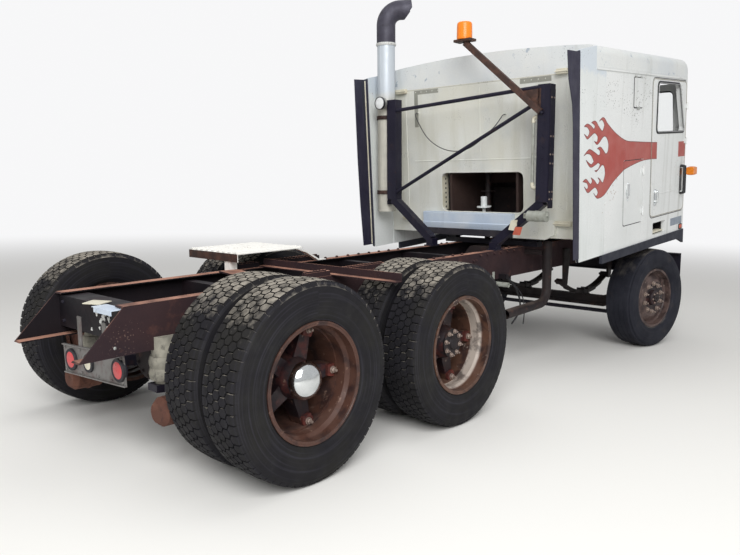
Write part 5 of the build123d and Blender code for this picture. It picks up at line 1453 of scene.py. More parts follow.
@dataclass(frozen=True)
class DriveWheelDress:
    """Rim clamps, nuts, hub bolts and the chromed cap of the cast spoke wheels."""

    spokes: int = 5
    clamp_r: float = 262.0
    clamp_y: Pair = (-1034.0, -1011.0)
    stud_ring: float = 78.0
    rim_edge: float = -1183.0

    def clamps(self) -> Shape:
        """Wedge clamps on the spoke ends, each an eased six-sided plate turned to its spoke.

        Returns:
            The clamps of one wheel.
        """
        foot = [(-30, -34), (30, -34), (38, 8), (24, 30), (-24, 30), (-38, 8)]
        one = prism(rounded(foot, 5, 3), *self.clamp_y, "y").at((0, 0, self.clamp_r))
        return join([one.turned("Y", 90 + k * 360 / self.spokes) for k in range(self.spokes)])

    def ring_of(self, nut: Shape, count: int, radius: float, y: float, start: float = 0.0) -> Shape:
        """Copy a nut round a circle, facing outwards.

        Args:
            nut: what is copied.
            count: how many.
            radius: of the circle.
            y: the circle's place along the axle.
            start: angle of the first, in degrees.

        Returns:
            All copies as one shape.
        """
        t = np.radians(start + np.arange(count) * 360 / count)
        places = spread(radius * np.sin(t), y, radius * np.cos(t))
        return stamp(nut, places, (0, -1, 0))

    def cap(self) -> Shape:
        """The pressed cap: a dome through the profile's corners, a hair outside the hub's own."""
        bend = smooth_path([(-1088, 107), (-1100, 105), (-1115, 99), (-1130, 88), (-1143, 71), (-1152, 49),
                            (-1158, 24)], 4)
        return lathe([(-1084, 0), (-1084, 106), *bend, (-1160, 0)], 72)

    def flange(self) -> Shape:
        """The axle shaft's flange that closes an uncapped hub, with its raised centre."""
        return lathe([(-1084, 0), (-1084, 95), (-1094, 95), (-1096, 92), (-1096, 44), (-1100, 40),
                      (-1108, 37), (-1110, 34), (-1110, 0)], 48)

    def lip(self) -> Shape:
        """The side ring pressed over the rim's outer edge: a bead of round section with a gap-free seam."""
        return lathe([(self.rim_edge + 1, 313), (self.rim_edge - 3, 316), (self.rim_edge - 4.5, 321),
                      (self.rim_edge - 3, 325), (self.rim_edge + 2, 326), (self.rim_edge + 9, 325)], 96)

    def build(self) -> None:
        """Dress all four drive wheels."""
        nuts = self.ring_of(bolt(19, 0.8), self.spokes, self.clamp_r + 2, self.clamp_y[0], 90)
        for side, sign in SIDES:
            for row, x, finish in (("rear", 0.0, WHEEL_REAR), ("mid", TANDEM, WHEEL_MID)):
                seat, body = Seat(origin=(x, 0, REAR_Z), mirrored=sign > 0), f"{row}_wheels_{side}"
                make_piece(f"{row}_rim_clamps_{side}", self.clamps(), CLAMP, seat, body)
                make_piece(f"{row}_clamp_nuts_{side}", nuts, NUT, seat, body)
                make_piece(f"{row}_rim_lip_{side}", self.lip(), finish, seat, body)
                if row == "rear":
                    make_piece(f"hub_cap_{side}", self.cap(), CHROME, seat, body)
                    continue
                make_piece(f"shaft_flange_{side}", self.flange(), IRON, seat, body)
                studs = self.ring_of(bolt(15, 0.9), 8, self.stud_ring, -1095.0, 12)
                make_piece(f"flange_nuts_{side}", studs, NUT, seat, body)


@dataclass(frozen=True)
class SteerWheelDress:
    """Wheel nuts, hub bolts and oil cap of the front disc wheels, drawn about the kingpin."""

    disc_y: float = -201.6
    nut_ring: float = 143.0
    hub_end: float = -240.0

    def build(self) -> None:
        """Dress both front wheels."""
        ring = DriveWheelDress().ring_of
        nuts = ring(bolt(22, 0.9), 10, self.nut_ring, self.disc_y)
        small = ring(bolt(9, 0.2), 6, 50, self.hub_end + 0.4, 20)
        cap = lathe([(self.hub_end + 0.5, 0), (self.hub_end + 0.5, 40), (self.hub_end - 12, 38),
                     (self.hub_end - 17, 33), (self.hub_end - 17, 12), (self.hub_end - 24, 10),
                     (self.hub_end - 24, 0)], 40)
        for side, sign in SIDES:
            seat = Seat(origin=(FRONT_X, sign * KINGPIN_Y, FRONT_Z), turn=-STEER_REST, mirrored=sign > 0)
            body = f"front_wheel_{side}"
            make_piece(f"wheel_nuts_{side}", nuts, NUT, seat, body)
            make_piece(f"hub_bolts_{side}", small, NUT, seat, body)
            make_piece(f"oil_cap_{side}", cap, IRON, seat, body)


@dataclass(frozen=True)
class Flames:
    """Red flames and stripe on the cab's sides, with a dark line, cut at the gaps round door and hatch."""

    # Each edge is a smooth curve from tip to tip, in the cab's (x, z), from the door round to the door
    edges: tuple[tuple[Pair, ...], ...] = (
        ((4687, 2039), (4490, 2045), (4154, 2059), (3932, 2074), (3720, 2138), (3547, 2220), (3480, 2267),
         (3439, 2276), (3405, 2265), (3374, 2246)),
        ((3374, 2246), (3420, 2258), (3470, 2220), (3448, 2176), (3423, 2167), (3361, 2204), (3315, 2240),
         (3276, 2248), (3224, 2236)),
        ((3224, 2236), (3271, 2221), (3288, 2204), (3267, 2184), (3211, 2210), (3145, 2225), (3090, 2205)),
        ((3090, 2205), (3151, 2197), (3187, 2161), (3164, 2128), (3142, 2124), (3091, 2145)),
        ((3091, 2145), (3132, 2111), (3164, 2107), (3229, 2134), (3284, 2151), (3341, 2123), (3337, 2082),
         (3320, 2075), (3278, 2084)),
        ((3278, 2084), (3332, 2056), (3388, 2078), (3456, 2118), (3515, 2112), (3559, 2056), (3549, 1992),
         (3508, 1972), (3460, 2002), (3401, 2033), (3339, 2022)),
        ((3339, 2022), (3373, 2013), (3394, 1990), (3369, 1964), (3286, 1993), (3202, 2018), (3156, 2009),
         (3091, 1973)),
        ((3091, 1973), (3129, 1984), (3171, 1985), (3222, 1971), (3270, 1922), (3252, 1904), (3216, 1896),
         (3130, 1934)),
        ((3130, 1934), (3188, 1883), (3239, 1873), (3326, 1894), (3356, 1903), (3395, 1887), (3365, 1853),
         (3328, 1841), (3294, 1841)),
        ((3294, 1841), (3328, 1831), (3387, 1859), (3439, 1882), (3478, 1867), (3499, 1804), (3467, 1741),
         (3444, 1732), (3398, 1763), (3356, 1779)),
        ((3356, 1779), (3383, 1759), (3387, 1743), (3350, 1721), (3293, 1758), (3223, 1787)),
        ((3223, 1787), (3246, 1758), (3228, 1736), (3210, 1734), (3159, 1767), (3123, 1780), (3074, 1763)),
        ((3074, 1763), (3113, 1756), (3149, 1746), (3171, 1715), (3146, 1696), (3100, 1720)),
        ((3100, 1720), (3143, 1679), (3179, 1666), (3244, 1687), (3310, 1700), (3359, 1657), (3334, 1625),
         (3308, 1632), (3278, 1654)),
        ((3278, 1654), (3327, 1614), (3380, 1604), (3494, 1627), (3665, 1721), (3842, 1794), (3944, 1826),
         (4274, 1875), (4501, 1885), (4687, 1882)))
    line_width: float = 6.0
    coat: float = 0.5
    door_gap: Pair = (4535.0, 4542.0)
    hatch_gap: tuple[Pair, ...] = ((3894.0, 3901.0), (4338.0, 4345.0), (1891.0, 1898.0))
    stripe_door: Pair = (5287.0, 5489.0)
    stripe_pillar: Pair = (5496.0, 5552.0)
    stripe_z: Pair = (1877.0, 2033.0)
    corner: Triple = (5480.0, -1023.0, 120.0)

    def regions(self) -> dict[str, list[tuple[Triple, Triple]]]:
        """Cutting planes for each stretch of panel between the gaps, by the name of the stretch.

        Returns:
            For each stretch the planes, as a point and the direction that is cut away.
        """
        (rear_out, rear_in), (front_in, front_out), (low, high) = self.hatch_gap
        left, right, down, up = (-1, 0, 0), (1, 0, 0), (0, 0, -1), (0, 0, 1)
        return {
            "cab_rear": [((rear_out, 0, 0), right)],
            "cab_over_hatch": [((rear_out, 0, 0), left), ((front_out, 0, 0), right), ((0, 0, high), down)],
            "cab_ahead": [((front_out, 0, 0), left), ((self.door_gap[0], 0, 0), right)],
            "hatch": [((rear_in, 0, 0), left), ((front_in, 0, 0), right), ((0, 0, low), up),
                      ((rear_in + 4, 0, low), (-1, 0, 1)), ((front_in - 4, 0, low), (1, 0, 1))],
            "door": [((self.door_gap[1], 0, 0), left)]}

    def paint(self, name: str, sheet: Shape, finish: Finish, raised: float) -> None:
        """Cut a flat sheet at the gaps, thicken what is left and put it on its bodies.

        Args:
            name: start of the pieces' names.
            sheet: the sheet on the right-hand side panel.
            finish: the paint.
            raised: the coat's thickness in mm.
        """
        for stretch, planes in self.regions().items():
            part = cut_to(sheet, planes)
            if not part.faces:
                continue
            coat = thickened(part, (0, -raised, 0))
            for side, sign in SIDES:
                body = "cab" if stretch.startswith("cab") else f"{stretch}_{side}"
                seat = Seat(Datum.CAB, mirrored=sign > 0)
                make_piece(f"{name}_{stretch}_{side}", coat, finish, seat, body)

    def build(self) -> None:
        """Paint the flames, their dark line, and the stripe ahead of the bare place on the door."""
        curves = [smooth_path(edge, 5) for edge in self.edges]
        outline = np.concatenate([c[:-1] for c in curves] + [curves[-1][-1:]])
        self.paint("flame", filled(outline), RED, self.coat)
        strips = []
        for curve in curves:
            way = np.gradient(curve, axis=0)
            way /= np.linalg.norm(way, axis=1, keepdims=True)
            across = np.column_stack([-way[:, 1], way[:, 0]]) * self.line_width / 2
            strips.append(grid(np.stack([on_side(curve - across, 0.1), on_side(curve + across, 0.1)], 1)))
        self.paint("flame_line", join(strips), PINLINE, self.coat + 0.3)
        z0, z1 = self.stripe_z
        band = plate(corners(*self.stripe_door, z0, z1), self.coat, 3)
        x, centre_y, r = np.linspace(*self.stripe_pillar, 12), self.corner[1], self.corner[2]
        y = centre_y - np.sqrt(r ** 2 - np.maximum(x - self.corner[0], 0) ** 2)
        rows = [spread(x, y - out, z) for z, out in ((z0, 0.1), (z1, 0.1), (z1, 0.7), (z0, 0.7))]
        wrap = grid(np.stack(rows, 1), close_v=True)
        n = len(x)
        wrap.faces += [(0, 1, 2, 3), tuple(range(4 * n - 4, 4 * n))]
        for side, sign in SIDES:
            seat = Seat(Datum.CAB, mirrored=sign > 0)
            make_piece(f"stripe_door_{side}", band, RED, seat, f"door_{side}")
            make_piece(f"stripe_pillar_{side}", wrap, RED, seat, "cab")


@dataclass(frozen=True)
class CabSides:
    """Trim on side walls, doors and hatches: gaskets, seals, handles, vent, lamps, rivets and treads."""

    window: tuple[Pair, ...] = ((4661, 2132), (5436, 2132), (5276, 2611), (4681, 2611))
    door: Quad = (4542, 5489, 1310, 2646)
    hatch: Quad = (3901, 4338, 1306, 1891)
    vent: Quad = (4096, 4280, 2368, 2629)
    hatch_handle: Pair = (3991, 1626)
    door_handle: Pair = (4672, 1511)
    step_hole: Quad = (4631, 4971, 1130, 1250)
    flap_right: tuple[Pair, ...] = ((2933, 1131), (2926, 1559), (2916, 2214), (2900, 2379), (2833, 2574),
                                    (2813, 2783))
    flap_left: tuple[Pair, ...] = ((2858, 1131), (2838, 1545), (2830, 1990), (2835, 2783))
    flap_z: Pair = (1131, 2783)
    flap_root: float = 3024
    crease_x: Pair = (4690, 5286)
    crease_z: float = 1535
    plate_box: Quad = (5118, 5452, 1168, 1246)
    marker_box: Quad = (5364, 5458, 1106, 1164)
    lamp_box: tuple[Triple, Triple] = ((5514, -1232, 1668), (5630, -1152, 1764))
    gutter_x: Pair = (BACK_X + 5, 5440)
    gutter_z: float = 2664
    # Rivets: from, to and step along x with their z, then x with from, to and step along z
    rivet_rows_at: tuple[tuple[Triple, float], ...] = (((3345, 5420, 62), 2694), ((3540, 4500, 85), 1128))
    rivet_posts_at: tuple[tuple[float, Triple], ...] = (
        (3523, (1180, 1590, 74)), (3523, (2300, 2650, 74)), (3855, (2130, 2640, 78)),
        (4383, (1330, 1840, 78)), (4383, (2100, 2640, 78)))
    liner_y: Pair = (-1104.0, -1012.0)
    grab_at: Pair = (5379.0, -1185.0)
    grab_z: Pair = (1496, 1778)

    def window_trim(self) -> tuple[Shape, Shape]:
        """The window's dark gasket, and the bright lip inside it.

        Returns:
            The gasket and the lip.
        """
        outline = on_side(rounded(self.window, 47, 8), 0)
        gasket = sweep(outline, np.array([(-13, 0), (13, 0), (13, 3), (8, 6), (-9, 6), (-13, 3)]),
                       (0, -1, 0), closed=True)
        middle = outline.mean(0)
        inner = middle + (outline - middle) * 0.975
        lip = sweep(inner + (0, -5, 0), ring_profile(3.2, 8), (0, -1, 0), closed=True)
        return gasket, lip

    def door_edge(self) -> Shape:
        """A rubber bead that follows the door's outline just outside its gap.

        Returns:
            The bead.
        """
        x0, x1, z0, z1 = self.door
        outline = on_side(rounded([(x0 + 7, z0 + 7), (x1 - 7, z0 + 7), (x1 - 7, z1 - 7), (x0 + 7, z1 - 7)],
                                  66, 8), 0)
        return sweep(outline, np.array([(-3.5, 0), (3.5, 0), (2.5, 2.2), (-2.5, 2.2)]), (0, -1, 0),
                     closed=True)

    def crease(self) -> Shape:
        """The pressed rib low on the door, a half-round swelling that thins out at both ends.

        Returns:
            The rib, closed at its back.
        """
        x = np.linspace(*self.crease_x, 40)
        t = np.linspace(0, np.pi, 9)
        thin = np.sin(np.pi * (x - x[0]) / (x[-1] - x[0])) ** 0.25
        height, width = 3.2 * thin, 7.0 * np.maximum(thin, 0.3)
        y = -CAB_HALF - height[:, None] * np.sin(t)
        z = self.crease_z + width[:, None] * np.cos(t)
        points = np.stack([np.broadcast_to(x[:, None], y.shape), y, z], -1)
        return thickened(grid(points), (0, 0.4, 0))

    def diamond(self) -> tuple[Shape, Shape]:
        """The hatch's folding handle, standing on its bright diamond plate with two rivets.

        Returns:
            The plate with its rivets, and the handle.
        """
        cx, cz = self.hatch_handle
        flat = np.array([(-42, 0), (0, -92), (42, 0), (0, 92)]) + (cx, cz - 16)
        rivets = stamp(dome(5, 3), on_side([(cx, cz - 90), (cx, cz + 62)], 2.4), (0, -1, 0))
        bar = block((cx - 21, -CAB_HALF - 14.5, cz - 56), (cx + 21, -CAB_HALF - 1, cz + 56), 5)
        return join([plate(flat, 2.4, 12), rivets]), bar

    def door_pull(self) -> tuple[Shape, Shape]:
        """The door's pull: a backing plate, a bright bar bent out from it, and the lock's round face.

        Returns:
            The backing plate, and the bar with the lock.
        """
        cx, cz = self.door_handle
        base = plate(corners(cx - 36, cx + 30, cz - 92, cz + 72), 3, 22)
        path = [(cx, -CAB_HALF - 2, cz - 52), (cx, -CAB_HALF - 16, cz - 52), (cx, -CAB_HALF - 22, cz - 44),
                (cx, -CAB_HALF - 22, cz + 44), (cx, -CAB_HALF - 16, cz + 52), (cx, -CAB_HALF - 2, cz + 52)]
        bar = sweep(smooth_path(path, 4), ring_profile(10.6, 12), (1, 0, 0))
        lock = lathe([(0, 0), (0, 13), (-5, 12), (-5, 4), (-4, 3), (-4, 0)],
                     24).at((cx, -CAB_HALF - 2.5, cz - 76))
        return base, join([bar, lock])

    def vent_panel(self) -> tuple[Shape, Shape, Shape]:
        """The sleeper's hinged vent: a dark seal, a raised pale panel, and its latch and hinges.

        Returns:
            The seal, the panel, and the latch with the hinges.
        """
        x0, x1, z0, z1 = self.vent
        seal = plate(corners(x0 - 9, x1 + 9, z0 - 9, z1 + 9), 2.6, 20)
        panel = plate(corners(x0, x1, z0, z1), 5.0, 16, 2.4)
        latch = block((x0 + 66, -CAB_HALF - 11, z0 - 22), (x0 + 118, -CAB_HALF - 3, z0 + 6), 3)
        hinges = [block((x, -CAB_HALF - 9, z1 - 4), (x + 36, -CAB_HALF - 1, z1 + 16), 3)
                  for x in (x0 + 14, x1 - 50)]
        return seal, panel, join([latch, *hinges])

    def small_plate(self) -> Shape:
        """The blank plate under the door, with a rivet at each corner.

        Returns:
            The plate with its rivets.
        """
        x0, x1, z0, z1 = self.plate_box
        flat = plate(corners(x0, x1, z0, z1), 1.6, 5)
        spots = on_side(corners(x0 + 8, x1 - 8, z0 + 8, z1 - 8), 1.6)
        return join([flat, stamp(dome(4, 2.4), spots, (0, -1, 0))])

    def marker(self) -> tuple[Shape, Shape]:
        """A small amber side marker: a domed lens on a dark base.

        Returns:
            The base and the lens.
        """
        x0, x1, z0, z1 = self.marker_box
        x, z = (x0 + x1) / 2, (z0 + z1) / 2
        base = plate(corners(x0, x1, z0, z1), 6, 16)
        rings = [on_side(rounded(corners(x - 40 * f, x + 40 * f, z - 22 * f, z + 22 * f), 14 * f, 5),
                         4 + 11 * math.sqrt(1 - f * f)) for f in np.maximum(np.linspace(0, 1, 7), 0.02)]
        lens = thickened(grid(np.stack(rings), close_v=True), (0, 2, 0))
        return base, lens

    def side_lamp(self) -> Shape:
        """The big amber lamp behind the windscreen pillar, as a crowned block round the CAD lamp."""
        pad = cushion(*self.lamp_box, 0.2)
        return Shape(pad.points, pad.faces)

    def flap(self, edge_points: Sequence[Pair]) -> Shape:
        """The long rubber flap down the fairing's rear edge: a strip from a curved free edge to the fairing.

        Args:
            edge_points: (x, z) along the free edge, from the foot up.

        Returns:
            The strip, thicker at its root, on the right-hand side.
        """
        z = np.linspace(*self.flap_z, 60)
        edge = np.interp(z, *np.array(edge_points).T[::-1])
        root = self.flap_root
        rows = [spread(x, y, z) for x, y in (
            (edge, -1134.0), (edge + 2, -1139.0), (root, -1139.5), (root, -1123.0), (edge + 2, -1129.0))]
        strip = grid(np.stack(rows, 1), close_v=True)
        n = len(z)
        strip.faces += [tuple(range(5)), tuple(range(5 * n - 5, 5 * n))[::-1]]
        return strip

    def flap_bead(self) -> Shape:
        """The pale bead that holds the flap to the fairing, on its inner side."""
        path = np.linspace((2974, -1122.5, 1140), (2974, -1122.5, 2770), 30)
        return sweep(path, np.array([(-7, 0), (7, 0), (6, 4), (-6, 4)]), (0, 1, 0))

    def gap(self, opening: Quad, radius: float) -> Shape:
        """Old black rubber in the gap round a door, along its rear, top and bottom edges.

        Args:
            opening: the door's x and z limits.
            radius: of its corners.

        Returns:
            A square bead that fills the gap from the panel's edge, a hair proud of the panel.
        """
        x0, x1, z0, z1 = opening
        turns = rounded(corners(x0 - 3.5, x1 + 3.5, z0 - 3.5, z1 + 3.5), radius, 6)
        path = np.concatenate([[(x1 - 40, z1 + 3.5)], turns[18:24], turns[0:6], [(x1 - 40, z0 - 3.5)]])
        return sweep(on_side(path), np.array([(-2.8, -5), (4.2, -5), (4.2, 0.3), (-2.8, 0.3)]), (0, -1, 0))

    def gutter(self) -> Shape:
        """The roof's drip rail: a small hooked channel along the seam."""
        path = spread(np.linspace(*self.gutter_x, 60), -CAB_HALF, self.gutter_z)
        return sweep(path, np.array([(0, 0), (9, 0), (9, 16), (6.5, 16), (6.5, 3), (0, 3)]), (0, 0, 1))

    def rivet_rows(self) -> Shape:
        """Rows of dome rivets along the roof seam, the fairing's joint and the wall's lower edge.

        Returns:
            All of the rivets.
        """
        rows = [spread(np.arange(*run), z) for run, z in self.rivet_rows_at]
        posts = [spread(x, np.arange(*run)) for x, run in self.rivet_posts_at]
        return stamp(dome(5.5, 2.6, 8), on_side(np.concatenate(rows + posts), 0), (0, -1, 0))

    def tread_bar(self) -> Shape:
        """The step's tread: a channel whose top carries a row of raised teeth.

        Returns:
            The channel with its teeth.
        """
        x0, x1, z0, _ = self.step_hole
        top = z0 + 26
        bar = block((x0 + 9, -1120, z0 + 10), (x1 - 9, -1050, top), 3)
        teeth = np.stack(np.meshgrid(np.arange(x0 + 26, x1 - 20, 22), (-1108, -1086, -1063), (top,)),
                         -1).reshape(-1, 3)
        return join([bar, stamp(dome(7, 4, 8), teeth, (0, 0, 1))])

    def step_liner(self) -> Shape:
        """The folded box behind the step's opening: back, floor, roof and two ends.

        Returns:
            The liner, closed at its back.
        """
        x0, x1, z0, z1 = self.step_hole
        outline = rounded(corners(x0 - 6, x1 + 6, z0 - 6, z1 + 6), 10, 4)
        mouth, back = self.liner_y
        centre = np.broadcast_to(outline.mean(0), outline.shape)
        rows = ((outline, mouth), (outline, back), (centre, back))
        rings = [spread(flat[:, 0], y, flat[:, 1]) for flat, y in rows]
        return thickened(grid(np.stack(rings), close_v=True), (0, 2, 0))

    def grab(self) -> Shape:
        """Black sleeve over the door's grab handle, on its long oval plate.

        Returns:
            The sleeve and its plate.
        """
        (x, y), (z0, z1), wall = self.grab_at, self.grab_z, -CAB_HALF - 2
        path = [(x, wall, z0), (x, y + 22, z0 + 1), (x, y + 5, z0 + 7), (x, y, z0 + 26), (x, y, z1 - 23),
                (x, y + 5, z1 - 7), (x, y + 22, z1 - 1), (x, wall, z1)]
        foot = plate(corners(x - 31, x + 31, z0 - 10, z1 + 10), 2.4, 30)
        return join([sweep(smooth_path(path, 5), ring_profile(15.2, 16) * (1, 1.45), (1, 0, 0)), foot])

    def build(self) -> None:
        """Put the trim on both sides."""
        gasket, lip = self.window_trim()
        diamond, latch = self.diamond()
        base, pull = self.door_pull()
        seal, panel, furniture = self.vent_panel()
        foot, lens = self.marker()
        on_door = (
            ("window_gasket_", gasket, GASKET), ("window_lip_", lip, STEEL_TRIM),
            ("door_seal_", self.door_edge(), DOOR_SEAL), ("door_crease_", self.crease(), WHITE),
            ("door_handle_base_", base, CHROME), ("door_handle_bar_", pull, CHROME),
            ("door_grab_sleeve_", self.grab(), GRIP))
        on_cab = (
            ("vent_seal_", seal, GASKET), ("vent_panel_", panel, WHITE),
            ("vent_latch_", furniture, PALE_METAL), ("drip_rail_", self.gutter(), WHITE),
            ("side_rivets_", self.rivet_rows(), WHITE),
            ("plate_under_door_", self.small_plate(), PLATE_GREY), ("marker_base_", foot, PLASTIC),
            ("marker_lens_", lens, ORANGE_CARD), ("step_tread_", self.tread_bar(), CREAM),
            ("step_liner_", self.step_liner(), PLASTIC),
            ("flap_bead_", self.flap_bead(), CREAM, "white_paint"),
            ("hatch_gap_", self.gap(self.hatch, 34), GASKET),
            ("door_gap_", self.gap(self.door, 70), GASKET), ("side_lamp_lens_", self.side_lamp(), AMBER))
        on_hatch = (("hatch_handle_plate_", diamond, CHROME), ("hatch_handle_bar_", latch, CHROME))
        for side, sign in SIDES:
            seat = Seat(Datum.CAB, mirrored=sign > 0)
            flap = self.flap(self.flap_left if side == "left" else self.flap_right)
            make_piece(f"fairing_flap_{side}", flap, FLAP, seat, "cab")
            make_all(on_door, seat, f"door_{side}", side)
            make_all(on_cab, seat, "cab", side)
            make_all(on_hatch, seat, f"hatch_{side}", side)


@dataclass(frozen=True)
class CabFront:
    """Windscreen rubbers, wipers, grille frame, headlamps and roof marker lamps."""

    lean_foot: Pair = (5600, 1906)
    lean_top: Pair = (5505, 2750)
    panes: Quad = (35, 1000, 1966, 2566)
    grille: Triple = (430, 1196, 1716)
    lamps_y: Pair = (690, 850)
    lamps_z: float = 1350.0
    lamp_plate: Pair = (580, 960)
    marker_x: float = 5370.0
    marker_z: float = 2919.0
    marker_y: tuple[float, ...] = (-820, -300, 0, 300, 820)

    def on_face(self, y: np.ndarray, z: np.ndarray, out: float = 0.0) -> np.ndarray:
        """Points on the leaning windscreen face: x falls in a straight line with z, then moves out.

        Args:
            y: across the cab.
            z: height.
            out: distance ahead of the face.

        Returns:
            An (n, 3) array.
        """
        (x0, z0), (x1, z1) = self.lean_foot, self.lean_top
        x = x0 + (np.asarray(z, float) - z0) / (z1 - z0) * (x1 - x0) + out
        return spread(x, y, z)

    def screen_rubbers(self) -> Shape:
        """A rubber round each pane.

        Returns:
            Both rubbers.
        """
        y0, y1, z0, z1 = self.panes
        rings = []
        for low, high in ((y0, y1), (-y1, -y0)):
            flat = rounded(corners(low, high, z0, z1), 60, 8)
            rings.append(sweep(self.on_face(flat[:, 0], flat[:, 1]), flat_profile(30, 7, 3), (1, 0, 0.11),
                               closed=True))
        return join(rings)

    def wipers(self) -> Shape:
        """Two parked wipers: pivot, tapering arm, and blade with its rubber.

        Returns:
            Both wipers.
        """
        parts = []
        for hand in (-1, 1):
            pivot = self.on_face([hand * 430], [1938], 6)[0]
            tip = self.on_face([hand * 250], [2120], 22)[0]
            parts.append(lathe([(0, 0), (0, 16), (18, 13), (20, 0)], 16).turned("Z", -90).at(pivot))
            parts.append(sweep(np.linspace(pivot + (12, 0, 0), tip, 8), flat_profile(12, 5, 1), (1, 0, 0)))
            ends = self.on_face([hand * 60, hand * 480], [2052, 2180], 20)
            parts.append(sweep(np.linspace(ends[0], ends[1], 10),
                               np.array([(-4, -12), (4, -12), (5, 2), (-5, 2)]), (1, 0, 0)))
        return join(parts)

    def grille_frame(self) -> Shape:
        """A bright rounded frame round the grille's opening.

        Returns:
            The frame.
        """
        half, z0, z1 = self.grille
        flat = rounded(corners(-half - 14, half + 14, z0 - 14, z1 + 14), 30, 6)
        path = spread(NOSE_X, *flat.T)
        return sweep(path, flat_profile(26, 8, 3), (1, 0, 0), closed=True)

    def headlamps(self) -> tuple[Shape, Shape]:
        """Twin round lamps a side: bright bezels over one plate, and domed clear lenses.

        Returns:
            The bezels, and the lenses.
        """
        bezels, lenses = [], []
        ring = lathe([(0, 76), (0, 95), (6, 95), (12, 88), (12, 80), (6, 76)], 40).turned("Z", -90)
        glass = lamp_lens(78, 12, 4, 9).turned("Z", -90)
        for hand in (-1, 1):
            low, high = sorted(hand * y for y in self.lamp_plate)
            outline = corners(low, high, self.lamps_z - 112, self.lamps_z + 112)
            bezels.append(prism(rounded(outline, 30), NOSE_X + 0.2, NOSE_X + 4, "x"))
            for y in self.lamps_y:
                place = (NOSE_X + 3, hand * y, self.lamps_z)
                bezels.append(ring.at(place))
                lenses.append(glass.at(place))
        return join(bezels), join(lenses)

    def roof_markers(self) -> tuple[Shape, Shape]:
        """Five amber markers over the windscreen, each a stretched dome on a pale foot.

        Returns:
            The feet, and the lenses.
        """
        foot = on_z(lathe([(0, 0), (0, 34), (8, 32), (8, 0)], 24)).scaled((1.5, 1, 1))
        t = np.linspace(0, np.pi / 2, 8)
        lens = on_z(lathe([(7, 0), *[(8 + 26 * math.sin(a), 28 * math.cos(a)) for a in t[:-1]], (34, 0)],
                          24)).scaled((1.5, 1, 1))
        y = np.array(self.marker_y)
        places = spread(self.marker_x, y, self.marker_z - 30 * (abs(y) / y.max()) ** 6)
        return stamp(foot, places, (0, 0, 1)), stamp(lens, places, (0, 0, 1))

    def build(self) -> None:
        """Dress the front and the roof's front edge."""
        bezels, lenses = self.headlamps()
        feet, ambers = self.roof_markers()
        make_all((
            ("screen_rubbers", self.screen_rubbers(), GASKET), ("wipers", self.wipers(), PLASTIC),
            ("grille_frame", self.grille_frame(), CHROME), ("headlamp_bezels", bezels, CHROME),
            ("headlamp_lenses", lenses, LAMP_CLEAR), ("roof_marker_feet", feet, PALE_METAL),
            ("roof_marker_lenses", ambers, AMBER)), ON_CAB, "cab")


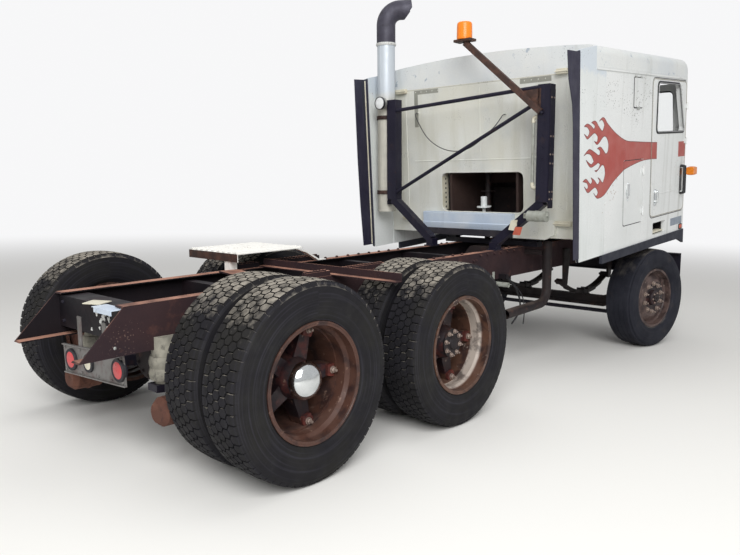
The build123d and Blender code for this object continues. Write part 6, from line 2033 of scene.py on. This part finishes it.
@dataclass(frozen=True)
class BackWall:
    """Trim on the cab's back wall, all drawn in (y, z) on its outer face."""

    opening: Quad = (-470, 460, 1456, 1846)
    bare_l: tuple[Pair, ...] = ((769, 2296), (723, 2296), (723, 2613), (469, 2613), (469, 2653), (769, 2653))
    bare_strip: Quad = (-737, -430, 2610, 2656)
    ribs: tuple[tuple[Pair, Pair], ...] = (
        ((780, 1957), (-640, 1957)), ((880, 1500), (880, 2600)), ((-880, 1500), (-880, 2600)),
        ((0, 2030), (0, 2620)))
    seam_at: Pair = (1030, 2661)
    # Each hinge box's limits along y and z
    boxes: tuple[Quad, ...] = (
        (853, 980, 2635, 2678), (-898, -801, 2655, 2700), (-940, -788, 1364, 1404), (800, 930, 1364, 1404))

    def sheet(self, outline: Sequence[Sequence[float]], out: float, radius: float = 5.0,
              raised: float = 0.1) -> Shape:
        """A thin plate on the wall, standing out backwards.

        Args:
            outline: (y, z) corners.
            out: its thickness.
            radius: of its corners.
            raised: its gap to the wall.

        Returns:
            The plate.
        """
        return prism(rounded(outline, radius), BACK_X - raised - out, BACK_X - raised, "x")

    def patches(self) -> Shape:
        """Bare places where brackets were fixed: an L at the left and a strip at the right."""
        return join([self.sheet(outline, 0.6, 4) for outline in (self.bare_l, corners(*self.bare_strip))])

    def beads(self) -> Shape:
        """Pressed ribs: half-round swellings along the seam over the opening and up both sides.

        Returns:
            All of the ribs.
        """
        section = half_round(7, 4, 8)
        runs = [np.linspace((BACK_X, *a), (BACK_X, *b), 12) for a, b in self.ribs]
        return join([sweep(run, section, (-1, 0, 0)) for run in runs])

    def seam(self) -> Shape:
        """Sealant smeared along the joint of roof and wall: a low half-round bead.

        Returns:
            The bead.
        """
        half, z = self.seam_at
        run = np.linspace((BACK_X, half, z), (BACK_X, -half, z), 30)
        return sweep(run, half_round(6, 2.2, 6), (-1, 0, 0))

    def opening_lip(self) -> Shape:
        """The folded edge round the opening.

        Returns:
            The edge.
        """
        flat = rounded(corners(*self.opening), 75, 10)
        path = spread(BACK_X, *flat.T)
        return sweep(path, np.array([(-2, 0), (9, 0), (10, 3), (7, 7), (0, 8), (-2, 6)]), (-1, 0, 0),
                     closed=True)

    def post(self) -> Shape:
        """Seen through the opening: a short stub on a flange, on top of a thinner pole.

        Returns:
            The stub and the pole.
        """
        profile = [(1320, 0), (1320, 34), (1332, 34), (1332, 17), (1497, 17), (1497, 68), (1500, 70),
                   (1507, 70), (1510, 68), (1510, 30), (1598, 30), (1603, 26), (1603, 0)]
        return on_z(lathe(profile, 32)).at((3410, 30, 0))

    def drilled_flange(self) -> tuple[Shape, Shape]:
        """The cream flange that returns inwards at the opening's left edge, and the row of holes in it.

        Returns:
            The flange, and the holes as dark discs.
        """
        flange = block((BACK_X + 2, 452, 1470), (BACK_X + 110, 457, 1832), 1)
        holes = np.array([(BACK_X + 62, 451.7, z) for z in range(1500, 1820, 46)], float)
        return flange, stamp(dome(11, 0.8, 12), holes, (0, -1, 0))

    def sill(self) -> tuple[Shape, Shape]:
        """The folded sill under the opening and the tarred strip below it: (x, z) sections drawn along Y.

        Returns:
            The sill, and the strip.
        """
        section = [(BACK_X - 1, 1459), (BACK_X - 44, 1457), (BACK_X - 50, 1451), (BACK_X - 51, 1362),
                   (BACK_X - 58, 1354), (BACK_X - 50, 1304), (BACK_X - 46, 1299), (BACK_X - 1, 1299)]
        foot = [(BACK_X - 1, 1299), (BACK_X - 46.5, 1299), (BACK_X - 47.5, 1240), (BACK_X - 46, 1234.5),
                (BACK_X - 1, 1234.5)]
        return prism(section, -370, 660, "y"), prism(foot, -372, 642, "y")

    def stays(self) -> Shape:
        """Cream hinge boxes that carry the fairings' stays, each with its pin.

        Returns:
            The boxes with their pins.
        """
        parts = []
        for y0, y1, z0, z1 in self.boxes:
            parts.append(block((BACK_X - 46, y0, z0), (BACK_X - 0.5, y1, z1), 4))
            pin = lathe([(y0 - 8, 0), (y0 - 8, 7), (y1 + 8, 7), (y1 + 8, 0)], 12)
            parts.append(pin.at((BACK_X - 48, 0, (z0 + z1) / 2)))
        return join(parts)

    def rivets(self) -> Shape:
        """Rivets along the wall's edges.

        Returns:
            All of the rivets.
        """
        y = np.arange(-1020, 1021, 68)
        z = np.arange(1390, 2660, 72)
        spots = [(BACK_X, a, 2636) for a in y] + [(BACK_X, s * 1052, b) for b in z for s in (-1, 1)]
        return stamp(dome(5.5, 2.6, 8), np.array(spots, float), (-1, 0, 0))

    def build(self) -> None:
        """Dress the back wall."""
        flange, holes = self.drilled_flange()
        sill, foot = self.sill()
        make_all((
            ("bare_patches", self.patches(), PATCH_GREY), ("wall_beads", self.beads(), WALL_WHITE),
            ("opening_lip", self.opening_lip(), WALL_WHITE), ("inner_post", self.post(), ROOF_WHITE),
            ("drilled_flange", flange, CREAM), ("flange_holes", holes, GASKET),
            ("sill_channel", sill, SKY_TINTED_WHITE), ("sill_foot", foot, TAR),
            ("seam_sealant", self.seam(), SEALANT), ("stay_boxes", self.stays(), CREAM),
            ("wall_rivets", self.rivets(), WALL_WHITE)), ON_CAB, "cab")


@dataclass(frozen=True)
class Rack:
    """Bolts, plates, handle, beacon and work lamp on the rack behind the cab, drawn in the rail's frame."""

    column: Quad = (2950, 3046, 770, 880)
    column_z: Pair = (1400, 2360)
    bolts_z: tuple[float, ...] = (1416, 1478, 1712, 1787, 1935, 2250)
    handle: Quad = (2990, -715, 1510, 2100)
    beacon: Triple = (2938, -40, 2806)
    work_lamp: Triple = (2887, 920, 2330)
    canister: Triple = (2905, -820, 1275)
    card: tuple[Pair, ...] = ((-685, 1179), (-664, 1109), (-591, 1110), (-616, 1179))
    board: tuple[Pair, ...] = ((-635, 1239), (-608, 1145), (-546, 1150), (-570, 1233))
    gusset: tuple[Pair, ...] = ((-800, 2330), (-607, 2318), (-668, 2236), (-800, 2150))

    def column_bolts(self) -> Shape:
        """Nuts down the outer face of both columns, where the plates are fixed.

        Returns:
            The nuts of both columns.
        """
        x0, x1, _, y1 = self.column
        middle = (x0 + x1) / 2
        return join([stamp(bolt(9), spread(middle + dx, hand * y1, self.bolts_z), (0, hand, 0))
                     for hand in (-1, 1) for dx in (-24, 20)])

    def side_plates(self) -> Shape:
        """Long plates bolted to the columns' outer faces, with drilled edges.

        Returns:
            The plates with their holes' rims.
        """
        x0, x1, _, y1 = self.column
        z0, z1 = self.column_z
        parts = []
        for hand in (-1, 1):
            low, high = sorted((hand * y1, hand * (y1 + 5)))
            parts.append(prism(rounded([(x0 + 6, z0 - 60), (x1 - 6, z0 - 60), (x1 - 6, z1 - 40),
                                        (x0 + 6, z1 - 40)], 8), low, high, "y"))
        holes = np.array([(x0 - 0.4, hand * 825, z) for hand in (-1, 1) for z in np.arange(1560, 2230, 96)])
        return join([*parts, stamp(lathe_washer(13, 8), holes, (-1, 0, 0))])

    def handle_skin(self) -> tuple[Shape, Shape]:
        """Pale paint over the rack's grab handle, and the two white elbow fittings at its ends.

        Returns:
            The paint, and the fittings.
        """
        x, y, z0, z1 = self.handle
        paint = sweep(np.array([(x, y, z) for z in np.linspace(z0 + 34, z1 - 34, 8)]),
                      ring_profile(12.2, 16), (1, 0, 0))
        fittings = []
        for z, up in ((z0, 1), (z1, -1)):
            path = smooth_path([(x, y - 46, z), (x, y - 26, z), (x, y - 7, z + up * 6), (x, y, z + up * 26),
                                (x, y, z + up * 46)], 5)
            fittings.append(sweep(path, ring_profile(17, 16), (1, 0, 0)))
            fittings.append(lathe([(-52, 0), (-52, 24), (-40, 24), (-38, 20), (-38, 0)], 18).at((x, y, z)))
        return paint, join(fittings)

    def reflectors(self) -> tuple[Shape, Shape]:
        """A leaning orange-red reflector and a small pale plate on the right leg, each on its own lug.

        Returns:
            The reflector, and the pale plate with the lugs.
        """
        card = prism(rounded(self.card, 6), 2894, 2899, "x")
        board = prism(rounded(self.board, 6), 2900, 2903, "x")
        lugs = [block((2899, -640, 1135), (2962, -618, 1160), 2),
                block((2903, -596, 1180), (2962, -576, 1205), 2)]
        return card, join([board, *lugs])

    def beacon_parts(self) -> tuple[Shape, Shape, Shape]:
        """The beacon's barrel-shaped lens, its square brown plate, and the flat bar with its gusset.

        Returns:
            The lens, the plate, and the bar with the gusset.
        """
        at = self.beacon
        wall = [(8, 66), (14, 68), (40, 68.5), (80, 68), (110, 67.5), (134, 66), (146, 62), (153, 54),
                (156, 40)]
        bend = smooth_path(wall, 4)
        lens = on_z(lathe([(6, 0), (6, 66), *bend, (157, 0)], 64)).at(at)
        mount = block((at[0] - 50, at[1] - 94, at[2] - 16), (at[0] + 50, at[1] + 87, at[2] + 7), 4)
        run = np.linspace((at[0], -806, 2136), (at[0], at[1] - 8, at[2] - 22), 12)
        bar = sweep(run, np.array([(-26, -17), (26, -17), (26, 17), (-26, 17)], float), (1, 0, 0))
        gusset = prism(self.gusset, at[0] + 12, at[0] + 18, "x")
        return lens, mount, join([bar, gusset])

    def lamp_parts(self) -> tuple[Shape, Shape, Shape]:
        """The work lamp: a bright bowl, a thin black ring, and a ribbed pale lens that faces back.

        Returns:
            The lens, the ring and the bowl.
        """
        at = self.work_lamp
        lens = lamp_lens(56, 12, 3).turned("Z", 90).at(at)
        ring = lathe([(-14, 57.5), (-14, 62), (4, 62), (6, 60), (6, 56.5), (1, 55.5), (-2, 57)],
                     44).turned("Z", 90).at(at)
        bowl = lathe([(-14, 59.5), (-46, 59.5), (-50, 56), (-66, 40), (-70, 32), (-70, 0), (-14, 0)],
                     44).turned("Z", 90).at(at)
        return lens, ring, bowl

    def canister_trim(self) -> Shape:
        """Crimped end caps, a clamp band and a hexagonal fitting on the air canister.

        Returns:
            All of the trim as one shape.
        """
        at = self.canister
        caps = [lathe([(y, 0), (y, 46.5), (y + 12, 46.5), (y + 13, 45.2), (y + 13, 0)],
                      40).at((at[0], at[1], at[2]))
                for y in (-86, 73)]
        band = lathe([(-6, 45.4), (-6, 48), (20, 48), (20, 45.4)], 40).at(at)
        hexagon = lathe([(-100, 0), (-100, 16), (-86, 18), (-84, 18), (-84, 0)],
                        6).at((at[0], at[1], at[2] + 12))
        return join([*caps, band, hexagon])

    def build(self) -> None:
        """Dress the rack and what it carries."""
        pale, fittings = self.handle_skin()
        card, board = self.reflectors()
        lens, mount, arm = self.beacon_parts()
        glass, ring, bowl = self.lamp_parts()
        make_all((
            ("column_bolts", self.column_bolts(), NUT, "black_metal"),
            ("column_plates", self.side_plates(), RACK_NAVY), ("rack_handle_paint", pale, CANISTER),
            ("rack_handle_fittings", fittings, CREAM), ("reflector", card, ORANGE_CARD, "lens_red"),
            ("reflector_board", board, CREAM)), ON_RAIL, "chassis")
        make_piece("beacon_lens", lens, BEACON, ON_RAIL, "chassis", stands_for=("beacon",))
        make_all((
            ("beacon_mount", mount, BROWN_METAL), ("beacon_bar", arm, BROWN_METAL),
            ("work_lamp_lens", glass, LAMP_WHITE), ("work_lamp_ring", ring, PLASTIC),
            ("work_lamp_bowl", bowl, ALUMINIUM), ("canister_fittings", self.canister_trim(), CANISTER)),
                 ON_RAIL, "chassis")


@dataclass(frozen=True)
class Exhaust:
    """Clamps, rust bands, elbow clamp and seam of the stack."""

    axis: Pair = (3064, 985)
    radius: float = 88.0
    bands: tuple[float, ...] = (1460, 2200)
    top: float = 2966.0
    foot: float = 1266.0

    def ring(self, z0: float, z1: float, out: float) -> Shape:
        """A band round the stack.

        Args:
            z0: its lower edge.
            z1: its upper edge.
            out: how far it stands off the tube.

        Returns:
            The band.
        """
        r = self.radius
        return on_z(lathe([(z0, r - 1), (z0, r + out), (z1, r + out), (z1, r - 1)], 64)).at((*self.axis, 0))

    def clamps(self) -> Shape:
        """U-bolt ends and nuts on the two clamp bands.

        Returns:
            The nuts and the bands' raised edges.
        """
        x, y = self.axis
        nuts = np.array([(x - 20 - self.radius, y - 40, z) for z in self.bands] +
                        [(x + 46, y - self.radius - 12, z) for z in self.bands], float)
        bands = [self.ring(z + low, z + low + 4, 10.5) for low in (-19, 15) for z in self.bands]
        return join([stamp(bolt(12), nuts, (-1, 0, 0)), *bands])

    def straps(self) -> Shape:
        """The dark flat straps of the two clamps."""
        return join([self.ring(z - 18.6, z + 18.6, 8.6) for z in self.bands])

    def elbow_ring(self) -> Shape:
        """The clamp ring where the elbow grips the stack."""
        return join([self.ring(self.top - 66, self.top - 40, 9.0),
                     self.ring(self.top - 58, self.top - 48, 12.0)])

    def seam(self) -> Shape:
        """The tube's lengthwise lock seam."""
        x, y = self.axis
        return block((x - self.radius - 2.4, y - 7, self.foot + 40),
                     (x - self.radius + 2, y + 7, self.top - 70), 1)

    def build(self) -> None:
        """Dress the stack."""
        make_all((
            ("stack_clamp_edges", self.clamps(), CLAMP_BAND), ("stack_straps", self.straps(), CLAMP_BAND),
            ("elbow_clamp", self.elbow_ring(), FLAKE, "bare_iron"), ("stack_seam", self.seam(), STACK)),
                 ON_RAIL, "chassis")


@dataclass(frozen=True)
class FrameDress:
    """Bolts of the frame, tail lamps, deck ribs, toothed bars, and bits of the running gear."""

    cross_x: tuple[float, ...] = (231.5, 661.5, 1743, 2573, 5301)
    hanger_x: tuple[float, ...] = (520, 1843)
    panel: Quad = (-616, 355, 582, 3.5)
    lamps: tuple[Pair, ...] = ((-300, 57), (40, 45), (250, 57))
    flange_y: float = 352.0
    bar_y: float = 375.0
    spring_y: float = 385.0
    loose_plate: tuple[Pair, ...] = ((-690, -70), (-597, -12), (-545, -125), (-640, -170))
    # Each blot's y, z and radius
    blots: tuple[Triple, ...] = (
        (-70, 880, 13), (-148, 868, 17), (-163, 886, 11), (-214, 893, 14), (-204, 862, 12), (-112, 838, 13),
        (-150, 812, 17), (-188, 806, 14), (-96, 800, 8), (-2, 781, 8), (-128, 852, 7), (-225, 838, 7))
    bars: tuple[tuple[int, float, float], ...] = ((1, 652, 883), (1, 952, 1500), (-1, 652, 883),
                                                  (-1, 952, 1450))

    def web_bolts(self) -> Shape:
        """Huck bolts on the rails' outer faces: groups at the crossmembers, hangers and tail box.

        Returns:
            The bolts of both rails.
        """
        spots = []
        for x in self.cross_x:
            spots += [(x + dx, z) for dx in (20, 58) for z in (760, 826, 892)]
        for x in self.hanger_x:
            spots += [(x + dx, 740) for dx in (-110, 110)]
        spots += [(x, 930) for x in np.arange(2700, 3300, 110)]
        flat = np.array([(x, -RAIL_OUT, z) for x, z in spots] + [(x, RAIL_OUT, z) for x, z in spots], float)
        return stamp(bolt(13, 0.3), flat, flat * (0, 1, 0))

    def flange_bolts(self) -> Shape:
        """Bolt heads along the rails' top flanges.

        Returns:
            The bolts of both rails.
        """
        x = np.concatenate([np.arange(1560, 2500, 132), np.arange(3060, 3260, 90)])
        spots = np.array([(a, hand * self.flange_y, RAIL_TOP) for a in x for hand in (-1, 1)], float)
        return stamp(bolt(13, 0.2), spots, (0, 0, 1))

    def on_panel(self, shape: Shape) -> Shape:
        """Move a shape drawn round the lamp panel's middle to its sagging place."""
        x, _, z, sag = self.panel
        return shape.turned("X", -sag).at((x, 0, z))

    def tail_lamps(self) -> tuple[Shape, Shape, Shape]:
        """Domed red lenses at the sides, a pale broken one in the middle, and their rubber grommets.

        Returns:
            The red lenses, the pale one, and the grommets.
        """
        red, pale, rings = [], [], []
        for y, r in self.lamps:
            lens = lamp_lens(r, 9, 3).turned("Z", 90).at((-9, y, 0))
            (pale if r < 50 else red).append(lens)
            rings.append(lathe([(-12, r + 1), (-12, r + 8), (4, r + 8), (7, r + 5), (7, r + 1), (2, r - 1),
                                (-4, r - 1)],
                               44).turned("Z", 90).at((-8, y, 0)))
        return self.on_panel(join(red)), self.on_panel(join(pale)), self.on_panel(join(rings))

    def panel_trim(self) -> Shape:
        """Folded edges and corner bolts of the lamp panel.

        Returns:
            The edges and bolts.
        """
        _, half, _, _ = self.panel
        edges = [block((-11, -half, s * 84 - 4), (1, half, s * 84 + 4), 2) for s in (-1, 1)]
        spots = np.array([(0, y, z) for y in (-330, -210, -60, 140, 330) for z in (-66, 66)], float)
        return self.on_panel(join([*edges, stamp(bolt(8, 0.1), spots, (-1, 0, 0))]))

    def box_covers(self) -> tuple[Shape, Shape]:
        """Two loose plates on the tail box: a folded pale one at the right and a thin cream one across it.

        Returns:
            The folded plate, and the thin one.
        """
        fold = join([block((-688, -386, 937), (-600, -172, 942), 1.5),
                     block((-691, -386, 914), (-687, -200, 942), 1)])
        thin = prism(rounded(self.loose_plate, 6), 942.5, 946.5, "z")
        return fold, thin

    def flakes(self) -> Shape:
        """White paint that is left in blots on the box's back: rounds whose radius swells three times round.

        Returns:
            The blots, as thin plates.
        """
        t = np.arange(20) * np.pi / 10
        parts = []
        for k, (y, z, r) in enumerate(self.blots):
            swell = r * (1 + 0.28 * np.sin(3 * t + k * 1.7) + 0.12 * np.sin(5 * t + k))
            parts.append(prism(np.column_stack([y + swell * np.cos(t), z + 1.2 * swell * np.sin(t)]),
                               -611.2, -609.8, "x"))
        return join(parts)

    def box_nuts(self) -> Shape:
        """Bolts of the tail box's back."""
        spots = np.array([(-610.5, y, z) for y in (-330, 330) for z in (788, 900)], float)
        return stamp(bolt(11, 0.2), spots, (-1, 0, 0))

    def teeth(self) -> Shape:
        """Square teeth along the tops of the sliding bars.

        Returns:
            The teeth of all bars.
        """
        parts = []
        for side, x0, x1 in self.bars:
            x = np.arange(x0 + 10, x1 - 24, 30)
            flat = spread(x, side * self.bar_y, RAIL_TOP + 33)
            tooth = prism(rounded([(-8, -11), (8, -11), (8, 11), (-8, 11)], 3, 3), 0, 11, "z")
            parts.append(stamp(tooth, flat, (0, 0, 1)))
        return join(parts)

    def deck_crowns(self) -> Shape:
        """Rounded crowns pressed along the deck plate's ribs, and its corner bolts.

        Returns:
            The crowns and the bolts.
        """
        section = half_round(12, 4.5, 6)
        ribs = [sweep(np.array([(x, y, 1091.8) for x in np.linspace(588, 1192, 6)]), section, (0, 0, 1))
                for y in 255 + np.arange(9) * 530 / 8]
        spots = np.array([(x, y, 1084) for x in (604, 1178) for y in (288, 752)], float)
        return join([*ribs, stamp(bolt(12, 0.2), spots, (0, 0, 1))])

    def fascia(self) -> Shape:
        """Rust along the deck plate's rear edge."""
        return block((577.5, 226, 1025), (580.2, 814, 1083), 1)

    def bright_stub(self) -> Shape:
        """The bright stub of a bolt low in the right rail's tail."""
        return stamp(dome(9, 4, 14), np.array([(-684, -RAIL_OUT - 0.2, 747)], float), (0, -1, 0))

    def u_bolts(self) -> Shape:
        """U-bolts that hold each drive axle to its arms, with nuts below, and the diff cover's ring of bolts.

        Returns:
            The bolts of both axles.
        """
        parts = []
        for x in (0.0, TANDEM):
            for dx, hand in ((dx, hand) for hand in (-1, 1) for dx in (-94, 94)):
                at, y, low, high = x + dx, hand * self.spring_y, REAR_Z - 160, REAR_Z + 96
                rod = [(at, y - 38, low), (at, y - 38, high), (at, y, high + 12), (at, y + 38, high),
                       (at, y + 38, low)]
                parts.append(sweep(smooth_path(rod, 5), ring_profile(9, 8), (1, 0, 0)))
                parts.append(stamp(bolt(16, 0.5), [(at, y + dy, low + 8) for dy in (-38, 38)], (0, 0, -1)))
            t = np.arange(12) * np.pi / 6
            cover = spread(x - 260.0, 128 * np.cos(t), REAR_Z + 128 * np.sin(t))
            parts.append(stamp(bolt(12, 0.2), cover, (-1, 0, 0)))
        return join(parts)

    def bellows(self) -> Shape:
        """Rolled rubber lobes of the air springs.

        Returns:
            The lobes of all four springs.
        """
        wave = np.linspace(0, 1, 25)
        wall = [(492 + 130 * w, 79.5 + 7 * abs(math.sin(w * np.pi * 2))) for w in wave]
        lobe = on_z(lathe([(490, 60), *wall, (624, 60)], 40))
        return join([lobe.at((x - 385, hand * self.spring_y, 0)) for x in (0, TANDEM) for hand in (-1, 1)])

    def build(self) -> None:
        """Dress the frame and the running gear."""
        red, pale, rings = self.tail_lamps()
        fold, thin = self.box_covers()
        make_all((
            ("web_bolts", self.web_bolts(), OXIDE), ("flange_bolts", self.flange_bolts(), OXIDE),
            ("tail_lenses", red, LAMP_RED), ("tail_lens_pale", pale, CREAM), ("tail_grommets", rings, GASKET),
            ("lamp_panel_edges", self.panel_trim(), LAMP_PANEL),
            ("tail_box_cover", fold, SKY_TINTED_WHITE, "aluminium"), ("tail_box_plate", thin, CREAM),
            ("tail_box_flakes", self.flakes(), FLAKE), ("tail_box_nuts", self.box_nuts(), BLACK),
            ("deck_fascia", self.fascia(), BROWN_METAL, "frame_paint"), ("bar_teeth", self.teeth(), OXIDE),
            ("deck_crowns", self.deck_crowns(), DECK), ("tail_holes", self.bright_stub(), PALE_METAL)),
                 ON_RAIL, "chassis")
        make_all((
            ("axle_u_bolts", self.u_bolts(), IRON), ("air_spring_bellows", self.bellows(), SPRING_CREAM)),
            Seat(), "chassis")


@dataclass(frozen=True)
class Interior:
    """Berth, seats and the dashboard's gauges inside the cab."""

    berth: Quad = (3350, 4090, 1103, 1856)
    mattress: tuple[Triple, Triple] = ((3352, -1080, 1881), (4058, 1080, 2001))
    seat_middle: Pair = (4741, 760)
    gauge_x: float = 5261.5
    gauges: tuple[Pair, ...] = ((620, 1876), (700, 1876), (800, 1876), (880, 1876), (650, 1822), (850, 1822))

    def berth_board(self) -> Shape:
        """The board under the mattress, with a rolled front edge.

        Returns:
            The board with its edge.
        """
        x0, x1, half, z = self.berth
        edge = sweep(np.array([(x1, y, z + 12.5) for y in np.linspace(-half, half, 12)]),
                     ring_profile(13, 12), (0, 0, 1))
        return join([block((x0, -half, z), (x1, half, z + 25), 1.5), edge])

    def seat_pads(self) -> tuple[Shape, Shape]:
        """Cushion and backrest of the right-hand seat, with sewn channels.

        Returns:
            The cushion and the backrest.
        """
        x, y = self.seat_middle
        base = cushion((x - 248, -y - 238, 1598), (x + 248, -y + 238, 1716), 0.34, 4)
        back = cushion((-58, -228, 0), (62, 228, 556), 0.36, 4)
        lean = back.turned("Y", -10.2).at((x - 190, -y, 1720))
        return base, lean

    def seat_frame(self) -> Shape:
        """The seat's pedestal: a bolted foot, a bellows of five folds and a tray under the cushion.

        Returns:
            The pedestal as one shape.
        """
        x, y = self.seat_middle
        folds = [(1320 + 44 * k + 22 * (j == 1), 150 - 22 * (j == 0)) for k in range(6) for j in (0, 1)]
        bellows = on_z(lathe([(1300, 0), (1300, 128), *folds, (1590, 128), (1590, 0)],
                             32)).scaled((1.1, 0.9, 1)).at((x, -y, 0))
        return join([bellows, block((x - 178, -y - 138, 1296.5), (x + 178, -y + 138, 1312), 4),
                     block((x - 230, -y - 210, 1580), (x + 230, -y + 210, 1600), 6)])

    def dials(self) -> tuple[Shape, Shape]:
        """Round gauges in a hooded cluster on the dashboard, with bright bezels.

        Returns:
            The hood, and the bezels.
        """
        hood = hull(np.array([(5262, y, z) for y in (560, 960) for z in (1800, 1905)] +
                             [(5300, y, z) for y in (570, 950) for z in (1790, 1950)], float))
        y, z = np.transpose(self.gauges)
        spots = spread(self.gauge_x, y, z)
        bezel = on_z(lathe([(0, 22), (0, 30), (5, 29), (6, 25), (3, 22)], 24))
        return hood, stamp(bezel, spots, (-1, 0, 0))

    def build(self) -> None:
        """Furnish the cab."""
        make_piece("berth_board", self.berth_board(), BOARD, ON_CAB, "cab", stands_for=("bunk_boards",))
        pad = make_piece("berth_mattress", cushion(*self.mattress, 0.22, 7), TICKING, ON_CAB, "cab", 60)
        base, back = self.seat_pads()
        for side, sign in SIDES:
            seat = Seat(Datum.CAB, mirrored=sign > 0)
            stands = ("seats",) if side == "right" else ()
            make_piece(f"seat_frame_{side}", self.seat_frame(), PLASTIC, seat, "cab", stands_for=stands)
            for name, shape in (("cushion", base), ("backrest", back)):
                pad = make_piece(f"seat_{name}_{side}", shape, SEAT_CLOTH, seat, "cab", 60)
        hood, bezels = self.dials()
        make_all((("gauge_hood", hood, PLASTIC), ("gauge_bezels", bezels, CHROME)), ON_CAB, "cab")


def main() -> None:
    """Build the tractor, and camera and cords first."""
    Studio().build()
    for cord in CORDS:
        cord.build()
    for assembly in (Dresser(), Tyres(), DriveWheelDress(), SteerWheelDress(), Flames(), CabSides(),
                     CabFront(), BackWall(), Rack(), Exhaust(), FrameDress(), Interior()):
        log.info("building %s", type(assembly).__name__)
        assembly.build()


if __name__ == "__main__":
    logging.basicConfig(level=logging.INFO, format="%(message)s")
    main()
